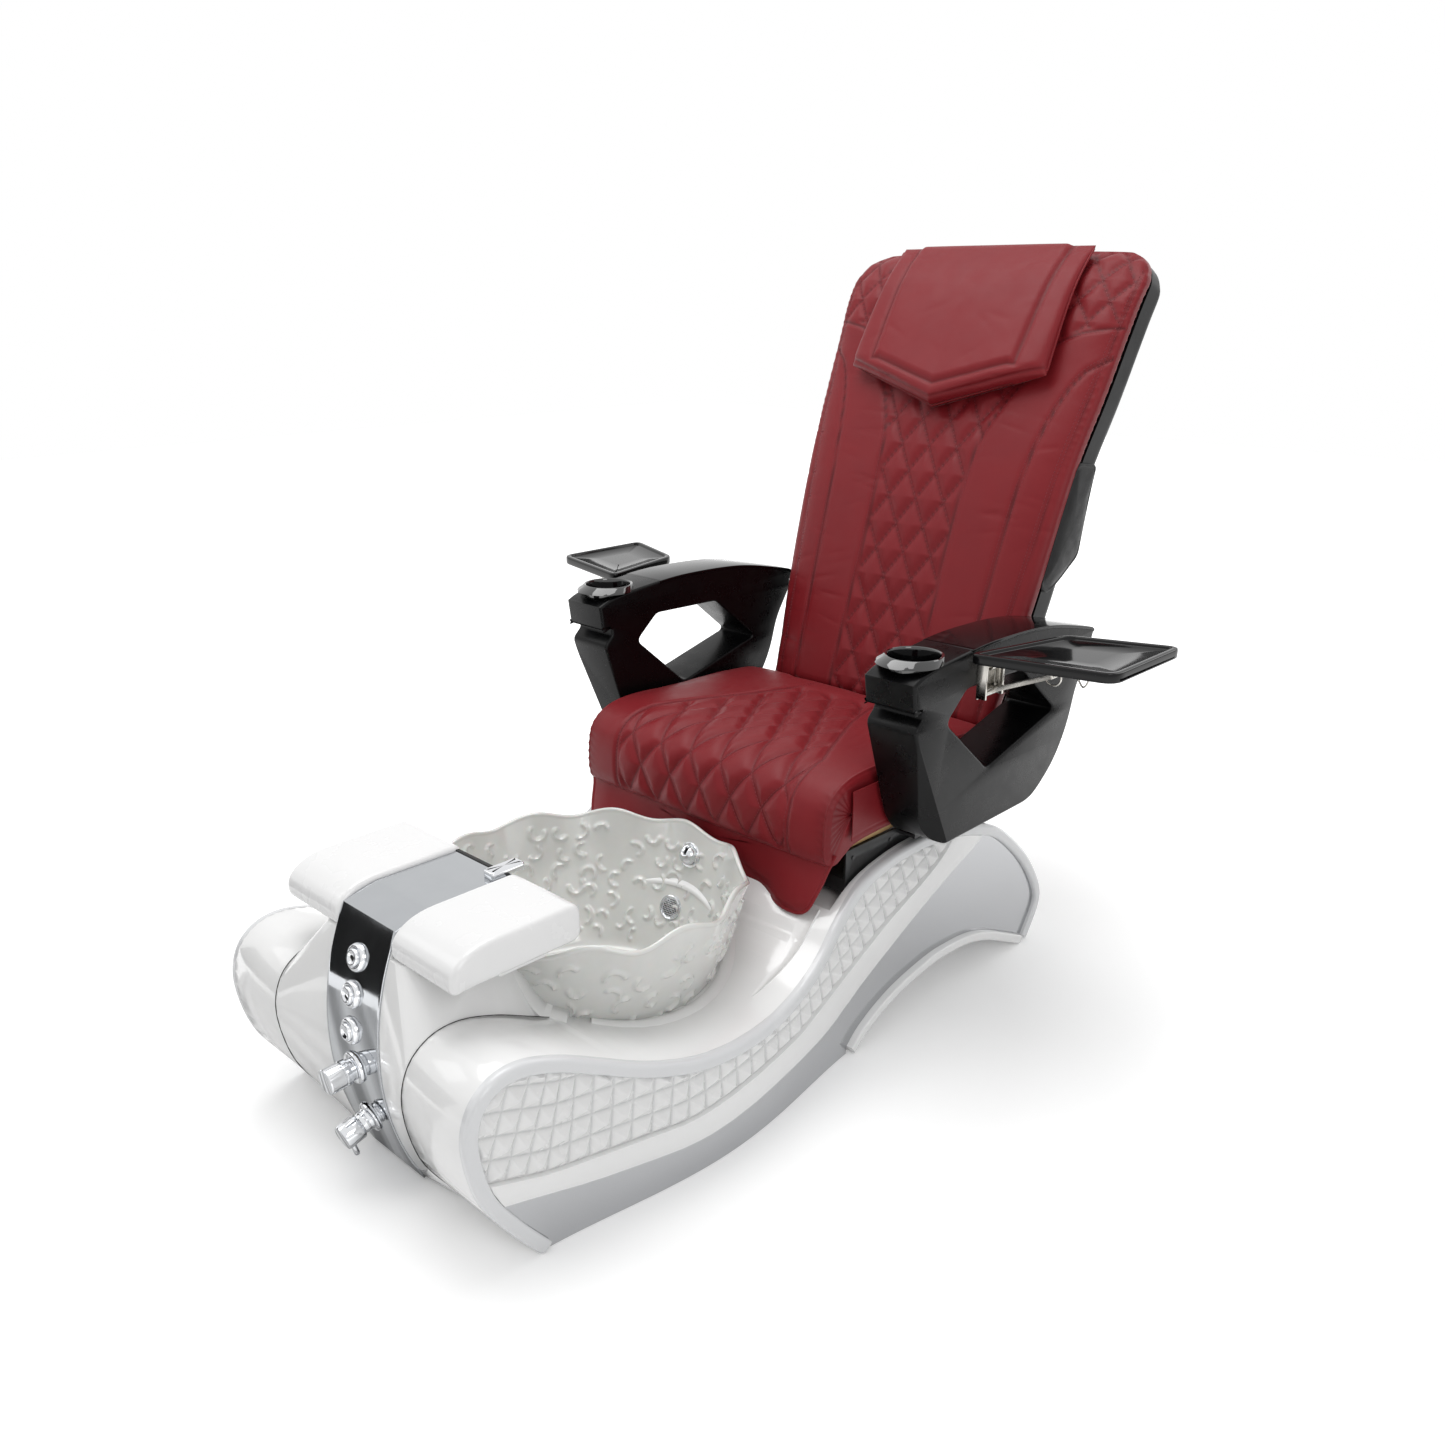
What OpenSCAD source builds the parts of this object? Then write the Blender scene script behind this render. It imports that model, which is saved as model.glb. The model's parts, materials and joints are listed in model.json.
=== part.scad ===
// Pedicure spa chair: a moulded foot-bath base that carries a sliding, reclining massage seat.
// Millimetres. +Z is up, -Y is the foot end, +X is the sitter's left. The floor is z = 0.

/* [Base] */
// Width of the base outside the seat frame, at each side
base_side = 24; // [20:1:36]
// How far each side swells out beside the bowl
side_swell = 43; // [0:1:60]
// Wall of the moulded tub body
shell_wall = 6; // [4:0.5:8]
// Depth of the recess that holds the side panels
panel_recess = 14; // [12:0.5:18]
// Width of the rim moulding, seen from the side
rim_band_w = 21; // [16:1:26]
// Thickness of the embossed side panel
side_panel_t = 7; // [5:0.5:9]
// Thickness of the white band under the embossed panel
lower_band_t = 11; // [9:0.5:12]
// Thickness of the steel lower panel
steel_panel_t = 6; // [3:0.5:8]
// Height of the lip along the arch
arch_lip_h = 18; // [12:1:22]
// How far the arch lip stands out past the rim moulding
arch_lip_out = 5; // [2:0.5:8]

/* [Bowl] */
// Radius of the bowl at its rim
bowl_rim_r = 262; // [250:1:266]
// Height of the bowl rim above the floor
bowl_rim_z = 334; // [325:1:338]
// Radius of the bowl where it passes the deck
bowl_deck_r = 212; // [204:1:216]
// Radius of the bowl floor
bowl_floor_r = 150; // [135:1:160]
// Height of the underside of the bowl
bowl_floor_z = 104; // [96:1:110]
// Wall of the bowl
bowl_wall = 7; // [5:0.5:9]
// Place of the bowl centre along the base
bowl_y = -196; // [-200:1:-192]
// Radius of the water jet housing
jet_r = 23; // [20:0.5:26]
// Radius of the suction grille
grille_r = 22; // [18:0.5:24]
// Bore of the waste pipe
waste_bore_r = 16; // [12:0.5:18]
// Outer radius of the water inlet tails
inlet_r = 10; // [8:0.5:12]

/* [Console] */
// Half width of the console pod
pod_half_w = 165; // [155:1:175]
// Half width of the chrome cover
cover_half_w = 67; // [60:1:72]
// Thickness of the chrome cover
cover_t = 3; // [2:0.5:4]
// Bend radius of the chrome cover's front
cover_bend_r = 435; // [425:1:445]
// Height of the flat top of the chrome cover
cover_top_z = 421; // [418:1:424]
// Width of one foot pad
pad_w = 144; // [130:1:150]
// Thickness of a foot pad
pad_t = 58; // [50:1:62]
// Radius of an air button
button_r = 13; // [11:0.5:15]
// Travel of an air button
button_travel = 4; // [2:0.5:5]
// Radius of the flow knob
knob_r = 19; // [16:0.5:21]
// Length of the flow knob
knob_len = 34; // [26:1:40]
// Radius of the mixer's handle
mixer_r = 19; // [16:0.5:21]

/* [Seat] */
// How far the seat cushion reaches past the seat frame
seat_overhang = 13; // [2:1:14]
// Place of the seat cushion's front
seat_front_y = 62; // [60:1:70]
// Place of the seat cushion's rear end
seat_rear_y = 536; // [520:1:538]
// Height of the underside of the seat cushion
seat_bottom_z = 376; // [372:1:380]
// Thickness of the seat cushion
seat_t = 106; // [95:1:108]
// Thickness of the seat board
seat_board_t = 12; // [9:1:15]
// Half width of the black seat frame
frame_half_w = 284; // [276:1:285]
// How far the seat slides back
seat_travel = 120; // [60:5:140]

/* [Back] */
// Recline of the back at rest, from upright
back_recline = 21.5; // [20:0.5:24]
// Length of the back cushion
back_len = 896; // [880:2:910]
// How much narrower the foot of the back is than the seat frame, at each side
back_foot_inset = 20; // [14:1:22]
// Half width of the back cushion at its shoulders
back_top_half_w = 328; // [320:1:336]
// Thickness of the back cushion at its edge
back_t = 45; // [40:1:47]
// How far the middle of the back bows towards the sitter
back_bow = 25; // [10:1:28]
// Depth of the black back shell
back_shell_t = 70; // [68:1:85]
// Wall of the back shell
back_shell_wall = 5; // [3:0.5:5]
// Radius of the recline pivot pins
recline_pin_r = 8; // [6:0.5:10]
// Thickness of the head pillow at its lower edge
pillow_t = 52; // [40:1:60]
// Radius of a kneading roller
roller_r = 14; // [10:0.5:14]

/* [Arms] */
// Gap between the seat frame and each armrest
arm_gap = 21; // [18:1:26]
// Width of each armrest
arm_w = 96; // [90:1:100]
// Thickness of the glossy top panel
arm_top_t = 5; // [3:0.5:7]
// Radius of the cup holder's bore
cup_r = 41; // [36:0.5:42]
// Depth of the cup holder's bore
cup_depth = 46; // [35:1:48]

/* [Trays] */
// Thickness of the tray
tray_t = 16; // [12:1:20]
// Height of the top of the tray
tray_top_z = 695; // [690:1:700]
// How far the tray reaches out past the armrest
tray_reach = 227; // [205:1:240]
// Length of a tray strut between its pivot and its end
strut_len = 118; // [110:1:119]
// Radius of the tray hinge pin
tray_pin_r = 3; // [2:0.25:3.5]

/* [Hidden] */
$fn = 48;

// Clearances: flat seats inside one body, pieces that move past each other, and shafts in bores
seat_gap = 0.3;
slide_gap = 0.5;
pin_gap = 0.05;
cut = 1;
// Half widths that stand on the seat frame's
foot_half_w = frame_half_w + base_side;
seat_half_w = frame_half_w + seat_overhang;
back_foot_half_w = frame_half_w - back_foot_inset;
arm_inner_x = frame_half_w + arm_gap;
tray_outer_x = arm_inner_x + arm_w + tray_reach;

// ---- Curves and frames ----------------------------------------------------------------------
// A point of a Catmull-Rom curve between b and c
function catmull(a, b, c, d, t) = 0.5 * (2 * b + (c - a) * t + (2 * a - 5 * b + 4 * c - d) * t * t
    + (3 * b - a - 3 * c + d) * t * t * t);
// A smooth line through the points of p, with n steps between two of them
function curve(p, n = 3) = let (last = len(p) - 1) [
    for (i = [0 : last - 1], s = [0 : n - 1])
        catmull(p[max(i - 1, 0)], p[i], p[i + 1], p[min(i + 2, last)], s / n),
    p[last]];
function along(p, i) = let (d = p[min(i + 1, len(p) - 1)] - p[max(i - 1, 0)]) d / norm(d);
// The line p moved sideways by d, to the right of its direction
function shifted(p, d) = [for (i = [0 : len(p) - 1]) let (t = along(p, i)) p[i] + d * [t[1], -t[0]]];
function reversed(p) = [for (i = [len(p) - 1 : -1 : 0]) p[i]];
function part_of(p, i0, i1) = [for (i = [i0 : i1]) p[i]];
function arc(c, r, a0, a1, n) = [for (i = [0 : n]) let (a = a0 + (a1 - a0) * i / n) c + r * [cos(a), sin(a)]];

// A side view, drawn as [y, z], made solid from x0 to x1
module along_x(x0, x1) translate([x0, 0, 0]) rotate([90, 0, 90]) linear_extrude(x1 - x0) children();
module box(lo, hi) translate(lo) cube(hi - lo);
module pair() { children(); mirror([1, 0, 0]) children(); }
module x_rod(r, x0, x1, y, z) translate([x0, y, z]) rotate([0, 90, 0]) cylinder(r = r, h = x1 - x0);
module y_rod(r, y0, y1, x, z) translate([x, y0, z]) rotate([-90, 0, 0]) cylinder(r = r, h = y1 - y0);

// ---- Base outlines ---------------------------------------------------------------------------
swell_y = -210;
swell_reach = 400;
function half_w(y) = foot_half_w + (abs(y - swell_y) < swell_reach
    ? side_swell / 2 * (1 + cos(180 * (y - swell_y) / swell_reach)) : 0);

base_front_y = -544;
base_rear_y = 680;
nose_y = -649;
tail_y = 718;
deck_top = curve([[base_front_y, 0], [-588, 58], [-630, 127], [nose_y, 212], [-637, 268], [-602, 298],
    [-555, 303], [-497, 286], [-438, 258], [-365, 223], [-282, 196], [-200, 186], [-110, 188],
    [-35, 205], [15, 228], [62, 266], [125, 308], [200, 329], [290, 337], [390, 329], [482, 306],
    [560, 271], [651, 194], [709, 116], [tail_y, 64], [base_rear_y, 0]]);
arch_front_y = 122;
arch = curve([[645, 0], [590, 26], [530, 53], [466, 72], [400, 78], [335, 76], [238, 57], [158, 24],
    [arch_front_y, 0]]);
base_outline = concat(deck_top, arch);
// Lower edge of the embossed panel, and the line where the steel panel begins
panel_low = curve([[-627, 152], [-531, 121], [-443, 110], [-368, 104], [-282, 97], [-173, 107],
    [-95, 115], [-29, 122], [78, 152], [148, 178], [222, 213], [314, 252], [379, 289], [420, 345]]);
band_low = curve([[-627, 118], [-588, 104], [-476, 78], [-378, 66], [-283, 57], [-202, 60],
    [-94, 69], [-5, 75], [72, 90], [190, 142], [281, 187], [397, 239], [488, 277], [540, 330]]);

// A wall that follows one side of the base between two distances from its swollen face
function side_ys() = [for (y = [-660 : 50 : 190]) y, 240, 740];
module side_wall(d0, d1) linear_extrude(420) polygon(concat(
    [for (y = side_ys()) [half_w(y) + d1, y]],
    [for (y = reversed(side_ys())) [half_w(y) + d0, y]]));
module base_plan(d) linear_extrude(420) polygon(concat(
    [for (y = side_ys()) [half_w(y) + d, y]],
    [for (y = reversed(side_ys())) [-half_w(y) - d, y]]));
module side_piece(d0, d1) intersection() {
    side_wall(d0, d1);
    along_x(foot_half_w - 60, foot_half_w + side_swell + 20) children();
}

// The seat well in the deck behind the bowl
well_front_y = 60;
well_floor_z = 276;
well_half_w = frame_half_w + 3;

// ---- Base shell, frame and feet ----------------------------------------------------------------
module base_shell() color("white") {
    difference() {
        intersection() {
            base_plan(-panel_recess);
            along_x(-400, 400) polygon(base_outline);
        }
        difference() {
            intersection() {
                base_plan(-panel_recess - shell_wall);
                along_x(-400, 400) base_hollow();
            }
            box([-400, well_front_y, well_floor_z - shell_wall], [400, tail_y, 420]);
        }
        box([-well_half_w, well_front_y, well_floor_z], [well_half_w, tail_y + cut, 420]);
        box([-pod_half_w - seat_gap, nose_y - cut, -cut], [pod_half_w + seat_gap, bowl_y - 200, 420]);
        bowl_clearance(seat_gap);
    }
    pair() side_piece(-panel_recess - cut, -panel_recess + lower_band_t) lower_band_2d();
}
// The space that the bowl takes up through the deck
module bowl_clearance(gap) translate([0, bowl_y, 0]) rotate_extrude($fn = 96)
    polygon(concat([[0, bowl_floor_z]], shifted(bowl_curve, gap), [[bowl_rim_r, 500], [0, 500]]));
// The white band that is moulded on the shell between the two side panels
module lower_band_2d() intersection() {
    polygon(concat(shifted(panel_low, seat_gap), reversed(shifted(band_low, -seat_gap))));
    polygon(shifted(deck_top, rim_band_w + seat_gap));
}
module base_hollow() {
    inner_top = shifted(deck_top, shell_wall);
    inner_arch = shifted(arch, shell_wall);
    polygon(concat([[inner_top[0][0] + 4, -cut]], part_of(inner_top, 1, len(inner_top) - 2),
        part_of(inner_arch, 1, len(inner_arch) - 2), [[arch_front_y - 12, -cut]]));
}

// Welded floor frame: two long tubes on the floor, cross tubes, bowl seat and posts to the well
tube = 30;
frame_x = foot_half_w - 88;
frame_front_y = -470;
frame_rear_y = 108;
beam_z = well_floor_z - shell_wall - tube;
beam_end_y = 500;
module base_frame() color("dimgray") {
    pair() box([frame_x - tube / 2, frame_front_y, 0], [frame_x + tube / 2, frame_rear_y, tube]);
    for (y = [bowl_y - 180, -tube / 2, frame_rear_y - tube])
        box([-frame_x + tube / 2, y, 0], [frame_x - tube / 2, y + tube, tube]);
    // bowl seat on two bridges
    for (y = [bowl_y - 90, bowl_y + 60]) {
        box([-frame_x - tube / 2, y, bowl_floor_z - tube / 2], [frame_x + tube / 2, y + tube, bowl_floor_z]);
        pair() box([frame_x - tube / 2, y, tube], [frame_x + tube / 2, y + tube, bowl_floor_z - tube / 2]);
    }
    // rear beams under the seat well, which rise over the arch, and their posts
    pair() {
        box([frame_x - tube / 2, frame_rear_y - tube, tube], [frame_x + tube / 2, frame_rear_y, beam_z + tube]);
        box([frame_x - tube / 2, frame_rear_y, beam_z], [frame_x + tube / 2, beam_end_y, beam_z + tube]);
    }
    box([-frame_x + tube / 2, beam_end_y - tube, beam_z], [frame_x - tube / 2, beam_end_y, beam_z + tube]);
}

foot_pad_r = 22;
foot_offset = foot_pad_r + 4;
module levelling_feet() color("black") pair()
    for (y = [frame_front_y + 25, frame_rear_y - 25]) translate([frame_x + tube / 2 + foot_offset, y, 0]) {
        cylinder(r = foot_pad_r, h = 10);
        cylinder(r = 5, h = tube + 10);
        // lug on the frame tube
        translate([-foot_offset, -tube / 2, tube - 8]) cube([foot_offset + 8, tube, 6]);
    }

// ---- Side mouldings and panels -----------------------------------------------------------------
module rim_band() side_piece(-panel_recess, 0)
    polygon(concat(deck_top, reversed(shifted(deck_top, rim_band_w))));
module rim_band_left() color("gainsboro") rim_band();
module rim_band_right() color("gainsboro") mirror([1, 0, 0]) rim_band();

module side_panel() side_piece(-panel_recess, -panel_recess + side_panel_t) intersection() {
    polygon(shifted(deck_top, rim_band_w + seat_gap));
    polygon(concat(panel_low, [[700, 420], [-700, 420]]));
}
module side_panel_left() color("whitesmoke") side_panel();
module side_panel_right() color("whitesmoke") mirror([1, 0, 0]) side_panel();

module steel_panel() side_piece(-panel_recess, -panel_recess + steel_panel_t) difference() {
    polygon(shifted(deck_top, rim_band_w + seat_gap));
    polygon(concat(band_low, [[800, 420], [-800, 420]]));
    polygon(concat(shifted(arch, arch_lip_h + seat_gap), [[arch_front_y - 60, -60], [760, -60]]));
    polygon([[-700, -60], [-700, 0], [760, 0], [760, -60]]);
}
module steel_panel_left() color("silver") steel_panel();
module steel_panel_right() color("silver") mirror([1, 0, 0]) steel_panel();

module arch_trims() color("white") pair() side_piece(-panel_recess, arch_lip_out) difference() {
    polygon(concat(arch, reversed(shifted(arch, arch_lip_h))));
    polygon(concat(deck_top, reversed(shifted(deck_top, rim_band_w + seat_gap))));
    polygon([[-100, -60], [-100, 0], [760, 0], [760, -60]]);
}

// ---- Console -----------------------------------------------------------------------------------
// The front of the chrome cover is an arc about [cover_cy, cover_cz]
cover_nose_y = -622;
cover_cy = cover_nose_y + cover_bend_r;
cover_cz = 215;
cover_fold = [-539, cover_top_z];
cover_rear_y = -386;
a_top = asin((407 - cover_cz) / cover_bend_r);
a_low = asin((4 - cover_cz) / cover_bend_r);
function cover_line(d) = concat(
    [for (i = [0 : 20]) let (a = a_low + (a_top - a_low) * i / 20)
        [cover_cy - (cover_bend_r - d) * cos(a), cover_cz + (cover_bend_r - d) * sin(a)]],
    [cover_fold + [d * 0.2, -d], [cover_rear_y, cover_top_z - d]]);
// Puts its children on the cover's face at a height, with +Z out of the face
module on_cover(z) {
    a = asin((z - cover_cz) / cover_bend_r);
    translate([0, cover_cy - cover_bend_r * cos(a), z]) rotate([90 - a, 0, 0]) children();
}
module console_cover() color("silver") difference() {
    along_x(-cover_half_w, cover_half_w) polygon(concat(cover_line(0), reversed(cover_line(cover_t))));
    for (z = button_zs) on_cover(z) translate([0, 0, -20]) cylinder(r = stem_hole_r, h = 40);
    for (z = [knob_z, mixer_z]) on_cover(z) translate([0, 0, -30]) cylinder(r = spindle_hole_r, h = 60);
    spout_hole();
}
module spout_hole() translate([spout_x, spout_y, pod_rear_z - 32]) cylinder(r = spout_r + slide_gap, h = 200);

pad_rear_y = -373;
pad_low_z = cover_top_z + 7 - pad_t;
pod_rear_z = bowl_rim_z + 12;
pod_slice = 0.1;
// The centre slice that carries the cover, from x0 to x1, and the end slice that meets the base
module pod_centre(d, x0, x1) along_x(x0, x1) polygon(concat(cover_line(cover_t + d),
    [[cover_rear_y - d, pod_rear_z], [bowl_y - 150, pod_rear_z - 60], [bowl_y - 150, 0]]));
module pod_end(d) along_x(pod_half_w - d - pod_slice, pod_half_w - d) polygon(concat(
    shifted(part_of(deck_top, 0, 18), d), [[bowl_y - 190, 200], [bowl_y - 190, 0]]));
module pod_core(d) {
    pod_centre(d, -cover_half_w, cover_half_w);
    pair() hull() {
        pod_centre(d, cover_half_w - pod_slice, cover_half_w);
        pod_end(d);
    }
}
module console_shell() color("whitesmoke") difference() {
    pod_core(0);
    intersection() {
        pod_core(shell_wall);
        box([-300, nose_y, -cut], [300, 0, pod_rear_z - shell_wall]);
    }
    box([-300, nose_y - 50, -60], [300, 0, 0]);
    translate([0, bowl_y, -cut]) cylinder(r = bowl_rim_r + 9, h = pod_rear_z + cut);
    pair() box([cover_half_w, nose_y, pad_low_z], [300, 0, 500]);
    box([-bracket_half_w, bracket_front_y, pad_low_z - bracket_t], [bracket_half_w, bracket_rear_y, pad_low_z]);
    for (z = button_zs) on_cover(z) translate([0, 0, -30]) cylinder(r = stem_hole_r, h = 60);
    for (z = [knob_z, mixer_z]) on_cover(z) translate([0, 0, -40]) cylinder(r = spindle_hole_r, h = 80);
    spout_hole();
}

bracket_half_w = cover_half_w + 121;
bracket_front_y = -500;
bracket_rear_y = -420;
bracket_t = 16;
module footrest_bracket() color("lightgray") difference() {
    box([-bracket_half_w, bracket_front_y, pad_low_z - bracket_t], [bracket_half_w, bracket_rear_y, pad_low_z]);
    pair() for (y = [bracket_front_y + 20, bracket_rear_y - 20])
        translate([bracket_half_w - 40, y, pad_low_z - bracket_t - cut]) cylinder(r = 4, h = bracket_t + 2);
}

pad_front_y = -586;
pad_profile = concat(
    [[pad_rear_y, pad_low_z + 16], [pad_rear_y, pad_low_z + pad_t - 8], [pad_rear_y - 6, pad_low_z + pad_t]],
    arc([-508, pad_low_z + pad_t - 60], 60, 90, 128, 5),
    [[pad_front_y + 8, pad_low_z + 16], [pad_front_y, pad_low_z + 6], [pad_front_y + 4, pad_low_z]],
    [[bracket_rear_y, pad_low_z]]);
module footrest_pad() along_x(cover_half_w + seat_gap, cover_half_w + pad_w) polygon(pad_profile);
module footrest_pad_left() color("white") footrest_pad();
module footrest_pad_right() color("white") mirror([1, 0, 0]) footrest_pad();

// ---- Controls ------------------------------------------------------------------------------------
button_zs = [352, 300, 246];
knob_z = 186;
mixer_z = 96;
stem_r = 5;
stem_hole_r = 8;
spindle_hole_r = 13;
bezel_t = 4;
module button_bezels() color("silver") for (z = button_zs) on_cover(z) difference() {
    union() {
        rotate_extrude() polygon([[button_r + slide_gap, 0], [20, 0], [20, 1.5], [17, bezel_t + 3],
            [button_r + slide_gap, bezel_t + 3]]);
        translate([0, 0, -16]) difference() {
            cylinder(r = stem_hole_r - seat_gap, h = 16);
            translate([0, 0, -cut]) cylinder(r = stem_r + pin_gap, h = 16 + 2 * cut);
        }
        difference() {
            cylinder(r = button_r + cut, h = 1.5);
            translate([0, 0, -cut]) cylinder(r = stem_r + pin_gap, h = 4);
        }
    }
}
module air_button() {
    translate([0, 0, 1.5 + button_travel + seat_gap]) cylinder(r = button_r, h = 6);
    translate([0, 0, -18]) cylinder(r = stem_r, h = 20 + button_travel + seat_gap);
}
module air_button_1() color("silver") on_cover(button_zs[0]) air_button();
module air_button_2() color("silver") on_cover(button_zs[1]) air_button();
module air_button_3() color("silver") on_cover(button_zs[2]) air_button();

rose_t = 5;
spindle_r = 6;
valve_depth = 46;
module flow_knob() color("silver") on_cover(knob_z) {
    translate([0, 0, rose_t + seat_gap]) cylinder(r = knob_r - 2, h = 8);
    translate([0, 0, rose_t + seat_gap + 8]) cylinder(r = knob_r, h = knob_len);
    translate([0, 0, -valve_depth + 14]) cylinder(r = spindle_r, h = valve_depth - 12 + rose_t);
}
module mixer_body() color("silver") on_cover(mixer_z) difference() {
    union() {
        cylinder(r = 24, h = rose_t);
        cylinder(r = 16, h = rose_t + neck_h);
        translate([0, 0, -shank_len]) cylinder(r = spindle_hole_r - 1, h = shank_len + 1);
    }
    translate([0, 0, -6]) cylinder(r = spindle_r + pin_gap, h = 40);
}
neck_h = 14;
shank_len = 18;
lever_z0 = rose_t + neck_h + seat_gap;
module mixer_lever() color("silver") on_cover(mixer_z) {
    translate([0, 0, seat_gap - 6]) cylinder(r = spindle_r, h = lever_z0 + 7);
    translate([0, 0, lever_z0]) cylinder(r = mixer_r, h = 30);
    translate([0, -mixer_r + 4, lever_z0 + 20]) rotate([90, 0, 0]) cylinder(r = 4, h = 22);
}
valve_front_y = cover_nose_y + 38;
pipe_y = cover_nose_y + 74;
pipe_z = 52;
pipe_x = 60;
valve_port_z = 102;
module water_valves() color("darkgoldenrod") {
    on_cover(knob_z) difference() {
        union() {
            translate([0, 0, -valve_depth]) cylinder(r = 18, h = valve_depth - cover_t - shell_wall - 6);
            cylinder(r = knob_r + 3, h = rose_t);
            translate([0, 0, -valve_depth + 10]) cylinder(r = spindle_hole_r - 1, h = valve_depth - 9);
        }
        translate([0, 0, -valve_depth + 14 - seat_gap]) cylinder(r = spindle_r + pin_gap, h = valve_depth);
    }
    box([-18, valve_front_y, 80], [18, pipe_y + 16, 200]);
}
// Hot and cold tails that run along the floor to the tail of the base
module supply_pipes() color("peru") pair() {
    y_rod(inlet_r, pipe_y, 60, pipe_x, pipe_z);
    translate([pipe_x, pipe_y, pipe_z]) cylinder(r = inlet_r, h = valve_port_z - pipe_z + inlet_r);
    x_rod(inlet_r, 18, pipe_x, pipe_y, valve_port_z);
}

// ---- Bowl and its fittings -----------------------------------------------------------------------
bowl_curve = curve([[bowl_floor_r, bowl_floor_z], [176, 112], [bowl_deck_r - 18, 140],
    [bowl_deck_r, 180], [235, 240], [252, 300], [bowl_rim_r, bowl_rim_z]], 2);
module bowl() color("ivory") difference() {
    translate([0, bowl_y, 0]) rotate_extrude($fn = 96) polygon(concat([[0, bowl_floor_z]], bowl_curve,
        reversed(shifted(bowl_curve, -bowl_wall)), [[0, bowl_floor_z + bowl_wall]]));
    at_jet() translate([0, 0, -30]) cylinder(r = jet_r - 4, h = 60);
    at_grille() translate([0, 0, -30]) cylinder(r = grille_r - 4, h = 60);
    translate([0, bowl_y, bowl_floor_z - cut]) cylinder(r = waste_bore_r + 4, h = 40);
}
// Frames on the rear wall of the bowl, with +Z into the bowl
jet_z = 292;
grille_z = 196;
function bowl_radius(z) = lookup(z, [for (p = shifted(bowl_curve, -bowl_wall)) [p[1], p[0]]]);
module at_jet() translate([0, bowl_y + bowl_radius(jet_z), jet_z]) rotate([72, 0, 0]) children();
grille_turn = 5;
module at_grille() translate([0, bowl_y, 0]) rotate([0, 0, grille_turn])
    translate([0, bowl_radius(grille_z), grille_z]) rotate([67, 0, 0]) children();

// A flat flange stands off the curved wall at its middle
flange_lift = 1.5;
jet_depth = 12;
module jet_housing() color("silver") at_jet() difference() {
    union() {
        translate([0, 0, flange_lift]) cylinder(r = jet_r, h = 4);
        translate([0, 0, -jet_depth]) cylinder(r = jet_r - 4 - seat_gap, h = jet_depth + 3);
    }
    translate([0, 0, -8]) cylinder(r = jet_r - 9, h = 30);
    translate([0, 0, -jet_depth - cut]) cylinder(r = 6, h = 40);
}
module jet_cap() color("silver") at_jet() {
    translate([0, 0, -6]) cylinder(r = jet_r - 9 - pin_gap, h = 12 + seat_gap);
    translate([0, 0, flange_lift + 4 + seat_gap]) intersection() {
        sphere(r = jet_r - 5);
        cylinder(r = jet_r, h = jet_r);
    }
}
module suction_grille() color("silver") at_grille() difference() {
    union() {
        translate([0, 0, flange_lift]) cylinder(r = grille_r, h = 4);
        translate([0, 0, -28]) cylinder(r = grille_r - 4 - seat_gap, h = 30);
    }
    translate([0, 0, -29]) cylinder(r = grille_r - 8, h = 28);
    for (i = [0 : 5]) rotate(60 * i) translate([9, 0, -5]) cylinder(r = 2, h = 12, $fn = 16);
}
module drain_pipe() color("dimgray") translate([0, bowl_y, 0]) difference() {
    union() {
        translate([0, 0, bowl_floor_z + bowl_wall]) cylinder(r = waste_bore_r + 12, h = 3);
        translate([0, 0, 40]) cylinder(r = waste_bore_r + 4 - seat_gap, h = bowl_floor_z + bowl_wall - 39);
    }
    translate([0, 0, 39]) cylinder(r = waste_bore_r, h = 100);
}
spout_x = 48;
spout_y = cover_rear_y - 17;
spout_r = 7;
module filler_spout() color("silver") {
    translate([spout_x, spout_y, pod_rear_z - 30]) cylinder(r = spout_r, h = cover_top_z + 7 - pod_rear_z + 30);
    box([spout_x - 12, spout_y - 8, cover_top_z + 0.2], [spout_x + 12, cover_rear_y + 34, cover_top_z + 12]);
}
// Pump of the water jet on a cross rail between the rear beams
pump_z = 190;
pump_r = 50;
module jet_pump() color("dimgray") {
    y_rod(pump_r, 120, 260, 0, pump_z);
    y_rod(pump_r - 16, 96, 121, 0, pump_z);
    box([-frame_x + tube / 2, 180, beam_z], [frame_x - tube / 2, 200, beam_z + 20]);
    box([-8, 180, pump_z], [8, 200, beam_z + 1]);
}
module control_box() color("gray") {
    box([-200, 330, 150], [-60, 450, beam_z - 4]);
    for (x = [-200, -90]) box([x, 380, beam_z - 5], [x + 8, 400, beam_z + tube]);
}

// ---- Seat rails, frame and drive -------------------------------------------------------------------
rail_x = frame_half_w - 84;
rail_half_w = 18;
rail_h = 14;
rail_z = well_floor_z + rail_h;
frame_z = rail_z + seat_gap;
frame_top_z = seat_bottom_z - seat_board_t;
frame_front = 118;
frame_back = 560;
plate_t = 4;
bar_w = 30;
bar_top = frame_z + 24;
mid_bar_y = 300;
rear_bar_y = frame_back - 90;
pivot_y = 600;
pivot_z = 430;
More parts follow.
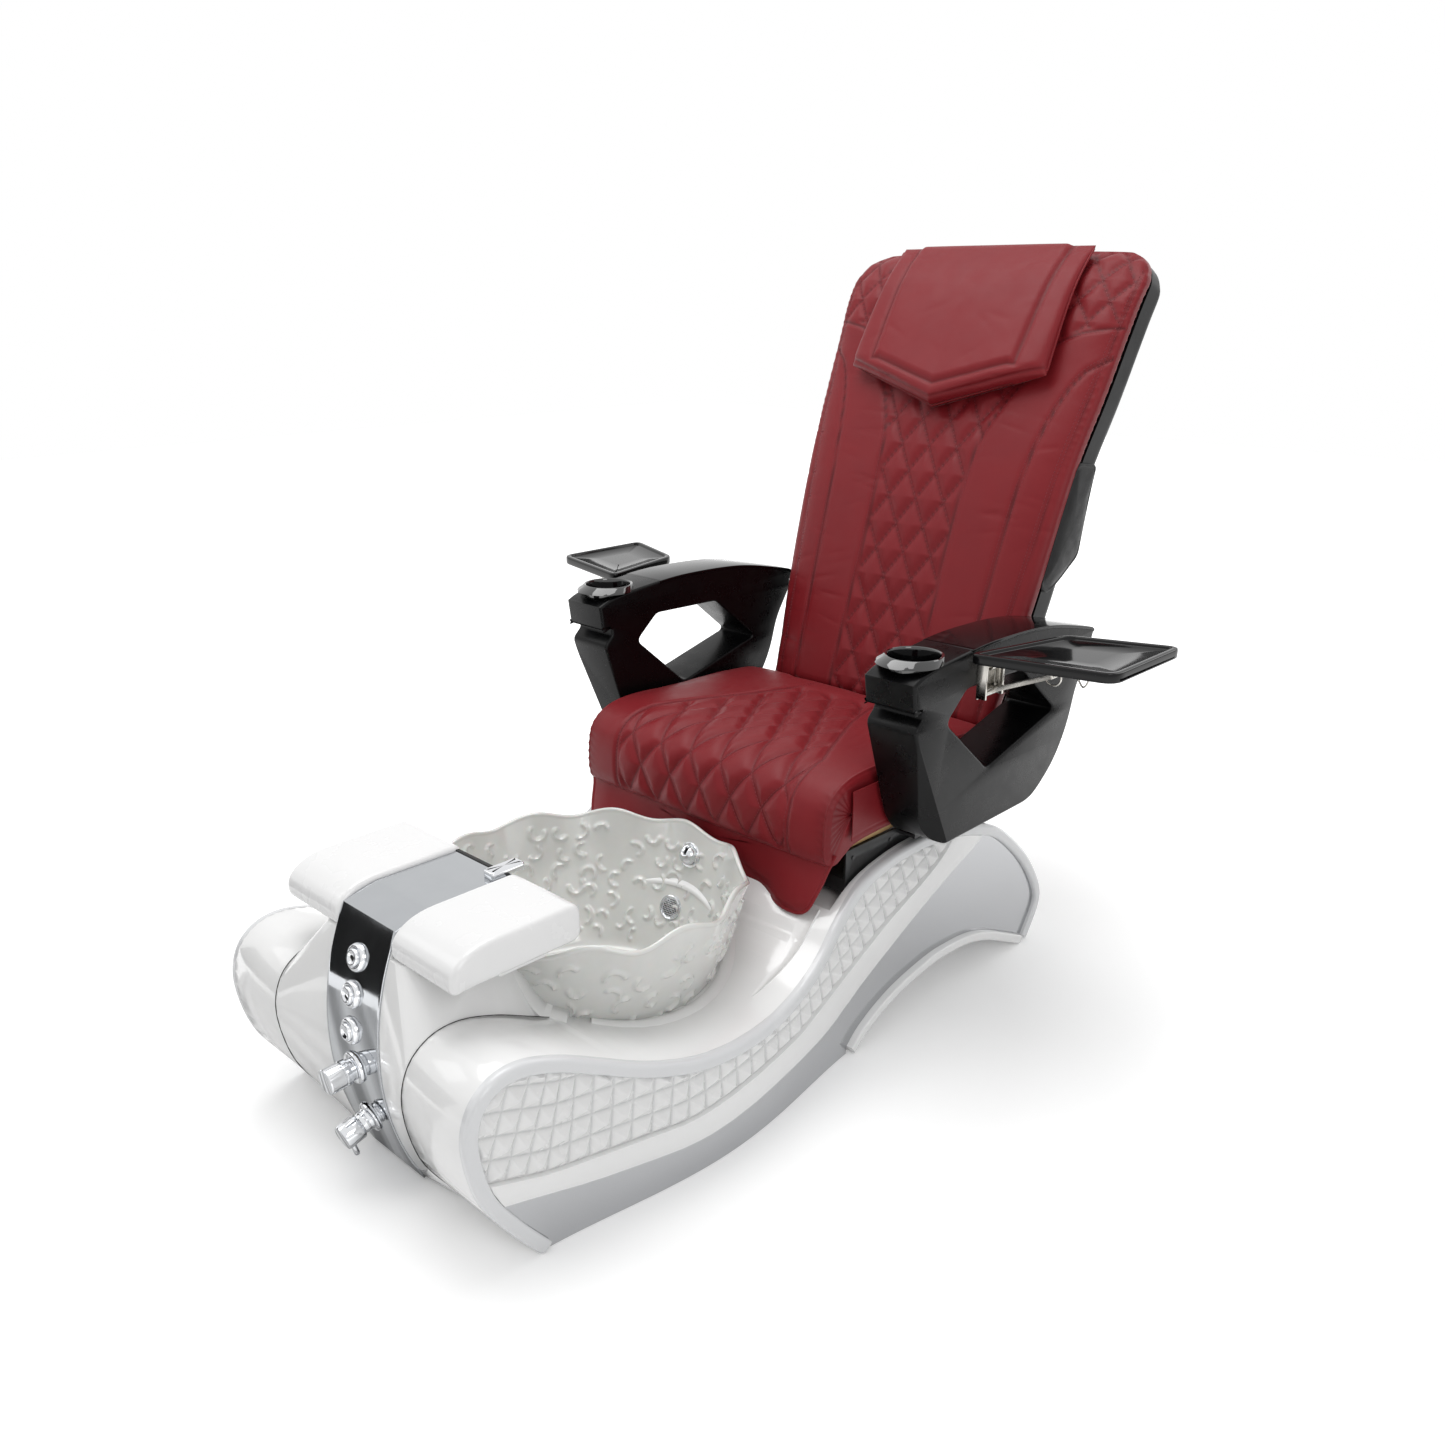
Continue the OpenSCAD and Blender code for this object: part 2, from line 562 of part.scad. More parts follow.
// Lead screw of the seat slide: the screw rides with the seat, its nut stands on the well floor
screw_x = 40;
screw_z = bar_top + 12;
screw_r = 7;
nut_len = 24;
nut_y = mid_bar_y - 4 - nut_len;
module seat_rails() color("dimgray") {
    // the rails begin behind the flap's travel
    pair() box([rail_x - rail_half_w, board_front + seat_travel + 4, well_floor_z],
        [rail_x + rail_half_w, rear_bar_y + 20, rail_z]);
    difference() {
        box([screw_x - 14, nut_y, well_floor_z], [screw_x + 14, nut_y + nut_len, screw_z + 14]);
        y_rod(screw_r + pin_gap, nut_y - cut, nut_y + nut_len + cut, screw_x, screw_z);
    }
    // end stop that the front cross bar meets when the seat is right back
    box([-14, frame_front + bar_w + seat_travel + slide_gap, well_floor_z],
        [14, frame_front + bar_w + seat_travel + slide_gap + 10, bar_top - 6]);
}
module seat_frame() color("black") {
    pair() {
        // side plate, foot on the rail and its two guide lips
        box([frame_half_w - plate_t, frame_front, frame_z], [frame_half_w, frame_back, frame_top_z]);
        box([rail_x - rail_half_w - 6, frame_front, frame_z],
            [frame_half_w, rear_bar_y + bar_w, frame_z + plate_t]);
        for (x = [rail_x + rail_half_w + slide_gap, rail_x - rail_half_w - slide_gap - plate_t])
            box([x, frame_front, well_floor_z + 2], [x + plate_t, rear_bar_y + bar_w, frame_z]);
        // bracket under the armrest, which stands up inside it
        box([frame_half_w, arm_bolt_y0, frame_top_z - 12],
            [arm_inner_x + arm_wall + seat_gap, arm_bolt_y1, frame_top_z - 6]);
        box([arm_inner_x + arm_wall + seat_gap, arm_bolt_y0, frame_top_z - 12],
            [arm_inner_x + arm_wall + 6, arm_bolt_y1, arm_low_z + 70]);
        // recline cheek with its pivot pin
        along_x(frame_half_w - plate_t, frame_half_w) polygon([[frame_back - 36, frame_top_z - cut],
            [frame_back, frame_top_z - cut], [pivot_y + 16, pivot_z + 12], [pivot_y - 16, pivot_z + 16]]);
        x_rod(recline_pin_r, upright_x - 13, frame_half_w, pivot_y, pivot_z);
        // posts under the seat board, and bolts in the side plates
        for (y = [frame_front, mid_bar_y, rear_bar_y]) box([150, y, bar_top], [180, y + bar_w, frame_top_z]);
        for (y = [frame_front + 18, frame_front + 118])
            x_rod(4, frame_half_w, frame_half_w + 2, y, frame_top_z - 16);
    }
    for (y = [frame_front, mid_bar_y, rear_bar_y])
        box([-frame_half_w + plate_t, y, frame_z + plate_t], [frame_half_w - plate_t, y + bar_w, bar_top]);
}
module slide_motor() color("dimgray") {
    y_rod(screw_r, frame_front, mid_bar_y + 2, screw_x, screw_z);
    y_rod(20, mid_bar_y + bar_w, 400, screw_x, bar_top + 20);
    for (y = [frame_front, mid_bar_y])
        box([screw_x - 16, y, bar_top], [screw_x + 16, y + bar_w, screw_z + 12]);
}
skirt_t = 4;
board_front = 80;
module seat_pan() color("burlywood")
    box([-frame_half_w + 6, board_front, frame_top_z],
        [frame_half_w - 6, seat_rear_y - 8, seat_bottom_z - seat_gap]);

// Linear actuator of the recline, and the lever that its rod pushes
actuator_r = 16;
actuator_x = -70;
actuator_z = bar_top + actuator_r;
rod_r = 8;
lever_r = 10;
rod_gap = 3;
module recline_actuator() color("dimgray") difference() {
    union() {
        y_rod(actuator_r, 240, rear_bar_y + bar_w, actuator_x, actuator_z);
        for (y = [mid_bar_y, rear_bar_y])
            box([actuator_x - 12, y, bar_top], [actuator_x + 12, y + bar_w, actuator_z]);
    }
    y_rod(rod_r + pin_gap, 360, frame_back, actuator_x, actuator_z);
}
module recline_rod() color("silver")
    y_rod(rod_r, 400, pivot_y - lever_r - rod_gap, actuator_x, actuator_z);

// ---- Cushion forms ---------------------------------------------------------------------------------
rear_inset = 9;
face_inset = 11;
// A closed cushion. For s from -1 to 1 and v from 0 to 1, place(s, v, inset) gives its outline,
// thick(v) its thickness, lift(s, v) the crown and channels of its face, and bend(s, v) the height
// of its rear. Its sides draw in between two rolled edges.
module cushion(place, thick, lift, bend, ns = 18, nv = 16) {
    // inset and share of the thickness of each ring round the side
    rings = [[0, 0.16], [3.5, 0.5], [0, 0.8]];
    ss = [for (i = [0 : ns]) -1 + 2 * i / ns];
    vs = [for (j = [0 : nv]) j / nv];
    edge = concat([for (i = [0 : ns]) [ss[i], 0]], [for (j = [1 : nv]) [1, vs[j]]],
        [for (i = [ns - 1 : -1 : 0]) [ss[i], 1]], [for (j = [nv - 1 : -1 : 1]) [-1, vs[j]]]);
    n = len(edge);
    grid = (ns + 1) * (nv + 1);
    face0 = grid + 3 * n;
    function at(i, j) = i + j * (ns + 1);
    function edge_at(k) = let (e = edge[k % n]) at(round((e[0] + 1) * ns / 2), round(e[1] * nv));
    function point(s, v, inset, z) = let (p = place(s, v, inset)) [p[0], p[1], bend(s, v) + z];
    points = concat(
        [for (v = vs, s = ss) point(s, v, rear_inset, 0)],
        [for (r = rings, e = edge) point(e[0], e[1], r[0], r[1] * thick(e[1]))],
        [for (v = vs, s = ss) point(s, v, face_inset, thick(v) + lift(s, v))]);
    function strip(f, g) = [for (k = [0 : n - 1]) each [[f(k), g(k), g(k + 1)], [f(k), g(k + 1), f(k + 1)]]];
    rear = function(k) edge_at(k);
    ring_0 = function(k) grid + k % n;
    ring_1 = function(k) grid + n + k % n;
    ring_2 = function(k) grid + 2 * n + k % n;
    face = function(k) face0 + edge_at(k);
    faces = concat(
        [for (j = [0 : nv - 1], i = [0 : ns - 1]) each [[at(i, j), at(i + 1, j), at(i + 1, j + 1)],
            [at(i, j), at(i + 1, j + 1), at(i, j + 1)]]],
        [for (j = [0 : nv - 1], i = [0 : ns - 1]) each [
            [face0 + at(i, j), face0 + at(i + 1, j + 1), face0 + at(i + 1, j)],
            [face0 + at(i, j), face0 + at(i, j + 1), face0 + at(i + 1, j + 1)]]],
        strip(rear, ring_0), strip(ring_0, ring_1), strip(ring_1, ring_2), strip(ring_2, face));
    polyhedron(points, faces);
}
function bulge(s, v, a, b) = (1 - pow(abs(s), a)) * (1 - pow(abs(2 * v - 1), b));
function groove(s, c, w) = let (u = (abs(s) - c) / w) abs(u) < 1 ? 1 + cos(180 * u) : 0;

seat_crown = 12;
seat_fall = 38;
module seat_cushion() color("firebrick") {
    seat_len = seat_rear_y - seat_front_y;
    // the front corners are drawn back a little, and the front falls away under the knees
    place = function(s, v, d) [s * (seat_half_w - d - 6 * pow(1 - v, 6)),
        seat_front_y + d + 10 * pow(abs(s), 6) * pow(1 - v, 8) + v * (seat_len - 2 * d)];
    thick = function(v) seat_t - seat_fall * pow(1 - v, 5);
    lift = function(s, v) seat_crown * bulge(s, v, 4, 6) - 3 * groove(s, 0.67, 0.12);
    translate([0, 0, seat_bottom_z]) cushion(place, thick, lift, function(s, v) 0);
}
// Flat flap that hangs from the seat board in front of the well
skirt_low_z = well_floor_z + 3;
module front_skirt() color("firebrick") {
    w = frame_half_w - 1;
    translate([0, board_front - seat_gap, 0]) rotate([90, 0, 0]) linear_extrude(skirt_t) polygon([
        [-w, seat_bottom_z - 2], [w, seat_bottom_z - 2], [w - 10, skirt_low_z + 36], [w - 22, skirt_low_z + 10],
        [w - 46, skirt_low_z], [46 - w, skirt_low_z], [22 - w, skirt_low_z + 10], [10 - w, skirt_low_z + 36]]);
}
// Flat side flaps of the seat cover, inside the armrests
module seat_side_covers() color("firebrick") pair()
    box([seat_half_w + seat_gap, frame_front, seat_bottom_z - 4], [seat_half_w + 3.5, 440, seat_bottom_z + 66]);

// ---- Arms ------------------------------------------------------------------------------------------
arm_outer_x = arm_inner_x + arm_w;
arm_low_z = 379;
arm_wall = 6;
arm_bolt_y0 = 260;
arm_bolt_y1 = 420;
arm_crest = curve([[118, 668], [155, 681], [240, 691], [345, 697], [497, 690], [632, 664], [657, 655]], 3);
arm_profile = concat(arm_crest, [[657, 634], [640, 606], [610, 560], [590, 490], [552, 432], [492, 388],
    [462, arm_low_z + 3], [226, arm_low_z], [206, 388], [184, 417], [127, 592], [146, 610], [146, 622],
    [120, 624]]);
arm_window = [[262, 632], [425, 628], [540, 534], [335, 480], [210, 587]];
slot_y = 262;
cup_x = arm_inner_x + arm_w / 2;
cup_y = 180;
cup_top_z = 690;
module arm() difference() {
    along_x(arm_inner_x, arm_outer_x) polygon(arm_profile);
    along_x(arm_inner_x - cut, arm_outer_x + cut) polygon(arm_window);
    // seat for the glossy top panel
    along_x(arm_inner_x - cut, arm_outer_x + cut) intersection() {
        polygon(concat(shifted(arm_crest, -20), reversed(shifted(arm_crest, arm_top_t))));
        polygon([[slot_y, 600], [700, 600], [700, 760], [slot_y, 760]]);
    }
    translate([cup_x, cup_y, cup_top_z - cup_depth - 4]) cylinder(r = cup_r + 3, h = 100);
    // hollow of the lower body, open below
    along_x(arm_inner_x + arm_wall, arm_outer_x - arm_wall) polygon([[232, arm_low_z - cut], [215, 420],
        [180, 520], [205, 560], [325, 462], [480, 498], [570, 500], [540, 434], [480, 392],
        [450, arm_low_z - cut]]);
}
module arm_left() color("black") arm();
module arm_right() color("black") mirror([1, 0, 0]) arm();

module arm_top() along_x(arm_inner_x + 1, arm_outer_x) intersection() {
    polygon(concat(arm_crest, reversed(shifted(arm_crest, arm_top_t))));
    polygon([[slot_y + 6, 600], [654, 600], [654, 760], [slot_y + 6, 760]]);
}
module arm_top_left() color("black") arm_top();
module arm_top_right() color("black") mirror([1, 0, 0]) arm_top();

lip_h = 12;
module cup_holder() translate([cup_x, cup_y, 0]) difference() {
    union() {
        translate([0, 0, cup_top_z - cup_depth - 3]) cylinder(r = cup_r + 3 - seat_gap, h = cup_depth + 5);
        translate([0, 0, cup_top_z + 2]) intersection() {
            cylinder(r1 = cup_r + 12, r2 = cup_r + 3, h = lip_h);
            translate([-cup_r - 6, -60, 0]) cube([2 * cup_r + 12, 60, 60]);
        }
        translate([0, 0, cup_top_z + 1]) cylinder(r = cup_r + 5, h = 3);
    }
    translate([0, 0, cup_top_z - cup_depth]) cylinder(r = cup_r, h = 100);
}
module cup_holder_left() color("black") cup_holder();
module cup_holder_right() color("black") mirror([1, 0, 0]) cup_holder();

// ---- Trays -----------------------------------------------------------------------------------------
tray_hinge_x = arm_outer_x + 12;
tray_hinge_z = tray_top_z - tray_t - 15;
strut_pivot_z = tray_hinge_z - 42;
bracket_y0 = 284;
bracket_y1 = 336;
ear_t = 4;
bar_y0 = bracket_y0 + 16;
bar_y1 = bracket_y1 - ear_t - slide_gap;
tray_corners = [[arm_outer_x + 6, 243], [tray_outer_x, 295], [tray_outer_x, 512], [arm_outer_x + 57, 450]];
function inner_corners(d) = [tray_corners[0] + [d, d * 1.2], tray_corners[1] + [-d, d * 0.8],
    tray_corners[2] + [-d, -d * 1.2], tray_corners[3] + [d * 0.7, -d]];
module tray() {
    difference() {
        translate([0, 0, tray_top_z - tray_t]) linear_extrude(tray_t) polygon(tray_corners);
        translate([0, 0, tray_top_z - 5]) linear_extrude(10) polygon(inner_corners(10));
    }
    // hinge bar under the tray with its knuckle
    difference() {
        union() {
            box([tray_hinge_x, bar_y0, tray_hinge_z + 9], [tray_hinge_x + 150, bar_y1, tray_top_z - tray_t]);
            y_rod(7, bar_y0, bar_y1, tray_hinge_x, tray_hinge_z);
            box([tray_hinge_x - 7, bar_y0, tray_hinge_z], [tray_hinge_x + 7, bar_y1, tray_hinge_z + 12]);
        }
        y_rod(tray_pin_r + pin_gap, bar_y0 - cut, bar_y1 + cut, tray_hinge_x, tray_hinge_z);
    }
    // finger ring of the release latch
    box([tray_hinge_x + 80, bar_y1, tray_hinge_z + 9], [tray_hinge_x + 96, bar_y1 + 12, tray_hinge_z + 14]);
    translate([tray_hinge_x + 88, bar_y1 + 9, tray_hinge_z - 4]) rotate([90, 0, 0]) difference() {
        cylinder(r = 15, h = 3);
        translate([0, 0, -cut]) cylinder(r = 12, h = 5);
    }
}
module tray_left() color("black") tray();
module tray_right() color("black") mirror([1, 0, 0]) tray();

module tray_brackets() color("silver") pair() {
    box([arm_outer_x, bracket_y0, strut_pivot_z - 12], [arm_outer_x + 3, bracket_y1, tray_hinge_z + 8]);
    for (y = [bracket_y0, bracket_y1 - ear_t])
        box([arm_outer_x, y, strut_pivot_z - 10], [tray_hinge_x + 6, y + ear_t, tray_hinge_z + 8]);
    y_rod(tray_pin_r, bracket_y0, bracket_y1, tray_hinge_x, tray_hinge_z);
    y_rod(tray_pin_r, bracket_y0, bracket_y1, tray_hinge_x, strut_pivot_z);
}
// Angle of the strut above level at rest: its end lies just under the hinge bar
strut_rise = asin((tray_hinge_z + 9 - 4 - seat_gap - strut_pivot_z) / strut_len);
module tray_strut() translate([tray_hinge_x, 0, strut_pivot_z]) rotate([0, -strut_rise, 0]) difference() {
    union() {
        y_rod(6, bracket_y0 + ear_t + slide_gap, bar_y1, 0, 0);
        box([0, bar_y0 + 4, -3.5], [strut_len - 4, bar_y0 + 22, 3.5]);
        y_rod(4, bar_y0 + 4, bar_y0 + 22, strut_len - 4, 0);
    }
    y_rod(tray_pin_r + pin_gap, bracket_y0, bracket_y1, 0, 0);
}
module tray_strut_left() color("silver") tray_strut();
module tray_strut_right() color("silver") mirror([1, 0, 0]) tray_strut();

// ---- Back ------------------------------------------------------------------------------------------
back_foot_y = 548;
back_foot_z = 472;
// Frame of the reclined back: y is depth behind its straight face line and z runs up along it
module on_back() translate([0, back_foot_y, back_foot_z]) rotate([-back_recline, 0, 0]) children();
function back_half_w(v) = lookup(v, [[0, back_foot_half_w], [0.15, back_foot_half_w + 16],
    [0.3, back_foot_half_w + 28], [0.53, back_top_half_w - 23], [0.7, back_top_half_w - 10],
    [0.9, back_top_half_w], [0.95, back_top_half_w - 10], [0.98, back_top_half_w - 26],
    [1, back_top_half_w - 58]]);
// The side view of the back is a bow that leans away at its top
bow_line = curve([[0, 0], [0.27, 0.64 * back_bow], [0.52, back_bow], [0.71, 0.56 * back_bow], [0.89, 1],
    [1, -30]]);
function bow(t) = lookup(t / back_len, bow_line);
back_crown = 8;
module back_cushion() color("firebrick") {
    place = function(s, v, d) [s * (back_half_w(v) - d), d + v * (back_len - 2 * d)];
    lift = function(s, v) back_crown * bulge(s, v, 4, 10) - 3 * groove(s, 0.36, 0.12)
        - 3 * groove(s, 0.7, 0.12);
    on_back() translate([0, back_t, 0]) rotate([90, 0, 0])
        cushion(place, function(v) back_t, lift, function(s, v) bow(v * back_len));
}
pillow_foot = back_len - 266;
pillow_point = 72;
pillow_half_w = 220;
module headrest_pillow() color("firebrick") {
    top = back_len - 8;
    place = function(s, v, d) let (low = pillow_foot - pillow_point * (1 - abs(s)) + d)
        [s * (pillow_half_w - 8 * v - d), low + v * (top - d - low)];
    thick = function(v) pillow_t * (1 - 0.75 * v);
    lift = function(s, v) 6 * bulge(s, v, 6, 6) - 3 * groove(s, 0.76, 0.12);
    bend = function(s, v) bow(place(s, v, 0)[1]) + back_crown + seat_gap;
    on_back() rotate([90, 0, 0]) cushion(place, thick, lift, bend, 14, 10);
}

shell_front_d = back_t + seat_gap;
shell_rear_d = back_t + back_shell_t;
shell_inset = 14;
shell_vs = [0.02, 0.15, 0.3, 0.53, 0.7, 0.9, 0.95];
// A side view of the back between two depths, with the same steps as the rear of the cushion
band_vs = [for (j = [0 : 16]) j / 16];
module back_band(d0, d1) along_x(-400, 400) polygon(concat(
    [for (v = band_vs) [d0 - bow(v * back_len), rear_inset + v * (back_len - 2 * rear_inset)]],
    [for (v = reversed(band_vs)) [d1 - bow(v * back_len), rear_inset + v * (back_len - 2 * rear_inset)]]));
function shell_x(v, g) = back_half_w(v) - shell_inset - g;
module shell_plan(g) polygon(concat(
    [[shell_x(0, g), g > 0 ? -60 : shell_vs[0] * back_len]],
    [for (v = shell_vs) [shell_x(v, g), v * back_len]],
    [[shell_x(0.98, g) - 10, 0.975 * back_len - g], [10 - shell_x(0.98, g), 0.975 * back_len - g]],
    [for (v = reversed(shell_vs)) [-shell_x(v, g), v * back_len]],
    [[-shell_x(0, g), g > 0 ? -60 : shell_vs[0] * back_len]]));
// Cuts away everything past the slanted rear edges of the shell
shell_lean = atan((back_top_half_w - back_foot_half_w) / back_len);
shell_slant = 34;
module shell_corners(g) pair()
    translate([back_foot_half_w - shell_inset - shell_slant / 2 - g * 0.7,
        shell_rear_d - shell_slant / 2 - g * 0.7, 0])
        rotate([0, shell_lean, 0]) rotate([0, 0, 45])
            translate([0, -150, -100]) cube([300, 300, back_len + 200]);
module shell_block(g) difference() {
    intersection() {
        translate([0, shell_rear_d + 60, 0]) rotate([90, 0, 0])
            linear_extrude(shell_rear_d + 120) shell_plan(g);
        back_band(shell_front_d - (g > 0 ? cut : 0), shell_rear_d - g);
    }
    shell_corners(g);
}
module back_shell() color("black") on_back() {
    difference() {
        shell_block(0);
        shell_block(back_shell_wall);
    }
    // bosses that are bolted to the cross bars of the frame
    for (t = [bar_low_t, bar_high_t]) pair()
        box([140, bar_d0 + 2 * bar_t + seat_gap, t + 4], [156, shell_rear_d - bow(t) - 2, t + 20]);
}
// Steel frame inside the back: uprights that end in the pivot bosses, cross bars and the lever
upright_x = frame_half_w - 59;
bar_t = 16;
bar_d0 = back_t + 3;
bar_low_t = 30;
bar_high_t = back_len - 128;
module back_frame() color("dimgray") difference() {
    union() {
        on_back() {
            pair() box([upright_x - 12, bar_d0, -20], [upright_x + 12, bar_d0 + bar_t, bar_high_t + 24]);
            for (t = [bar_low_t, bar_high_t])
                box([-upright_x - 12, bar_d0 + bar_t, t], [upright_x + 12, bar_d0 + 2 * bar_t, t + 24]);
        }
        pair() x_rod(recline_pin_r + 10, upright_x - 12, upright_x + 12, pivot_y, pivot_z);
        // lever that the recline rod pushes
        x_rod(lever_r, actuator_x - 8, actuator_x + 8, pivot_y, actuator_z);
        along_x(actuator_x - 8, actuator_x + 8) polygon([
            [pivot_y - lever_r, actuator_z], [pivot_y + lever_r, actuator_z],
            [back_foot_y + 92, back_foot_z + 10], [back_foot_y + 72, back_foot_z + 10]]);
    }
    pair() x_rod(recline_pin_r + pin_gap, upright_x - 14, upright_x + 14, pivot_y, pivot_z);
}

// Soft pouches on the sides of the shell
pocket_vs = [0.25, 0.3, 0.42, 0.53, 0.58];
module side_pockets() color("black") on_back() pair() intersection() {
    translate([0, 200, 0]) rotate([90, 0, 0]) linear_extrude(200) polygon(concat(
        [for (v = pocket_vs) [shell_x(v, 0) + seat_gap, v * back_len]],
        [for (v = reversed(pocket_vs)) [shell_x(v, 0) + 12, v * back_len]]));
    along_x(0, 600) polygon([for (p = [[33, 0.3], [27, 0.554], [86, 0.56], [95, 0.48], [100, 0.385],
        [84, 0.317], [64, 0.297]]) [p[0] + back_t - 45, p[1] * back_len]]);
}

guide_x = 90;
guide_r = 6;
guide_d = bar_d0 + bar_t - guide_r;
module massage_rails() color("silver") on_back() pair() {
    translate([guide_x, guide_d, bar_low_t]) cylinder(r = guide_r, h = bar_high_t - bar_low_t + 24);
    for (t = [bar_low_t, bar_high_t])
        box([guide_x - guide_r - 2, guide_d - guide_r, t], [guide_x + guide_r + 2, guide_d + guide_r, t + 24]);
}
carriage_t = back_len - 566;
carriage_h = 60;
axle_r = 5;
roller_d = guide_d + 6;
roller_t = carriage_t + carriage_h + 30;
module massage_carriage() color("gray") on_back() difference() {
    union() {
        box([-110, guide_d - 8, carriage_t], [110, guide_d + 8, carriage_t + carriage_h]);
        pair() box([70, guide_d - 8, carriage_t + carriage_h - cut], [78, roller_d + 8, roller_t + 12]);
        pair() box([70, guide_d, carriage_t + 20], [78, roller_d + 8, carriage_t + carriage_h]);
    }
    pair() translate([guide_x, guide_d, carriage_t - cut])
        cylinder(r = guide_r + pin_gap, h = carriage_h + 2 * cut);
    x_rod(axle_r + pin_gap, -100, 100, roller_d, roller_t);
}
module massage_rollers() color("black") on_back() {
    x_rod(axle_r, -84, 84, roller_d, roller_t);
    pair() x_rod(roller_r, 36, 62, roller_d, roller_t);
}

base_shell();
base_frame();
levelling_feet();
rim_band_left();
rim_band_right();
side_panel_left();
side_panel_right();
steel_panel_left();
steel_panel_right();
arch_trims();
console_shell();
console_cover();
footrest_bracket();
footrest_pad_left();
footrest_pad_right();
bowl();
jet_housing();
jet_cap();
suction_grille();
drain_pipe();
filler_spout();
button_bezels();
air_button_1();
air_button_2();
air_button_3();
flow_knob();
mixer_body();
mixer_lever();
water_valves();
supply_pipes();
jet_pump();
control_box();
seat_rails();
seat_frame();
slide_motor();
seat_pan();
seat_cushion();
front_skirt();
seat_side_covers();
arm_left();
arm_right();
arm_top_left();
arm_top_right();
cup_holder_left();
cup_holder_right();
tray_left();
tray_right();
tray_brackets();
tray_strut_left();
tray_strut_right();
recline_actuator();
recline_rod();
back_frame();
back_shell();
back_cushion();
headrest_pillow();
side_pockets();
massage_rails();
massage_carriage();
massage_rollers();
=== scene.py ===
"""Pedicure spa chair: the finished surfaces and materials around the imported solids.

Lengths in this file are millimetres until a mesh is made. +Z is up, -Y is the foot end and +X is the
sitter's left. Each sub-assembly is a class whose fields are its sizes and whose methods build and dress it.
"""

from __future__ import annotations

import json
import logging
import math
from dataclasses import dataclass
from enum import Enum
from typing import Sequence

import bmesh
import bpy
import numpy as np
from mathutils import Matrix, Vector

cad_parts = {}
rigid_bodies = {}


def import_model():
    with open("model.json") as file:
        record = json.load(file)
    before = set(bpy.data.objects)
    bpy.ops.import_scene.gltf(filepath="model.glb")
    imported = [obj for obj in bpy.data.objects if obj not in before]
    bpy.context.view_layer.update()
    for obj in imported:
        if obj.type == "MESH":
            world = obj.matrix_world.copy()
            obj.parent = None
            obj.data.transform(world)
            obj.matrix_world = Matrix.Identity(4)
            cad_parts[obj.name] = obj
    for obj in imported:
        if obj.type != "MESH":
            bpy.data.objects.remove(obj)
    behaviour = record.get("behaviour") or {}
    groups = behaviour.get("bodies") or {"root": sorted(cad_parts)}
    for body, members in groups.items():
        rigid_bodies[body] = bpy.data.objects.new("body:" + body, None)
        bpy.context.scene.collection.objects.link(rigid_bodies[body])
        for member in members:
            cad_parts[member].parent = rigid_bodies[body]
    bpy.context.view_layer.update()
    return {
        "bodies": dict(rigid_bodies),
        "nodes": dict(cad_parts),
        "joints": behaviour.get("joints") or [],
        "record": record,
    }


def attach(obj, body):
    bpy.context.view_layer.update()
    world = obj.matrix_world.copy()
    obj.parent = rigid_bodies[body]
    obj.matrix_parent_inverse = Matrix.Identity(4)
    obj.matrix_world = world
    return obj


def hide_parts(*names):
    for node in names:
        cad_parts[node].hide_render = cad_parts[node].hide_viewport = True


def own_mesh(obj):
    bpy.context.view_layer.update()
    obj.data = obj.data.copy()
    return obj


LOG = logging.getLogger("spa_chair")
Array = np.ndarray
MM = 0.001
SIDES = (("left", 1.0), ("right", -1.0))
MERGE_M = 2e-5
DISSOLVE_M = 1e-6
CUT_ANGLE = 32.0


# ---- Colours and shader nodes ------------------------------------------------------------------


def linear(code: str) -> tuple[float, float, float, float]:
    """Turns an sRGB hex colour into linear RGBA.

    Args:
        code: six hex digits.

    Returns:
        The linear colour with alpha 1.
    """
    values = np.array([int(code[i : i + 2], 16) for i in (0, 2, 4)]) / 255.0
    low, high = values / 12.92, ((values + 0.055) / 1.055) ** 2.4
    return (*np.where(values <= 0.04045, low, high).tolist(), 1.0)


def add_node(
    tree: bpy.types.NodeTree, kind: str, values: dict | None = None, links: dict | None = None,
    **settings: object,
) -> bpy.types.Node:
    """Adds one node with its settings, socket values and links.

    Args:
        tree: the node tree that gets the node.
        kind: the node's type name without its prefix.
        values: socket name or number to value.
        links: socket name or number to the output that feeds it.
        settings: the node's own properties.

    Returns:
        The new node.
    """
    node = tree.nodes.new(f"ShaderNode{kind}")
    for key, value in settings.items():
        setattr(node, key, value)
    for key, value in (values or {}).items():
        node.inputs[key].default_value = value
    for key, socket in (links or {}).items():
        tree.links.new(socket, node.inputs[key])
    return node


def node_material(name: str) -> tuple[bpy.types.Material, bpy.types.NodeTree, bpy.types.Node]:
    """Makes a node material and returns it with its tree and its principled shader."""
    material = bpy.data.materials.new(name)
    material.use_nodes = True
    return material, material.node_tree, material.node_tree.nodes["Principled BSDF"]


class Grain(Enum):
    """The fine structure of a surface."""

    PEBBLE = "pressed leather grain"
    SPARK = "spark-eroded mould texture"
    BRUSHED = "lines left by an abrasive belt"
    ROLLED = "long faint lines left by the rolls of the mill"
    PEEL = "the slow ripple of a sprayed or gelled coat"
    PLY = "long wood fibres"
    CAST = "the short waves of a poured resin"


STRETCH = {Grain.BRUSHED: (1.0, 0.02, 1.0), Grain.ROLLED: (1.0, 0.02, 0.02), Grain.PLY: (1.0, 0.05, 1.0)}
DETAIL = {Grain.PEEL: 0.0, Grain.CAST: 1.0}


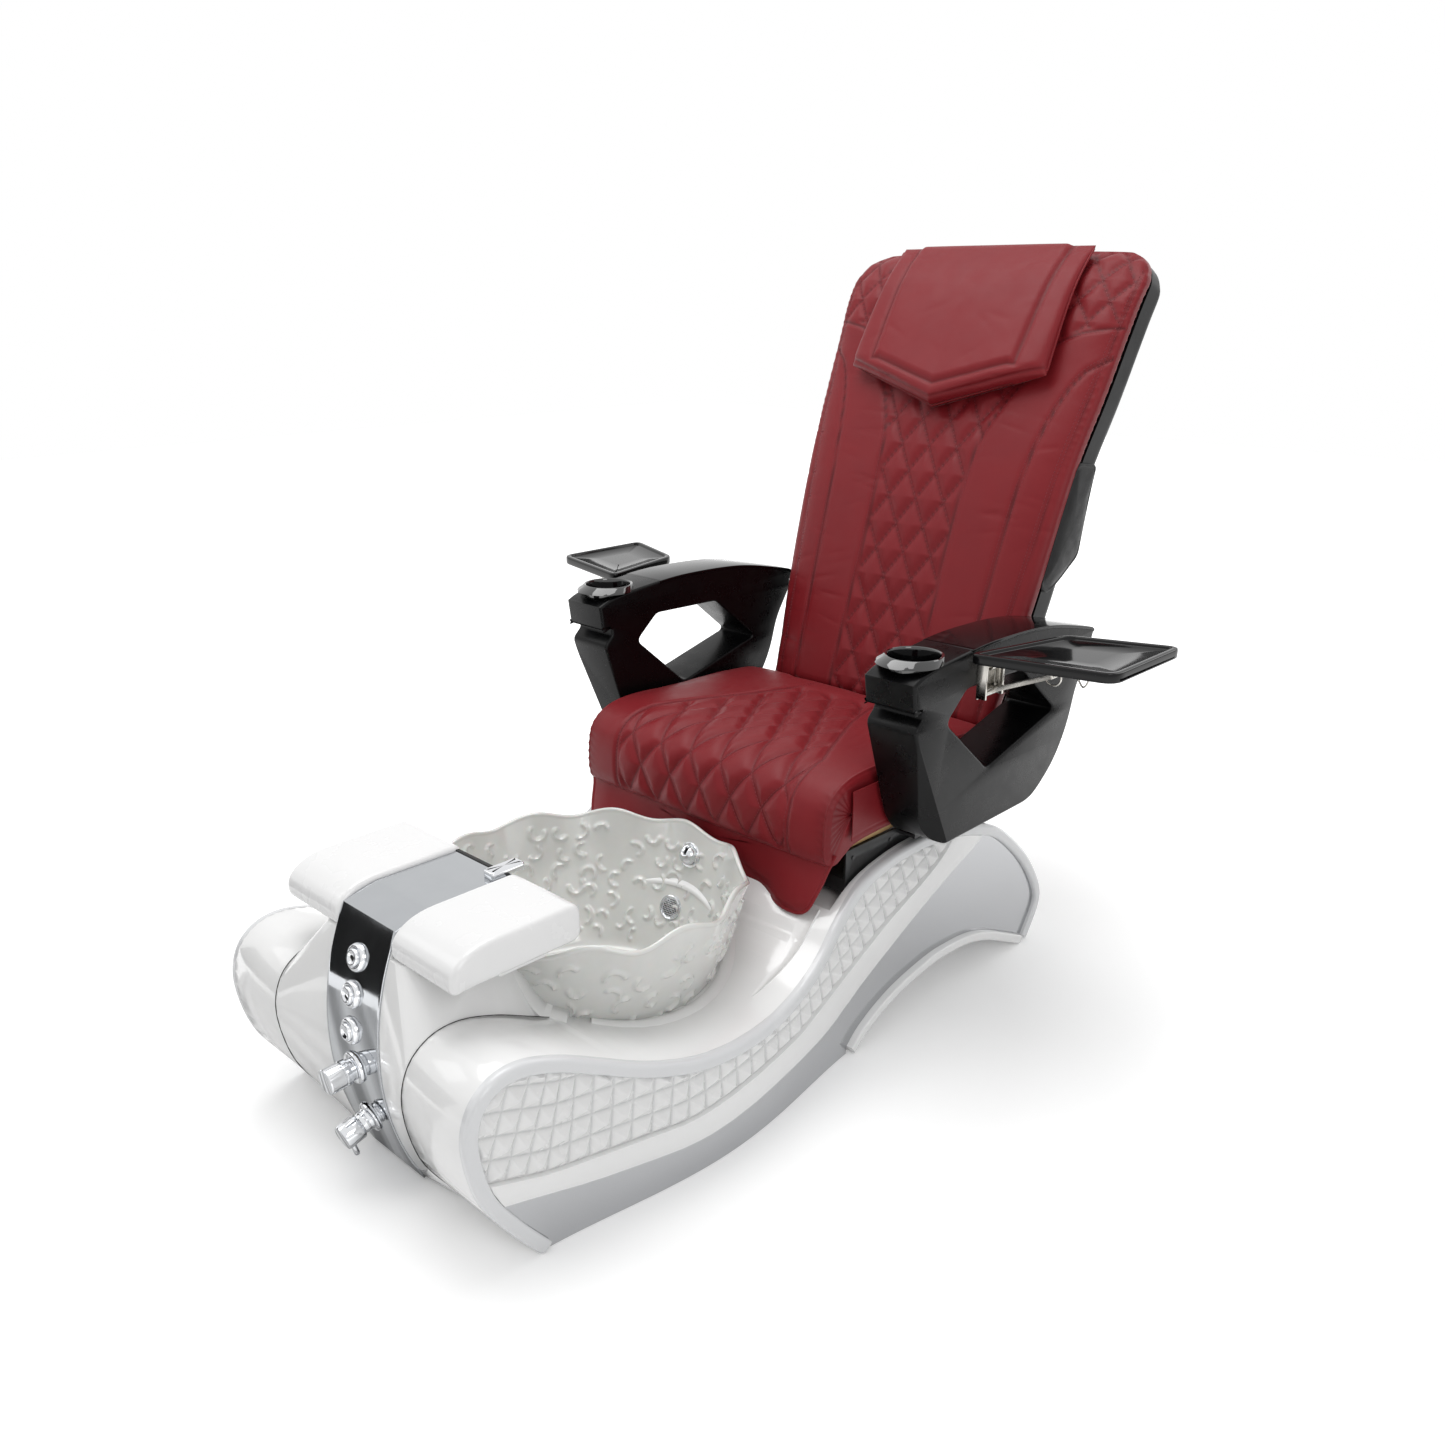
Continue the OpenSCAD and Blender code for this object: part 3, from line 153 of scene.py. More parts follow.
@dataclass(frozen=True)
class Finish:
    """One real finish.

    Attributes:
        name: the material's name.
        slot: the record's slot that the finish belongs to; not used.
        colour: main colour.
        drift: colour that the main one drifts to in soft patches.
        drift_mm: size of those patches.
        roughness: lowest and highest roughness.
        grain: kind of fine structure.
        grain_mm: its real or drawn spacing.
        grain_depth: its height in millimetres.
        metallic: 1 for bare metal.
        coat: weight of a clear gloss layer.
        sheen: weight of the soft glow at grazing view.
        crease: colour of painted shade in seams, folds, grooves and openings, mixed in by the piece's own
            attribute of that name.
        specular: share of the usual reflection of the base layer.
        under: weight of light that scatters under the surface.
    """

    name: str
    slot: str
    colour: str
    drift: str
    drift_mm: float = 120.0
    roughness: tuple[float, float] = (0.3, 0.4)
    grain: Grain = Grain.SPARK
    grain_mm: float = 1.0
    grain_depth: float = 0.02
    metallic: float = 0.0
    coat: float = 0.0
    sheen: float = 0.0
    crease: str = ""
    specular: float = 0.5
    under: float = 0.0

    def _height(self, tree: bpy.types.NodeTree, coords: bpy.types.NodeSocket) -> bpy.types.NodeSocket:
        """Builds the fine structure's height from object coordinates and returns its output."""
        per_metre = 1000.0 / self.grain_mm
        scale = tuple(per_metre * k for k in STRETCH.get(self.grain, (1.0, 1.0, 1.0)))
        scaled = add_node(tree, "Mapping", {"Scale": scale}, {"Vector": coords}).outputs[0]
        if self.grain is Grain.PEBBLE:
            sizes = {"Scale": 1.0, "Randomness": 0.9}
            cells = add_node(
                tree, "TexVoronoi", sizes, {"Vector": scaled}, feature="DISTANCE_TO_EDGE"
            ).outputs[0]
            soft = add_node(
                tree, "MapRange", {"From Max": 0.35}, {"Value": cells}, interpolation_type="SMOOTHSTEP"
            ).outputs[0]
            wide = add_node(tree, "TexNoise", {"Scale": 0.12, "Detail": 3.0}, {"Vector": scaled}).outputs[0]
            return add_node(tree, "Math", {1: 0.55}, {0: wide, 2: soft}, operation="MULTIPLY_ADD").outputs[0]
        detail = DETAIL.get(self.grain, 3.0)
        return add_node(tree, "TexNoise", {"Scale": 1.0, "Detail": detail}, {"Vector": scaled}).outputs[0]

    def build(self) -> bpy.types.Material:
        """Makes the material.

        Returns:
            The new node material.
        """
        material, tree, shader = node_material(self.name)
        for key, value in {
            "Metallic": self.metallic,
            "Coat Weight": self.coat,
            "Coat Roughness": 0.04,
            "Sheen Weight": self.sheen,
            "Sheen Roughness": 0.4,
            "Specular IOR Level": self.specular,
            "Subsurface Weight": self.under,
            "Subsurface Scale": 0.004,
        }.items():
            shader.inputs[key].default_value = value
        coords = add_node(tree, "TexCoord").outputs["Object"]
        sizes = {"Scale": 1000.0 / self.drift_mm, "Detail": 4.0, "Roughness": 0.6}
        patches = add_node(tree, "TexNoise", sizes, {"Vector": coords}).outputs[0]
        pair = {6: linear(self.colour), 7: linear(self.drift)}
        colour = add_node(tree, "Mix", pair, {0: patches}, data_type="RGBA").outputs[2]
        # Painted shade: the piece's attribute mixes the darker colour into its seams, folds, grooves and
        # openings.
        if self.crease:
            fold = add_node(tree, "Attribute", attribute_name="crease").outputs["Fac"]
            links = {0: fold, 6: colour}
            colour = add_node(tree, "Mix", {7: linear(self.crease)}, links, data_type="RGBA").outputs[2]
        tree.links.new(colour, shader.inputs["Base Color"])
        sizes = {"Scale": 3000.0 / self.drift_mm, "Detail": 5.0}
        smudge = add_node(tree, "TexNoise", sizes, {"Vector": coords}).outputs[0]
        low, high = self.roughness
        spread = {"From Min": 0.3, "From Max": 0.7, "To Min": low, "To Max": high}
        rough = add_node(tree, "MapRange", spread, {"Value": smudge}).outputs[0]
        tree.links.new(rough, shader.inputs["Roughness"])
        depth, height = {"Strength": 1.0, "Distance": self.grain_depth * MM}, self._height(tree, coords)
        bump = add_node(tree, "Bump", depth, {"Height": height}).outputs[0]
        tree.links.new(bump, shader.inputs["Normal"])
        return material


# Polyurethane leather, pressed grain about 1.4 mm (drawn at 1.8 mm so that it shows): soft satin red
# with painted shade darkening its seams and folds; it glows a little at grazing view.
LEATHER = Finish(
    "Pressed red PU leather", "leather_red", "811C22", "75181F", 90.0, (0.38, 0.48), Grain.PEBBLE, 1.8, 0.05,
    sheen=0.04, crease="45090E", specular=0.24,
)
# The sewing thread: bonded polyester, a shade darker than the leather.
THREAD = Finish(
    "Bonded polyester thread", "leather_red", "842932", "74222B", 20.0, (0.5, 0.6), Grain.BRUSHED, 0.6, 0.05
)
# Black PU leather of the pouches: the same grain, dull, with a near-black painted shade colour for seams.
BLACK_LEATHER = Finish(
    "Pressed black PU leather", "leather_black", "0F0F10", "0A0A0B", 60.0, (0.42, 0.55), Grain.PEBBLE, 1.6,
    0.06, crease="050505", specular=0.3
)
# White gelcoat over glass fibre: bright, wet-looking, with the faint ripple of a hand-laid mould.
GELCOAT = Finish(
    "White gelcoat", "base_gelcoat", "F0F0EF", "E9E9E9", 300.0, (0.14, 0.22), Grain.PEEL, 14.0, 0.03, coat=0.6
)
# Pale grey gelcoat of the rim moulding: the same gloss, a shade cooler.
RIM = Finish(
    "Pale grey gelcoat", "rim_grey", "DEDFE0", "D4D5D7", 260.0, (0.18, 0.26), Grain.PEEL, 12.0, 0.03, coat=0.5
)
# White acrylic sheet pressed into small pyramids: satin between the creases, with grey painted shade in the
# grooves.
EMBOSSED = Finish(
    "Pressed white acrylic", "embossed_panel", "EDEDEC", "E6E6E6", 80.0, (0.2, 0.3), Grain.PEEL, 6.0, 0.02,
    coat=0.35, crease="A9ABAC"
)
# Polished stainless sheet: a mirror with a very fine vertical polish.
STEEL = Finish(
    "Polished stainless sheet", "polished_steel", "BDBEC0", "B2B3B5", 400.0, (0.12, 0.2), Grain.BRUSHED, 0.9,
    0.002, metallic=1.0
)
# Bright chrome plate over brass or ABS: a clean cold mirror.
CHROME = Finish(
    "Bright chrome plate", "chrome", "E9EAEC", "DDDFE2", 200.0, (0.03, 0.07), Grain.PEEL, 30.0, 0.004,
    metallic=1.0
)
# Chromed steel sheet of the cover: a mirror with faint lines along its length.
COVER_SHEET = Finish(
    "Chromed steel sheet", "chrome", "C0C2C5", "B2B5B8", 120.0, (0.04, 0.10), Grain.ROLLED, 5.0, 0.012,
    metallic=1.0
)
# Chrome plate over ABS, with black painted shade in its slot and holes that stands in for the dark openings
# behind them.
JET_CHROME_WITH_PAINTED_SHADE = Finish(
    "Chrome plate with painted shade in its openings", "chrome", "DCDEE1", "CFD2D5", 200.0, (0.04, 0.09), Grain.PEEL, 30.0,
    0.004, metallic=1.0,
    crease="0A0A0B",
)
# Nickel-plated pressed steel: a warmer, duller mirror than chrome.
NICKEL = Finish(
    "Nickel plate", "nickel", "C9C6C0", "B5B2AC", 30.0, (0.16, 0.28), Grain.BRUSHED, 0.8, 0.004, metallic=1.0
)
# Poured resin of the bowl with pearl pigment: milky, glossy, faintly warm.
PEARL = Finish(
    "Pearl resin", "bowl_pearl", "E1E1DE", "D2D3CF", 50.0, (0.10, 0.18), Grain.CAST, 9.0, 0.05, coat=0.9,
    under=0.12
)
# Foamed polyurethane skin of the foot pads: white with a soft gloss.
PAD = Finish(
    "White integral-skin foam", "pad_pu", "EDEDED", "E8E8E8", 160.0, (0.22, 0.3), Grain.PEEL, 10.0, 0.01,
    coat=0.4
)
# Satin black ABS of the armrests: fine spark texture, dark with a soft edge light.
SATIN_BLACK = Finish(
    "Satin black ABS", "arm_satin", "0A0A0B", "070708", 90.0, (0.24, 0.34), Grain.SPARK, 0.8, 0.015,
    specular=0.17
)
# Piano-black acrylic: deep black with a sharp clear coat.
GLOSS_BLACK = Finish(
    "Gloss black acrylic", "gloss_black", "080809", "0B0B0C", 200.0, (0.06, 0.11), Grain.PEEL, 25.0, 0.006,
    coat=0.06, specular=0.22
)
# Polished black liner of the cup holders: wet-looking, with bright edges.
CUP_BLACK = Finish(
    "Polished black ABS", "gloss_black", "070708", "050506", 60.0, (0.05, 0.09), Grain.PEEL, 20.0, 0.01,
    coat=1.0, specular=0.6
)
# Moulded black shell behind the back: satin with the same spark texture, a shade lighter.
SHELL_BLACK = Finish(
    "Satin black shell", "shell_black", "0B0C0D", "08090A", 120.0, (0.30, 0.42), Grain.SPARK, 0.9, 0.02,
    specular=0.2
)
# Powder-coated steel of the seat frame: black, with the coat's small ripple.
POWDER = Finish(
    "Black powder coat", "frame_steel", "0F1011", "151617", 40.0, (0.36, 0.5), Grain.PEEL, 1.6, 0.03
)
# Zinc-plated steel of rails, screws and guides: dull grey metal.
ZINC = Finish(
    "Zinc-plated steel", "rail_steel", "9FA2A4", "8A8D90", 25.0, (0.3, 0.45), Grain.BRUSHED, 0.7, 0.004,
    metallic=1.0
)
# Dark cast housing of motors and the pump.
PUMP = Finish("Dark cast housing", "pump_body", "3A3D40", "2E3134", 50.0, (0.4, 0.55), Grain.SPARK, 0.8, 0.04)
# Natural rubber of feet, seals and rollers.
RUBBER = Finish("Black rubber", "rubber_black", "161616", "1E1E1E", 30.0, (0.55, 0.7), Grain.SPARK, 0.6, 0.03)
# Turned brass of the valve bodies.
BRASS = Finish(
    "Turned brass", "brass", "B9924A", "A27C38", 20.0, (0.2, 0.35), Grain.BRUSHED, 0.6, 0.004, metallic=1.0
)
# Cross-linked polyethylene water tubes.
PEX = Finish("Milky PEX tube", "pipe_pex", "D9D4C4", "CBC5B3", 40.0, (0.35, 0.45), Grain.PEEL, 4.0, 0.02)
# Grey PVC of the waste pipe.
PVC = Finish("Grey PVC pipe", "pipe_dark", "5A5D60", "4C4F52", 40.0, (0.4, 0.5), Grain.PEEL, 3.0, 0.02)
# Birch plywood of the seat board.
PLY = Finish("Birch plywood", "plywood", "C9A877", "B08D5C", 12.0, (0.5, 0.65), Grain.PLY, 1.2, 0.08)

FINISHES: dict[str, bpy.types.Material] = {}


def material_of(finish: Finish) -> bpy.types.Material:
    """Returns the finish's material, made on first use."""
    if finish.name not in FINISHES:
        FINISHES[finish.name] = finish.build()
    return FINISHES[finish.name]


# ---- Curves ------------------------------------------------------------------------------------


def smooth_line(points: Sequence[Sequence[float]], steps: int = 12) -> Array:
    """Carries a Catmull-Rom curve through points.

    Each span is half of 2b + (c-a)t + (2a-5b+4c-d)t^2 + (3b-a-3c+d)t^3 for its four nearest points.

    Args:
        points: the points to pass.
        steps: parts to a span.

    Returns:
        The curve's points.
    """
    p = np.asarray(points, float)
    last = len(p) - 1
    i = np.repeat(np.arange(last), steps)
    t = np.tile(np.arange(steps) / steps, last)[:, None]
    a, b = p[np.maximum(i - 1, 0)], p[i]
    c, d = p[i + 1], p[np.minimum(i + 2, last)]
    curve = 0.5 * (2 * b + (c - a) * t + (2 * a - 5 * b + 4 * c - d) * t**2 + (3 * b - a - 3 * c + d) * t**3)
    return np.vstack([curve, p[-1:]])


def unit(vectors: Array) -> Array:
    """Vectors along the last axis brought to length 1."""
    return vectors / np.maximum(np.linalg.norm(vectors, axis=-1, keepdims=True), 1e-9)


def tangents(line: Array, closed: bool = False) -> Array:
    """Unit tangents of a line by central differences."""
    return unit(np.roll(line, -1, 0) - np.roll(line, 1, 0) if closed else np.gradient(line, axis=0))


def right_of(line: Array, closed: bool = False) -> Array:
    """Unit vectors to the right of a plane line's direction."""
    t = tangents(line, closed)
    return np.stack([t[:, 1], -t[:, 0]], 1)


def lengths(line: Array) -> Array:
    """Length run along a line at each of its points."""
    return np.concatenate([[0], np.cumsum(np.linalg.norm(np.diff(line, axis=0), axis=1))])


def sample(at: Array, run: Array, points: Array) -> Array:
    """Reads points that lie at the lengths in run at other lengths."""
    return np.stack([np.interp(at, run, points[:, k]) for k in range(points.shape[1])], 1)


def evenly(line: Array, count: int, closed: bool = False) -> Array:
    """Places count points at equal steps of length along a line, or round a closed outline."""
    if closed:
        return evenly(np.vstack([line, line[:1]]), count + 1)[:-1]
    run = lengths(line)
    return sample(np.linspace(0, run[-1], count), run, line)


def second_at(first: Array, line: Array, **ends: float) -> Array:
    """Second coordinate of a plane line where its first one has these values."""
    return np.interp(first, line[:, 0], line[:, 1], **ends)


def turn_angles(count: int) -> Array:
    """Angles of so many equal parts of a full turn."""
    return np.arange(count) * 2 * math.pi / count


def rounded_polygon(
    corners: Sequence[Sequence[float]], radius: Sequence[float] | float, steps: int = 6
) -> Array:
    """Rounds the corners of a closed polygon with quadratic arcs.

    Each corner c becomes (1-t)^2 p + 2t(1-t)c + t^2 q, where p and q lie on its two edges.

    Args:
        corners: the corner points in order.
        radius: how far from each corner the arc begins, or one value for all.
        steps: parts to an arc.

    Returns:
        The closed outline, without its first point repeated.
    """
    c = np.asarray(corners, float)
    r = np.broadcast_to(np.asarray(radius, float), len(c))[:, None]
    before, after = np.roll(c, 1, 0) - c, np.roll(c, -1, 0) - c
    lb, la = np.linalg.norm(before, axis=1, keepdims=True), np.linalg.norm(after, axis=1, keepdims=True)
    p = c + before / lb * np.minimum(r, 0.48 * lb)
    q = c + after / la * np.minimum(r, 0.48 * la)
    t = (np.arange(steps + 1) / steps)[None, :, None]
    arcs = (1 - t) ** 2 * p[:, None] + 2 * t * (1 - t) * c[:, None] + t**2 * q[:, None]
    return arcs.reshape(-1, c.shape[1])


def smoothstep(low: float, high: float, x: Array) -> Array:
    """0 below low, 1 above high and a smooth cubic between them."""
    t = np.clip((x - low) / (high - low), 0, 1)
    return t * t * (3 - 2 * t)


def round_end(u: Array, power: float) -> Array:
    """Rises round from 0 at u = 0 to 1 at u = 1, as the root of 1 - (1 - u)^power."""
    return np.sqrt(1 - (1 - np.clip(u, 0, 1)) ** power)


def segment_distance(x: Array, y: Array, line: Array) -> Array:
    """Least distance of each point (x, y) to a broken line."""
    best = np.full(np.shape(x), 1e9)
    for (ax, ay), (bx, by) in zip(line[:-1], line[1:]):
        dx, dy = bx - ax, by - ay
        t = np.clip(((x - ax) * dx + (y - ay) * dy) / max(dx * dx + dy * dy, 1e-9), 0, 1)
        best = np.minimum(best, np.hypot(x - ax - t * dx, y - ay - t * dy))
    return best


def inside_polygon(x: Array, y: Array, polygon: Array) -> Array:
    """Even-odd test of points against a closed polygon."""
    inside = np.zeros(np.shape(x), bool)
    for (ax, ay), (bx, by) in zip(polygon, np.roll(polygon, -1, 0)):
        if ay != by:
            inside ^= ((ay > y) != (by > y)) & (x < (bx - ax) * (y - ay) / (by - ay) + ax)
    return inside


# ---- Meshes ------------------------------------------------------------------------------------


def grid_faces(rows: int, columns: int, closed: bool = False) -> Array:
    """Quads of a grid whose vertex (i, j) has number i * columns + j, closed round its columns or not."""
    i = np.arange(rows - 1)[:, None] * columns
    j = np.arange(columns if closed else columns - 1)[None, :]
    after = (j + 1) % columns
    return np.stack([i + j, i + columns + j, i + columns + after, i + after], -1).reshape(-1, 4)


def cap_fans(rows: int, columns: int) -> Array:
    """Triangles from the two end points, numbered after the grid's own, to its first and last rows."""
    end = rows * columns
    j = np.arange(columns)
    k = (j + 1) % columns
    first = np.stack([np.full(columns, end), j, k], 1)
    last = np.stack([np.full(columns, end + 1), end - columns + k, end - columns + j], 1)
    return np.vstack([first, last])


def linked(name: str, data: bpy.types.ID) -> bpy.types.Object:
    """Makes an object of its data and links it to the scene."""
    obj = bpy.data.objects.new(name, data)
    bpy.context.scene.collection.objects.link(obj)
    return obj


def evaluated(obj: bpy.types.Object) -> bpy.types.Object:
    """The object with its modifiers at work."""
    return obj.evaluated_get(bpy.context.evaluated_depsgraph_get())


def turn_out(mesh: bpy.types.Mesh, merge: bool = True, dissolve: bool = True) -> None:
    """Merges doubles, dissolves faces without area and turns the faces outwards."""
    work = bmesh.new()
    work.from_mesh(mesh)
    if merge:
        bmesh.ops.remove_doubles(work, verts=work.verts, dist=MERGE_M)
    if dissolve:
        bmesh.ops.dissolve_degenerate(work, edges=work.edges, dist=DISSOLVE_M)
    bmesh.ops.recalc_face_normals(work, faces=work.faces)
    work.to_mesh(mesh)
    work.free()


def shade(mesh: bpy.types.Mesh, angle: float) -> None:
    """Shades a mesh smoothly but for edges sharper than this many degrees."""
    mesh.polygons.foreach_set("use_smooth", [True] * len(mesh.polygons))
    mesh.set_sharp_from_angle(angle=math.radians(angle))


def make_object(
    name: str, points: Array, faces: Sequence | Array, angle: float = 40.0, crease: Array | None = None,
    tidy: bool = True
) -> bpy.types.Object:
    """Puts points and faces into a mesh object at the origin.

    Args:
        name: object name.
        points: vertices in millimetres.
        faces: vertex numbers of each face.
        angle: edges sharper than this many degrees stay sharp.
        crease: share of painted shade at each vertex, kept as an attribute of that name.
        tidy: whether doubles are merged and the faces turned outwards.

    Returns:
        The object, linked to the scene.
    """
    mesh = bpy.data.meshes.new(name)
    mesh.from_pydata(
        (np.asarray(points, float).reshape(-1, 3) * MM).tolist(), [], [list(map(int, f)) for f in faces]
    )
    if crease is not None:
        layer = mesh.attributes.new("crease", "FLOAT", "POINT")
        layer.data.foreach_set("value", np.clip(np.ravel(crease), 0, 1).astype(np.float32))
    if tidy:
        turn_out(mesh)
    shade(mesh, angle)
    mesh.update()
    return linked(name, mesh)


def tube(name: str, grid: Array, ends: bool = True, **options: object) -> bpy.types.Object:
    """Closes a grid round its columns and caps its first and last rows.

    Args:
        name: object name.
        grid: points (rows, columns, 3), periodic in its columns.
        ends: whether both ends get a cap.
        options: what make_object takes.

    Returns:
        The object.
    """
    size = grid.shape[:2]
    points = grid.reshape(-1, 3)
    faces = grid_faces(*size, closed=True).tolist()
    crease = options.pop("crease", None)
    if ends:
        points = np.vstack([points, grid[0].mean(0), grid[-1].mean(0)])
        faces += cap_fans(*size).tolist()
        if crease is not None:
            crease = np.concatenate([np.ravel(crease), [0, 0]])
    return make_object(name, points, faces, crease=crease, **options)


def slab(name: str, front: Array, depth: Sequence[float], **options: object) -> bpy.types.Object:
    """Makes a closed plate from the grid of its front face and a vector to its back face."""
    rows, columns = front.shape[:2]
    back = front + np.asarray(depth, float)
    n = rows * columns
    quads, number = grid_faces(rows, columns), np.arange(n).reshape(rows, columns)
    ring = np.concatenate([number[0], number[1:, -1], number[-1, -2::-1], number[-2:0:-1, 0]])
    after = np.roll(ring, -1)
    wall = np.stack([ring, after, after + n, ring + n], 1)
    faces = np.vstack([quads, quads[:, ::-1] + n, wall])
    return make_object(name, np.vstack([front.reshape(-1, 3), back.reshape(-1, 3)]), faces, **options)


@dataclass(frozen=True)
class Place:
    """A frame on the object: an origin and three unit axes."""

    origin: tuple[float, float, float]
    x: tuple[float, float, float]
    y: tuple[float, float, float]
    z: tuple[float, float, float]

    def put(self, points: Array) -> Array:
        """Moves points from this frame to the object's."""
        return np.asarray(self.origin, float) + points @ np.array([self.x, self.y, self.z], float)


def upright(x: float, y: float) -> Place:
    """The object's own frame, moved to (x, y) on the floor."""
    return Place((x, y, 0), (1, 0, 0), (0, 1, 0), (0, 0, 1))


def lathe(profile: Sequence[Sequence[float]], place: Place, around: int = 64) -> Array:
    """Turns a profile of (radius, height) about a frame's third axis.

    Args:
        profile: the outline, from one end of the axis to the other.
        place: the frame.
        around: parts of the turn.

    Returns:
        The points (rows, around, 3) on the object.
    """
    p, a = np.asarray(profile, float), turn_angles(around)
    ring = np.stack([np.cos(a), np.sin(a), np.zeros(around)], 1)
    return place.put(p[:, None, :1] * ring[None] + p[:, None, 1:] * np.array([0, 0, 1.0]))


def joined(parts: Sequence[tuple[Array, Array]]) -> tuple[Array, Array]:
    """Joins (points, quads) lists into one."""
    start, points, faces = 0, [], []
    for p, f in parts:
        points.append(p.reshape(-1, 3))
        faces.append(f + start)
        start += len(points[-1])
    return np.vstack(points), np.vstack(faces)


def turned(
    name: str, profiles: Sequence[tuple[Sequence[Sequence[float]], Place]], around: int = 64,
    **options: object
) -> bpy.types.Object:
    """Makes one object of several turned shapes, each closed at the axis by its own profile."""
    parts = [(lathe(p, place, around), grid_faces(len(p), around, closed=True)) for p, place in profiles]
    return make_object(name, *joined(parts), **options)


def wire(name: str, path: Array, radius: float, around: int = 8, **options: object) -> bpy.types.Object:
    """Carries a circle along a path in space, upright to the path and to the longest way across it.

    Args:
        name: object name.
        path: the points of the middle line.
        radius: radius of the circle.
        around: points round the circle.
        options: what make_object takes.

    Returns:
        The object.
    """
    t = tangents(path)
    aside = unit(np.cross(t, np.eye(3)[int(np.argmin(np.abs(t).max(0)))]))
    up = np.cross(aside, t)
    b = turn_angles(around)[None, :, None]
    return tube(
        name, path[:, None] + radius * (np.cos(b) * aside[:, None] + np.sin(b) * up[:, None]), **options
    )


def offset_loops(outline: Array, steps: Sequence[tuple[float, float]]) -> Array:
    """Stacks copies of a closed outline, each moved inwards by d and lifted to z.

    Args:
        outline: closed plane outline, anticlockwise.
        steps: pairs of inward distance and height.

    Returns:
        Points (steps, outline, 3).
    """
    inward = -right_of(outline, closed=True)
    return np.stack([np.column_stack([outline + d * inward, np.full(len(outline), z)]) for d, z in steps])


def cut(obj: bpy.types.Object, tools: Sequence[bpy.types.Object]) -> None:
    """Cuts the tools out of a piece and removes them."""
    for tool in tools:
        step = obj.modifiers.new("Cut", "BOOLEAN")
        step.operation, step.solver, step.object = "DIFFERENCE", "EXACT", tool
    bpy.context.view_layer.update()
    mesh = bpy.data.meshes.new_from_object(evaluated(obj))
    obj.modifiers.clear()
    obj.data = mesh
    shade(mesh, CUT_ANGLE)
    for tool in tools:
        bpy.data.objects.remove(tool)


def fit(
    obj: bpy.types.Object, body: str, finish: Finish, nodes: Sequence[str] = ()
) -> bpy.types.Object:
    """Gives a new piece its finish, its body and the solids it stands for.

    Args:
        obj: the piece.
        body: the CAD body it rides on.
        finish: its finish.
        nodes: the CAD nodes it replaces.

    Returns:
        The same piece.
    """
    obj.data.materials.clear()
    obj.data.materials.append(material_of(finish))
    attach(obj, body)
    if nodes:
        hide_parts(*nodes)
    LOG.info("%s on %s: %d faces", obj.name, body, len(obj.data.polygons))
    return obj


def dress(node: str, finish: Finish, round_mm: float) -> None:
    """Gives a CAD node its finish and smooth shading, and rounds its edges where asked.

    Args:
        node: the node's name.
        finish: its finish.
        round_mm: width of the rounded edge, or 0.
    """
    obj = FRAME["nodes"][node]
    obj.data.materials.clear()
    obj.data.materials.append(material_of(finish))
    obj.data.polygons.foreach_set("use_smooth", [True] * len(obj.data.polygons))
    weld = obj.modifiers.new("Weld", "WELD")
    weld.merge_threshold = 1e-5
    if round_mm:
        bevel = obj.modifiers.new("Rounded edges", "BEVEL")
        bevel.width = round_mm * MM
        bevel.segments = 2
        bevel.limit_method = "ANGLE"
        bevel.angle_limit = math.radians(40)
    split = obj.modifiers.new("Sharp edges", "EDGE_SPLIT")
    split.split_angle = math.radians(35)
    split.use_edge_sharp = False


FRAME: dict = {}


# ---- Base --------------------------------------------------------------------------------------


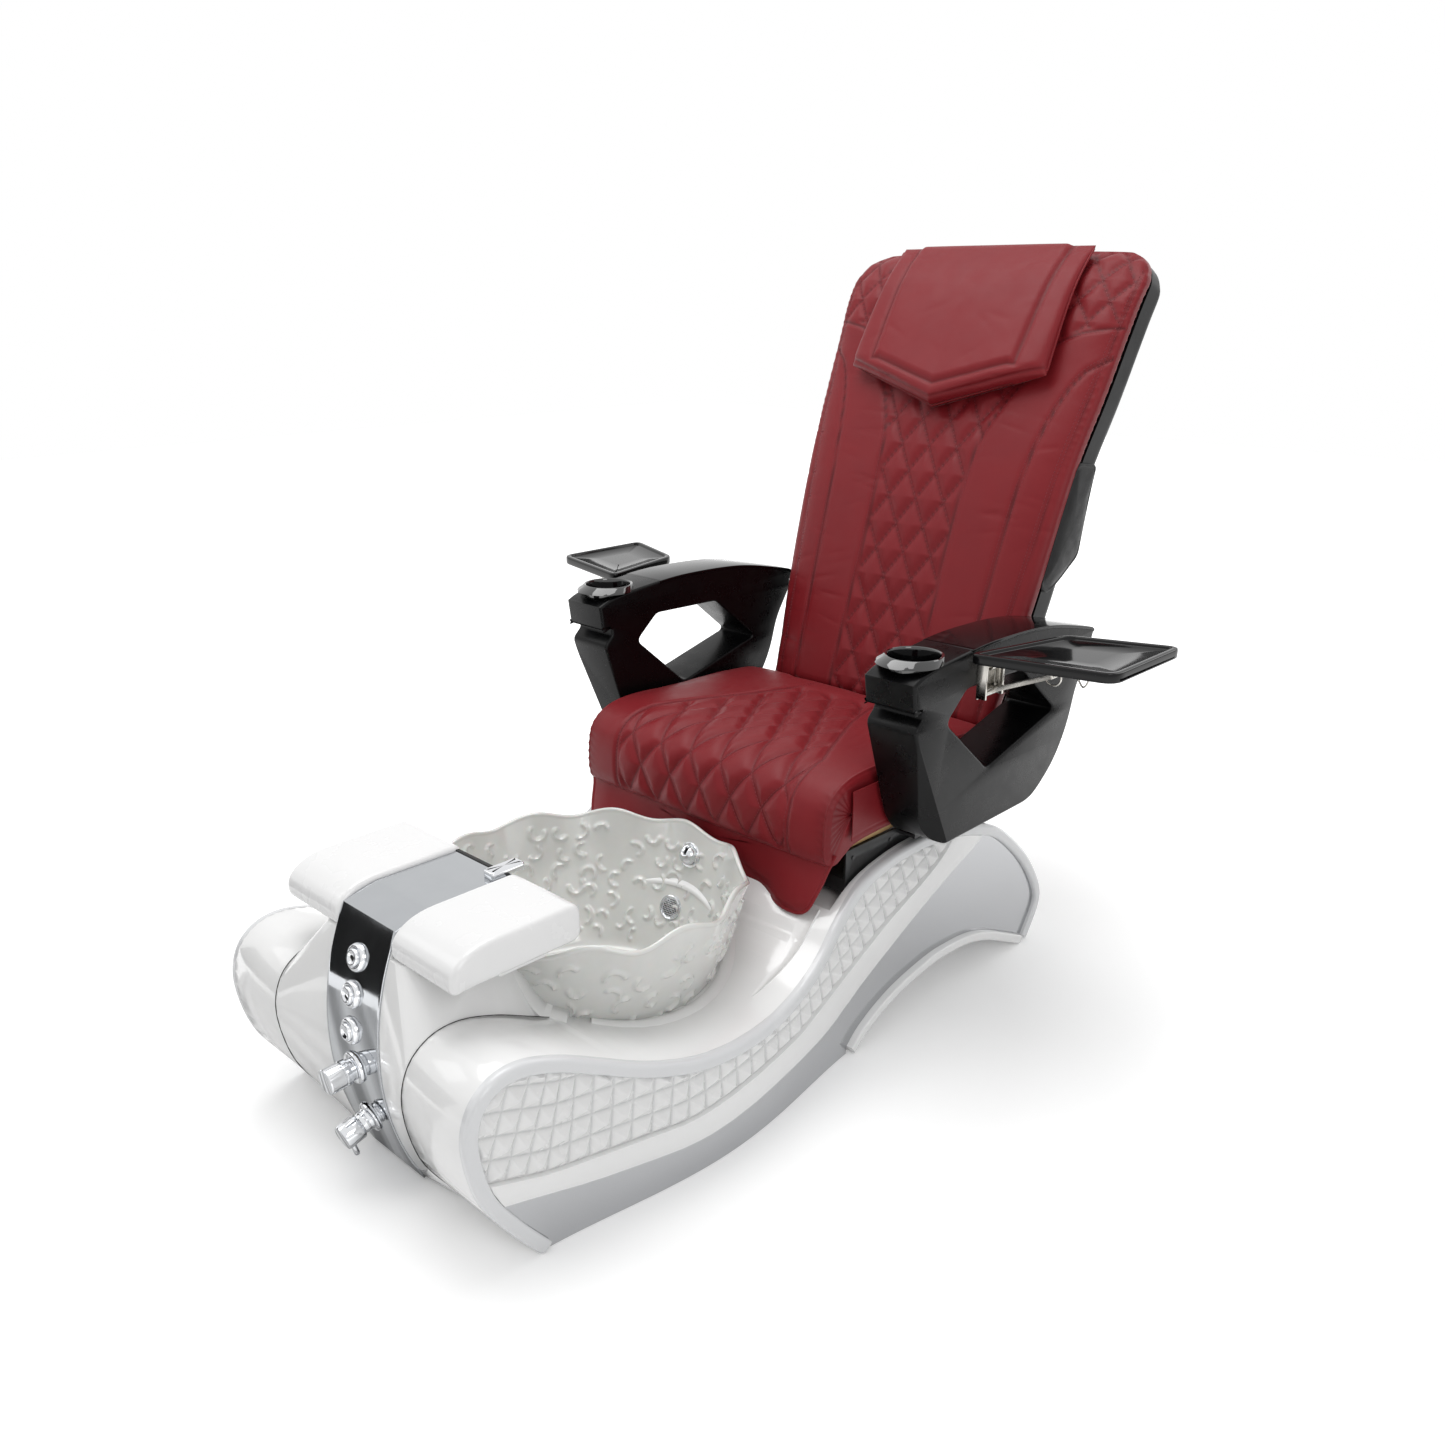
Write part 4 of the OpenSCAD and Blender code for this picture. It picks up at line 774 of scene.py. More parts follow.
@dataclass
class Base:
    """Moulded tub body with its rim mouldings, embossed sides, steel panels and arch trims."""

    foot_half_w: float = 308.0
    swell: float = 43.0
    swell_y: float = -210.0
    swell_reach: float = 400.0
    recess: float = 14.0
    rim_w: float = 21.0
    lip_h: float = 18.0
    lip_out: float = 5.0
    pitch: float = 33.0
    joint_x: float = 165.0
    pyramid_h: float = 12.5
    panel_t: float = 3.0
    sheet_in: float = 8.0
    sheet_t: float = 5.0
    deck: tuple = (
        (-544, 0), (-588, 58), (-630, 127), (-649, 212), (-637, 268), (-602, 298), (-555, 303), (-497, 286),
        (-438, 258), (-365, 223), (-282, 196), (-200, 186), (-110, 188), (-35, 205), (15, 228), (62, 266),
        (125, 308), (200, 329), (290, 337), (390, 329), (482, 306), (560, 271), (651, 194), (709, 116),
        (718, 64), (680, 0),
    )
    arch: tuple = (
        (645, 0), (590, 26), (530, 53), (466, 72), (400, 78), (335, 76), (238, 57), (158, 24), (122, 0),
    )
    panel_low: tuple = (
        (-627, 152), (-531, 121), (-443, 110), (-368, 104), (-282, 97), (-173, 107), (-95, 115), (-29, 122),
        (78, 152), (148, 178), (222, 213), (314, 252), (379, 289), (420, 345),
    )
    band_low: tuple = (
        (-627, 118), (-588, 104), (-476, 78), (-378, 66), (-283, 57), (-202, 60), (-94, 69), (-5, 75),
        (72, 90), (190, 142), (281, 187), (397, 239), (488, 277), (540, 330),
    )

    def half_w(self, y: Array) -> Array:
        """Half width at y: a raised cosine swells the sides beside the bowl."""
        u = np.abs(np.asarray(y, float) - self.swell_y) / self.swell_reach
        return self.foot_half_w + np.where(u < 1, self.swell / 2 * (1 + np.cos(np.pi * np.minimum(u, 1))), 0)

    def on_side(self, line: Array, out: Array | float, side: float) -> Array:
        """Puts points of the side view at a distance out from the swollen face of one side."""
        return np.stack([side * (self.half_w(line[..., 0]) + out), line[..., 0], line[..., 1]], -1)

    def moulding(
        self, name: str, line: Array, width: float, out: float, radius: float, side: float
    ) -> bpy.types.Object:
        """Carries a strip's section along a line of the side view, with quarter-round outer edges.

        Args:
            name: object name.
            line: the strip's upper line.
            width: its width in the side view.
            out: how far its face stands from the swollen face.
            radius: radius of its upper outer edge; the lower one has half of it.
            side: 1 or -1.

        Returns:
            The object.
        """
        a = np.linspace(0, math.pi / 2, 7)
        top = np.stack([out - radius + radius * np.sin(a), radius - radius * np.cos(a)], 1)
        low = np.stack(
            [out - radius / 2 + radius / 2 * np.cos(a), width - radius / 2 + radius / 2 * np.sin(a)], 1
        )
        section = np.vstack([[[-self.recess, 0]], top, low, [[-self.recess, width]]])
        normal = right_of(line)
        flat = line[:, None, :] + section[None, :, 1:] * normal[:, None, :]
        return tube(name, self.on_side(flat, section[None, :, 0], side), angle=50)

    def rim_inner(self) -> Array:
        """Inner edge of the rim moulding in the side view, from the toe round the top to the tail."""
        deck = smooth_line(self.deck)
        return deck + (self.rim_w + 0.3) * right_of(deck)

    def deck_z(self, y: Array) -> Array:
        """Height of the deck beside the bowl at y."""
        deck = smooth_line(self.deck)
        return second_at(y, deck[(deck[:, 1] > 150) & (deck[:, 0] > -560) & (deck[:, 0] < 300)])

    def columns(self, lower: Array, polygon: Array, starts: Array, reach: float) -> tuple[Array, Array]:
        """Finds where columns that stand on a line lie inside a region.

        Args:
            lower: the columns' feet, one point each.
            polygon: the region.
            starts: unit direction of each column.
            reach: greatest height tried.

        Returns:
            Lowest and highest distance along each column inside the region.
        """
        b = np.arange(-40, reach, 0.5)
        p = lower[:, None] + b[None, :, None] * starts[:, None]
        inside = inside_polygon(p[..., 0], p[..., 1], polygon)
        low = np.where(inside, b, 1e6).min(1)
        high = np.where(inside, b, -1e6).max(1)
        return low, high

    def embossed_panel(self, side: float, label: str) -> bpy.types.Object:
        """Builds the panel of square pyramids whose rows follow its lower edge.

        In lattice units u and v the height is 1 - 2 max(|u - 1/2|, |v - 1/2|) of each cell times the
        pyramid's height, and it dies out along the panel's border.

        Args:
            side: 1 or -1.
            label: left or right.

        Returns:
            The object.
        """
        parts, rows = 14, 96
        low = smooth_line(self.panel_low)
        first = low[0] - tangents(low)[0] * 90
        line = evenly(np.vstack([first, low]), 2000)
        length = np.linalg.norm(np.diff(line, axis=0), axis=1).sum()
        count = int(length / self.pitch * parts)
        line = evenly(line, count)
        away = -right_of(line)
        blur = 30
        kernel = np.hanning(2 * blur + 1) / np.hanning(2 * blur + 1).sum()
        away = np.stack([np.convolve(np.pad(away[:, k], blur, "edge"), kernel, "valid") for k in (0, 1)], 1)
        away = unit(away)
        region = np.vstack([self.rim_inner(), [[700, -80], [-560, -80]]])
        b0, b1 = self.columns(line, region, away, 230)
        b0 = np.maximum(b0, 0.3)
        keep = (b1 - b0 > 1.0) & (line[:, 1] < 340)
        index = np.nonzero(keep)[0]
        line, away, b0, b1 = line[keep], away[keep], b0[keep], b1[keep]
        step = self.pitch / parts
        lattice = np.arange(rows) * step
        b = np.clip(lattice[None, :], b0[:, None], b1[:, None])
        u = (index * (length / count))[:, None] / self.pitch % 1.0
        v = b / self.pitch % 1.0
        height = self.pyramid_h * (1 - 2 * np.maximum(np.abs(u - 0.5), np.abs(v - 0.5)))
        border = np.minimum(smoothstep(0, 5, b - b0[:, None]), smoothstep(0, 5, b1[:, None] - b))
        flat = line[:, None] + b[..., None] * away[:, None]
        front = self.on_side(flat, -self.recess + self.panel_t + height * border, side)
        # Painted shade: the grooves between the pyramids are darkened where shade falls.
        painted_groove_shade = np.exp(-((np.maximum(height, 0) / 1.5) ** 2)) * border
        crease = np.concatenate([0.45 * np.ravel(painted_groove_shade), np.zeros(painted_groove_shade.size)])
        return slab(f"embossed_panel_{label}", front, (-side * self.panel_t, 0, 0), angle=60, crease=crease)

    def steel_panel(self, side: float, label: str) -> bpy.types.Object:
        """Builds the polished sheet between the white band, the rim, the arch lip and the floor."""
        inner = self.rim_inner()
        arch = smooth_line(self.arch)
        lip = arch + (self.lip_h + 0.4) * right_of(arch)
        lip = lip[lip[:, 1] > 0]
        band = smooth_line(self.band_low)
        y = np.concatenate(
            [np.linspace(-625, -560, 80), np.linspace(-559, 690, 420), np.linspace(690.5, 697, 40)]
        )
        top_i = int(np.argmin(np.abs(inner[:, 0] + 628) + (inner[:, 1] < 150) * 100))
        tail_i = int(inner[:, 0].argmax())
        upper = inner[top_i : tail_i + 1]
        order = np.argsort(upper[:, 0])
        high = np.minimum(second_at(y, band, right=999.0), second_at(y, upper[order]))
        toe, tail = inner[: top_i + 1], inner[tail_i:]
        low = np.full(len(y), 0.5)
        for line, left, right in ((toe, 999, 0), (lip, 0, 0), (tail, 0, 999)):
            low = np.maximum(low, second_at(y, line[::-1], left=left, right=right))
        keep = high - low > 0.5
        y, low, high = y[keep], low[keep], high[keep]
        t = np.linspace(0, 1, 24)
        z = low[:, None] + t[None] * (high - low)[:, None]
        flat = np.stack([np.broadcast_to(y[:, None], z.shape), z], -1)
        front = self.on_side(flat, -self.sheet_in, side)
        return slab(f"steel_panel_skin_{label}", front, (-side * self.sheet_t, 0, 0), angle=50)

    def bowl_seat(self) -> bpy.types.Object:
        """Builds the thin raised ledge of the deck that the bowl stands in."""
        parts = 160
        a = np.linspace(0, 2 * math.pi, parts, endpoint=False)
        rings = []
        for radius, lift in ((222, -2.0), (222, 2.2), (224, 3.4), (232, 3.4), (240, 2.0), (246, -1.5)):
            x, y = radius * np.cos(a), Bowl.y + radius * np.sin(a)
            rings.append(np.stack([x, y, self.deck_z(y) + lift], 1))
        grid = np.stack(rings)
        hidden = np.abs(grid[0, :, 0]) < 172
        keep = ~(hidden & (grid[0, :, 1] < -300))
        start = int(np.nonzero(keep & ~np.roll(keep, 1))[0][0])
        order = np.roll(np.arange(parts), -start)
        order = order[np.roll(keep, -start)]
        return tube("bowl_seat_ledge", grid[:, order].transpose(1, 0, 2), angle=50)

    def knee_recess(self, side: float, label: str) -> bpy.types.Object:
        """Builds the leaf-shaped moulding that tapers along the deck beside the bowl."""
        spine = smooth_line([(254, 66), (263, 20), (271, -40), (278, -99)], 16)
        t = np.linspace(0, 1, len(spine))
        wide = 17 * (1 - t) ** 0.8 + 0.6
        section = np.array([(-1.0, -2.0), (-0.92, 2.0), (-0.2, 0.4), (0.7, 0.6), (1.0, 3.4), (1.15, -2.0)])
        flat = spine[:, None] - section[None, :, :1] * wide[:, None, None] * right_of(spine)[:, None]
        z = self.deck_z(flat[..., 1]) + section[None, :, 1] * (0.35 + 0.65 * (1 - t))[:, None]
        grid = np.stack([side * flat[..., 0], flat[..., 1], z], -1)
        return tube(f"knee_moulding_{label}", grid, angle=50)

    def seals_and_shadow_line(self, side: float, label: str) -> None:
        """Lays the dark joint line between pod and fender, and a black cord over the polished sheet that
        stands in for the shadow under the white band.
        """
        deck = smooth_line(self.deck)
        joint = deck[(deck[:, 0] < -372) & (deck[:, 1] > 3)]
        joint = joint - 0.1 * right_of(joint)
        path = np.column_stack([np.full(len(joint), side * (self.joint_x + 1.2)), joint])
        fit(wire(f"pod_joint_seal_{label}", path, 0.7, angle=60), "base", RUBBER)
        # Painted shadow: a black rubber cord along the white band's lower edge stands in for the thin shadow
        # it casts on the sheet.
        band = smooth_line(self.band_low)
        band = band[inside_polygon(band[:, 0], band[:, 1], self.rim_inner())]
        band = band - [0, 0.9]
        fit(wire(f"sheet_shadow_line_{label}", self.on_side(band, -7.4, side), 0.9, angle=60), "base", RUBBER)

    def build(self) -> None:
        """Builds and dresses the whole base."""
        deck, arch = smooth_line(self.deck), smooth_line(self.arch)
        lip = arch[arch[:, 1] > -1]
        for label, side in SIDES:
            rim = self.moulding(f"rim_moulding_{label}", deck, self.rim_w, 0.0, 8.0, side)
            fit(rim, "base", RIM, [f"rim_band_{label}"])
            fit(self.embossed_panel(side, label), "base", EMBOSSED, [f"side_panel_{label}"])
            fit(self.steel_panel(side, label), "base", STEEL, [f"steel_panel_{label}"])
            trim = self.moulding(f"arch_moulding_{label}", lip, self.lip_h, self.lip_out, 6.0, side)
            fit(trim, "base", GELCOAT, ["arch_trims"])
            fit(self.knee_recess(side, label), "base", GELCOAT)
            self.seals_and_shadow_line(side, label)
        fit(self.bowl_seat(), "base", GELCOAT)


BASE = Base()


# ---- Bowl and its fittings ---------------------------------------------------------------------


@dataclass
class Bowl:
    """Pearl resin bowl with a scalloped rim, raised curls, the jet, the grille and the waste."""

    y: float = -196.0
    wall: float = 7.0
    lobes: int = 11
    mean_r: float = 235.0
    wall_h: float = 260.0
    curl_count: int = 400
    curl_gap: float = 29.0
    curl_rows: tuple = (40, 238)
    relief_h: float = 5.0
    jet_at: tuple = (292, 72)
    grille_at: tuple = (196, 67, 5)
    curve: tuple = ((150, 104), (176, 112), (194, 140), (212, 180), (235, 240), (252, 300), (262, 334))

    def scallop(self, height: Array, angle: Array) -> tuple[Array, Array]:
        """How far the rim waves outwards and upwards.

        Both grow with the square of the height above z 236; the outward wave is a row of rounded lobes
        with narrow valleys, 0.55 - |cos(n a / 2 + 0.9)|^1.4.

        Args:
            height: z of each point.
            angle: its angle about the bowl.

        Returns:
            Radial and vertical shifts.
        """
        grow = np.clip((height - 236) / 98, 0, 1.05) ** 2
        wave = 0.55 - np.abs(np.cos(self.lobes * angle / 2 + 0.9)) ** 1.4
        return grow * 9.5 * wave - grow * 2.0, grow * 9.0 * np.sin(self.lobes * angle + 2.4) * 0.75

    def curls(self, length: Array, height: Array, seed: int) -> Array:
        """Raised C-shaped curls scattered over the unrolled wall.

        Each curl is an arc of a circle; the relief is the largest of exp(-(d/w)^2) over all of them,
        where d is the distance to the arc.

        Args:
            length: distance round the wall.
            height: distance up the wall.
            seed: seed of the random draw.

        Returns:
            Relief from 0 to 1.
        """
        draw = np.random.default_rng(seed)
        round_mm = 2 * math.pi * self.mean_r
        placed: list[tuple[float, float]] = []
        relief = np.zeros(np.shape(length))
        while len(placed) < self.curl_count:
            for _ in range(60):
                cx, cy = draw.uniform(0, round_mm), draw.uniform(*self.curl_rows)
                gaps = [math.hypot(min(abs(cx - px), round_mm - abs(cx - px)), cy - py) for px, py in placed]
                if not gaps or min(gaps) > self.curl_gap:
                    break
            else:
                break
            placed.append((cx, cy))
            radius, start = draw.uniform(11, 17), draw.uniform(0, 2 * math.pi)
            span = draw.uniform(2.4, 3.9)
            dx = (length - cx + round_mm / 2) % round_mm - round_mm / 2
            dy = height - cy
            near = np.abs(dx) < 45
            r, a = np.hypot(dx[near], dy[near]), (np.arctan2(dy[near], dx[near]) - start) % (2 * math.pi)
            spiral = radius * (1 - 0.22 * a / span)
            tips = ((start, radius), (start + span, 0.78 * radius))
            ends = [(tip_r * math.cos(k), tip_r * math.sin(k)) for k, tip_r in tips]
            to_ends = np.min([np.hypot(dx[near] - ex, dy[near] - ey) for ex, ey in ends], 0)
            d = np.where(a < span, np.abs(r - spiral), to_ends)
            width = 3.3 * (1 - 0.35 * np.clip(a / span, 0, 1))
            relief[near] = np.maximum(relief[near], np.exp(-((d / width) ** 2)))
        return relief

    def body(self) -> bpy.types.Object:
        """Turns the wall from the outer foot over the rim to the inner floor and adds the relief."""
        outer = smooth_line(self.curve, 6)
        normal = right_of(outer)
        inner = outer - self.wall * normal
        rim_mid = (outer[-1] + inner[-1]) / 2
        a = np.linspace(0, math.pi, 9)[1:-1]
        across, up = (outer[-1] - inner[-1]) / 2, np.array([0.2, 1.0])
        roll = rim_mid + 1.35 * np.cos(a)[:, None] * across + 6.0 * np.sin(a)[:, None] * up
        low, inner = evenly(outer, 94), evenly(inner, 96)
        profile = np.vstack([[[2.0, 104]], low, roll, inner[::-1], [[60, 111], [2.0, 111]]])
        angle = turn_angles(470)
        shape = (len(profile), len(angle))
        r0, z0 = np.broadcast_to(profile[:, :1], shape), np.broadcast_to(profile[:, 1:], shape)
        dr, dz = self.scallop(z0, angle[None])
        relief = np.zeros(shape)
        along = np.broadcast_to(angle[None] * self.mean_r, shape)
        is_outer = slice(1, 1 + len(low))
        is_inner = slice(1 + len(low) + len(roll), len(profile) - 2)
        for seed, wall, foot, top, rows in (
            (5, is_inner, self.wall_h, 0, inner), (9, is_outer, 0, self.wall_h, low)
        ):
            rise = np.linspace(foot, top, len(rows))[:, None] * np.ones(len(angle))
            fade = smoothstep(14, 40, rise) * smoothstep(262, 238, rise)
            relief[wall] = self.curls(along[wall], rise, seed) * fade
        out = right_of(profile)
        r = r0 + dr + relief * self.relief_h * out[:, :1]
        z = z0 + dz + relief * self.relief_h * out[:, 1:]
        grid = np.stack([r * np.cos(angle), self.y + r * np.sin(angle), z], -1)
        return tube("pearl_bowl", grid, angle=70)

    def radius_at(self, z: float) -> float:
        """Inner radius of the bowl at a height."""
        outer = smooth_line(self.curve, 2)
        inner = outer - self.wall * right_of(outer)
        return float(np.interp(z, inner[:, 1], inner[:, 0]))

    def on_wall(self, z: float, tilt: float, turn: float = 0.0) -> Place:
        """Frame on the rear inner wall, with its third axis into the bowl."""
        t, s = math.radians(tilt), math.radians(turn)
        r = self.radius_at(z)
        spin = np.array([[math.cos(s), -math.sin(s), 0], [math.sin(s), math.cos(s), 0], [0, 0, 1.0]])
        x = spin @ np.array([1.0, 0, 0])
        up = spin @ np.array([0, math.cos(t), math.sin(t)])
        out = spin @ np.array([0, -math.sin(t), math.cos(t)])
        origin = np.array([0, self.y, z]) + spin @ np.array([0, r, 0])
        return Place(tuple(origin), tuple(x), tuple(up), tuple(out))

    def grille(self, place: Place) -> bpy.types.Object:
        """Builds the round grille: a rolled ring and a plate of small raised bars, with black painted shade
        in the sunken holes.
        """
        ring = [(22.5, 0.2), (22.5, 3.0), (21.5, 4.8), (19.5, 5.4), (17.8, 4.8), (17.2, 3.4)]
        face = lathe(ring, place, 96)
        r = np.linspace(17.2, 0.05, 40)
        a = turn_angles(96)
        x, y = r[:, None] * np.cos(a), r[:, None] * np.sin(a)
        dots = np.abs(np.cos(x * math.pi / 3.4)) * np.abs(np.cos(y * math.pi / 3.4))
        holes = (dots > 0.66) * (r < 16)[:, None]
        plate = place.put(np.stack([x, y, 3.2 - 2.2 * holes], -1))
        back = lathe([(0.05, 0.2), (22.4, 0.2)], place, 96)
        # Painted shade: the sunken holes are coloured black, as if they opened into the dark pipe.
        dark = np.concatenate([np.zeros((len(back) + len(face), 96)), holes])
        return tube(
            "suction_grille_face", np.concatenate([back, face, plate]), ends=False, angle=35, tidy=False,
            crease=dark
        )

    def build(self) -> None:
        """Builds and dresses the bowl and what is fixed in it."""
        fit(self.body(), "base", PEARL, ["bowl"])
        jet, grille = self.on_wall(*self.jet_at), self.on_wall(*self.grille_at)
        flange = [
            (0.05, -11), (18.5, -11), (18.5, 1.4), (22.6, 1.4), (23.4, 2.4), (22.8, 4.6), (20.5, 5.8),
            (17, 5.4), (14.4, 4.2), (14.4, -6), (0.05, -6),
        ]
        fit(turned("jet_flange", [(flange, jet)], angle=30), "base", CHROME, ["jet_housing"])
        a = np.linspace(0, math.pi / 2, 14)
        ball = np.stack([17.8 * np.cos(a), 6.0 + 15.5 * np.sin(a)], 1)
        cap = lathe(np.vstack([[[0.05, -5.5], [13.6, -5.5], [13.6, 5.9], [17.8, 5.9]], ball]), jet, 72)
        local = (cap - np.array(jet.origin)) @ np.array([jet.x, jet.y, jet.z]).T
        slot = np.exp(-((local[..., 0] / 4.2) ** 4)) * smoothstep(-1, 3, local[..., 1])
        slot *= local[..., 2] > 6.5
        local[..., 2] -= 5.5 * slot * smoothstep(8, 15, local[..., 2])
        # Painted shade: the bottom of the slot is coloured black, as if it opened into a dark throat.
        painted_throat_shade = smoothstep(0.35, 0.8, slot) * smoothstep(8, 13, local[..., 2])
        obj = tube("jet_ball", jet.put(local), ends=False, angle=40, crease=painted_throat_shade)
        fit(obj, "jet_cap", JET_CHROME_WITH_PAINTED_SHADE, ["jet_cap"])
        fit(self.grille(grille), "base", JET_CHROME_WITH_PAINTED_SHADE, ["suction_grille"])
        ring = [
            (16.2, 112), (16.6, 113.6), (19, 114.8), (25, 114.4), (27.6, 112.6), (28, 111), (16.2, 111),
            (16.2, 112),
        ]
        fit(turned("waste_flange", [(ring, upright(0, self.y))], angle=50), "base", CHROME)


# ---- Console -----------------------------------------------------------------------------------


@dataclass
class Console:
    """Pod with the chrome cover, foot pads, push buttons, flow knob, mixer and spout."""

    half_w: float = 67.0
    bend_r: float = 435.0
    centre: tuple = (-187.0, 215.0)
    fold: tuple = (-539.0, 421.0)
    rear_y: float = -386.0
    cover_t: float = 3.0
    buttons: tuple = (352.0, 300.0, 246.0)
    knob_z: float = 186.0
    mixer_z: float = 96.0
    ledge_r: float = 266.0
    ledge_out: float = 271.0
    ledge_low: float = 222.0
    ledge_top: float = 331.0

    def face(self, z: float) -> Place:
        """Frame on the cover's face at a height, with its third axis out of the face."""
        a = math.asin((z - self.centre[1]) / self.bend_r)
        origin = (0.0, self.centre[0] - self.bend_r * math.cos(a), z)
        return Place(origin, (1, 0, 0), (0, math.sin(a), math.cos(a)), (0, -math.cos(a), math.sin(a)))

    def cover_line(self, inset: float) -> Array:
        """Side view of the cover: an arc, a rounded fold and the flat top."""
        low = math.asin((4 - self.centre[1]) / self.bend_r)
        high = math.asin((407 - self.centre[1]) / self.bend_r)
        a = np.linspace(low, high, 60)
        r = self.bend_r - inset
        arc = np.stack([self.centre[0] - r * np.cos(a), self.centre[1] + r * np.sin(a)], 1)
        fold = np.array(self.fold) + [0.2 * inset, -inset]
        t = np.linspace(0, 1, 14)[:, None]
        start, end = arc[-1], fold + [16, 0]
        knee = (1 - t) ** 2 * start + 2 * t * (1 - t) * (start * 0.25 + fold * 0.75) + t**2 * end
        top = np.stack([np.linspace(end[0], self.rear_y, 24), np.full(24, self.fold[1] - inset)], 1)
        return np.vstack([arc, knee[1:], top[1:]])

    def cover(self) -> bpy.types.Object:
        """Builds the bent chrome sheet with a rolled edge along both sides."""
        outer, inner = self.cover_line(0), self.cover_line(self.cover_t - 0.1)
        edge = np.array([(-1.0, 1.0), (-1.0, 0.35), (-0.994, 0.1), (-0.982, 0.0)])
        flat = np.stack([np.linspace(-0.982, 0.982, 40), np.zeros(40)], 1)
        section = np.vstack([edge, flat[1:-1], edge[::-1] * [-1, 1]])
        y_z = outer[:, None] + section[None, :, 1:] * (inner - outer)[:, None]
        x = np.broadcast_to(section[None, :, 0] * self.half_w, y_z.shape[:2])
        front = np.concatenate([x[..., None], y_z], -1)
        return tube("chrome_cover", front, angle=40)

    def edge_strip(self) -> bpy.types.Object:
        """Builds the black rubber strip along the cover's rear edge."""
        section = rounded_polygon([(0.2, -2), (6.5, -2), (6.5, 1.6), (0.2, 1.6)], 1.2, 3)
        x = np.linspace(-self.half_w, self.half_w, 20)
        y_z = np.array([self.rear_y, self.fold[1]]) + section
        grid = np.concatenate(
            [
                np.broadcast_to(x[:, None, None], (20, len(section), 1)),
                np.broadcast_to(y_z, (20, *y_z.shape))
            ],
            -1
        )
        return tube("cover_edge_strip", grid, angle=40)

    def shoulder(self, side: float, label: str) -> bpy.types.Object:
        """Closes the gap between pod and bowl with a ledge that carries the pod's slope round to the deck.

        At each angle about the bowl its height is the slope's, z = 282 - 2.2 (x - 140) - 0.6 (y + 430),
        which runs smoothly into the deck's own height.

        Args:
            side: 1 or -1.
            label: left or right.

        Returns:
            The object.
        """
        bowl = np.array(Bowl.curve)
        angle = np.radians(np.linspace(16, 44, 48))
        x, y = self.ledge_r * np.sin(angle), Bowl.y - self.ledge_r * np.cos(angle)
        level = BASE.deck_z(y) + 0.4
        slope, soft = 282 - 2.2 * (x - 140) - 0.6 * (y + 430), 9
        z = np.minimum(level + soft * np.logaddexp(0, (slope - level) / soft), self.ledge_top)
        low = np.full(len(angle), self.ledge_low)
        wall = [second_at(h, bowl[:, ::-1]) for h in (low, z - 3, z)]
        far = np.full(len(angle), self.ledge_out)
        radius = np.stack([wall[0] - 2.5, wall[1] - 2.5, wall[2] - 1.0, far - 4, far, far], 1)
        height = np.stack([low, z - 3, z, z, z - 1.5, low], 1)
        grid = np.stack(
            [side * radius * np.sin(angle)[:, None], Bowl.y - radius * np.cos(angle)[:, None], height], -1
        )
        return tube(f"pod_shoulder_{label}", grid, angle=50)

    def pads(self) -> None:
        """Builds the two foot pads: a D-shaped side view with rolled ends."""
        profile = rounded_polygon(
            [(-373, 371), (-373, 429), (-548, 428), (-589, 404), (-589, 367), (-560, 370)],
            [18, 20, 36, 32, 20, 24], 9,
        )
        profile = evenly(profile, 160, closed=True)
        inward = -right_of(profile, closed=True)
        a = np.linspace(0, math.pi / 2, 8)
        r = 8.0
        x0, x1 = self.half_w + 0.4, self.half_w + 144.0
        middle = np.linspace(x0 + r, x1 - r, 18)[1:-1]
        x = np.concatenate([[x0], x0 + r * (1 - np.cos(a)), middle, x1 - r + r * np.sin(a), [x1]])
        inset = np.concatenate([[r], r * (1 - np.sin(a)), np.zeros(16), r * (1 - np.cos(a)), [r]])
        flat = profile[None] + inset[:, None, None] * inward[None]
        for row in (0, -1):
            middle = flat[row].mean(0)
            flat[row] = middle + 0.55 * (flat[row] - middle)
        for label, side in SIDES:
            grid = np.concatenate([np.broadcast_to(side * x[:, None, None], (*flat.shape[:2], 1)), flat], -1)
            pad = tube(f"foot_pad_{label}", grid, angle=60)
            fit(pad, "base", PAD, [f"footrest_pad_{label}"])

    def controls(self) -> None:
        """Builds the bezels, buttons, knob with its rose, and the mixer as turned chrome parts."""
        bezel = [
            (13.4, 0.2), (20.4, 0.2), (20.4, 1.6), (19.6, 4.2), (17.6, 6.4), (15.6, 7.0), (14.2, 6.6),
            (13.4, 5.6), (13.4, 0.2),
        ]
        cap = [
            (0.05, 0.5), (4.8, 0.5), (4.8, 5.4), (12.9, 5.4), (12.9, 9.2), (12.0, 10.8), (10.4, 11.6),
            (8.6, 11.0), (6.6, 9.4), (4.4, 8.6), (2.0, 8.3), (0.05, 8.3),
        ]
        knob = [
            (0.05, 5.3), (15.5, 5.3), (16.6, 6.0), (16.6, 12.6), (17.4, 13.4), (19.0, 13.6), (19.2, 15),
            (19.2, 21.5), (18.3, 22.2), (18.3, 23.6), (19.2, 24.3), (19.2, 45.6), (18.2, 47.0), (16.8, 47.4),
            (0.05, 47.6),
        ]
        rose = [
            (6.2, 0.2), (23.5, 0.2), (24.3, 1.0), (23.8, 3.0), (21, 4.9), (17.6, 5.2), (17.2, 6.4),
            (16.4, 7.6), (16.0, 9.2), (16.8, 10.2), (16.8, 13.4), (16.0, 14.4), (15.0, 18.6), (6.2, 18.8),
            (6.2, 0.2),
        ]
        head = [
            (0.05, 19.6), (17.2, 19.6), (18.6, 20.6), (19.0, 22), (19.0, 46.6), (18.0, 48.6), (16.4, 49.3),
            (0.05, 49.5),
        ]
        lever = [(0.05, 0), (3.4, 0), (3.4, 8), (3.9, 9), (4.1, 24.5), (3.4, 26.6), (0.05, 27)]
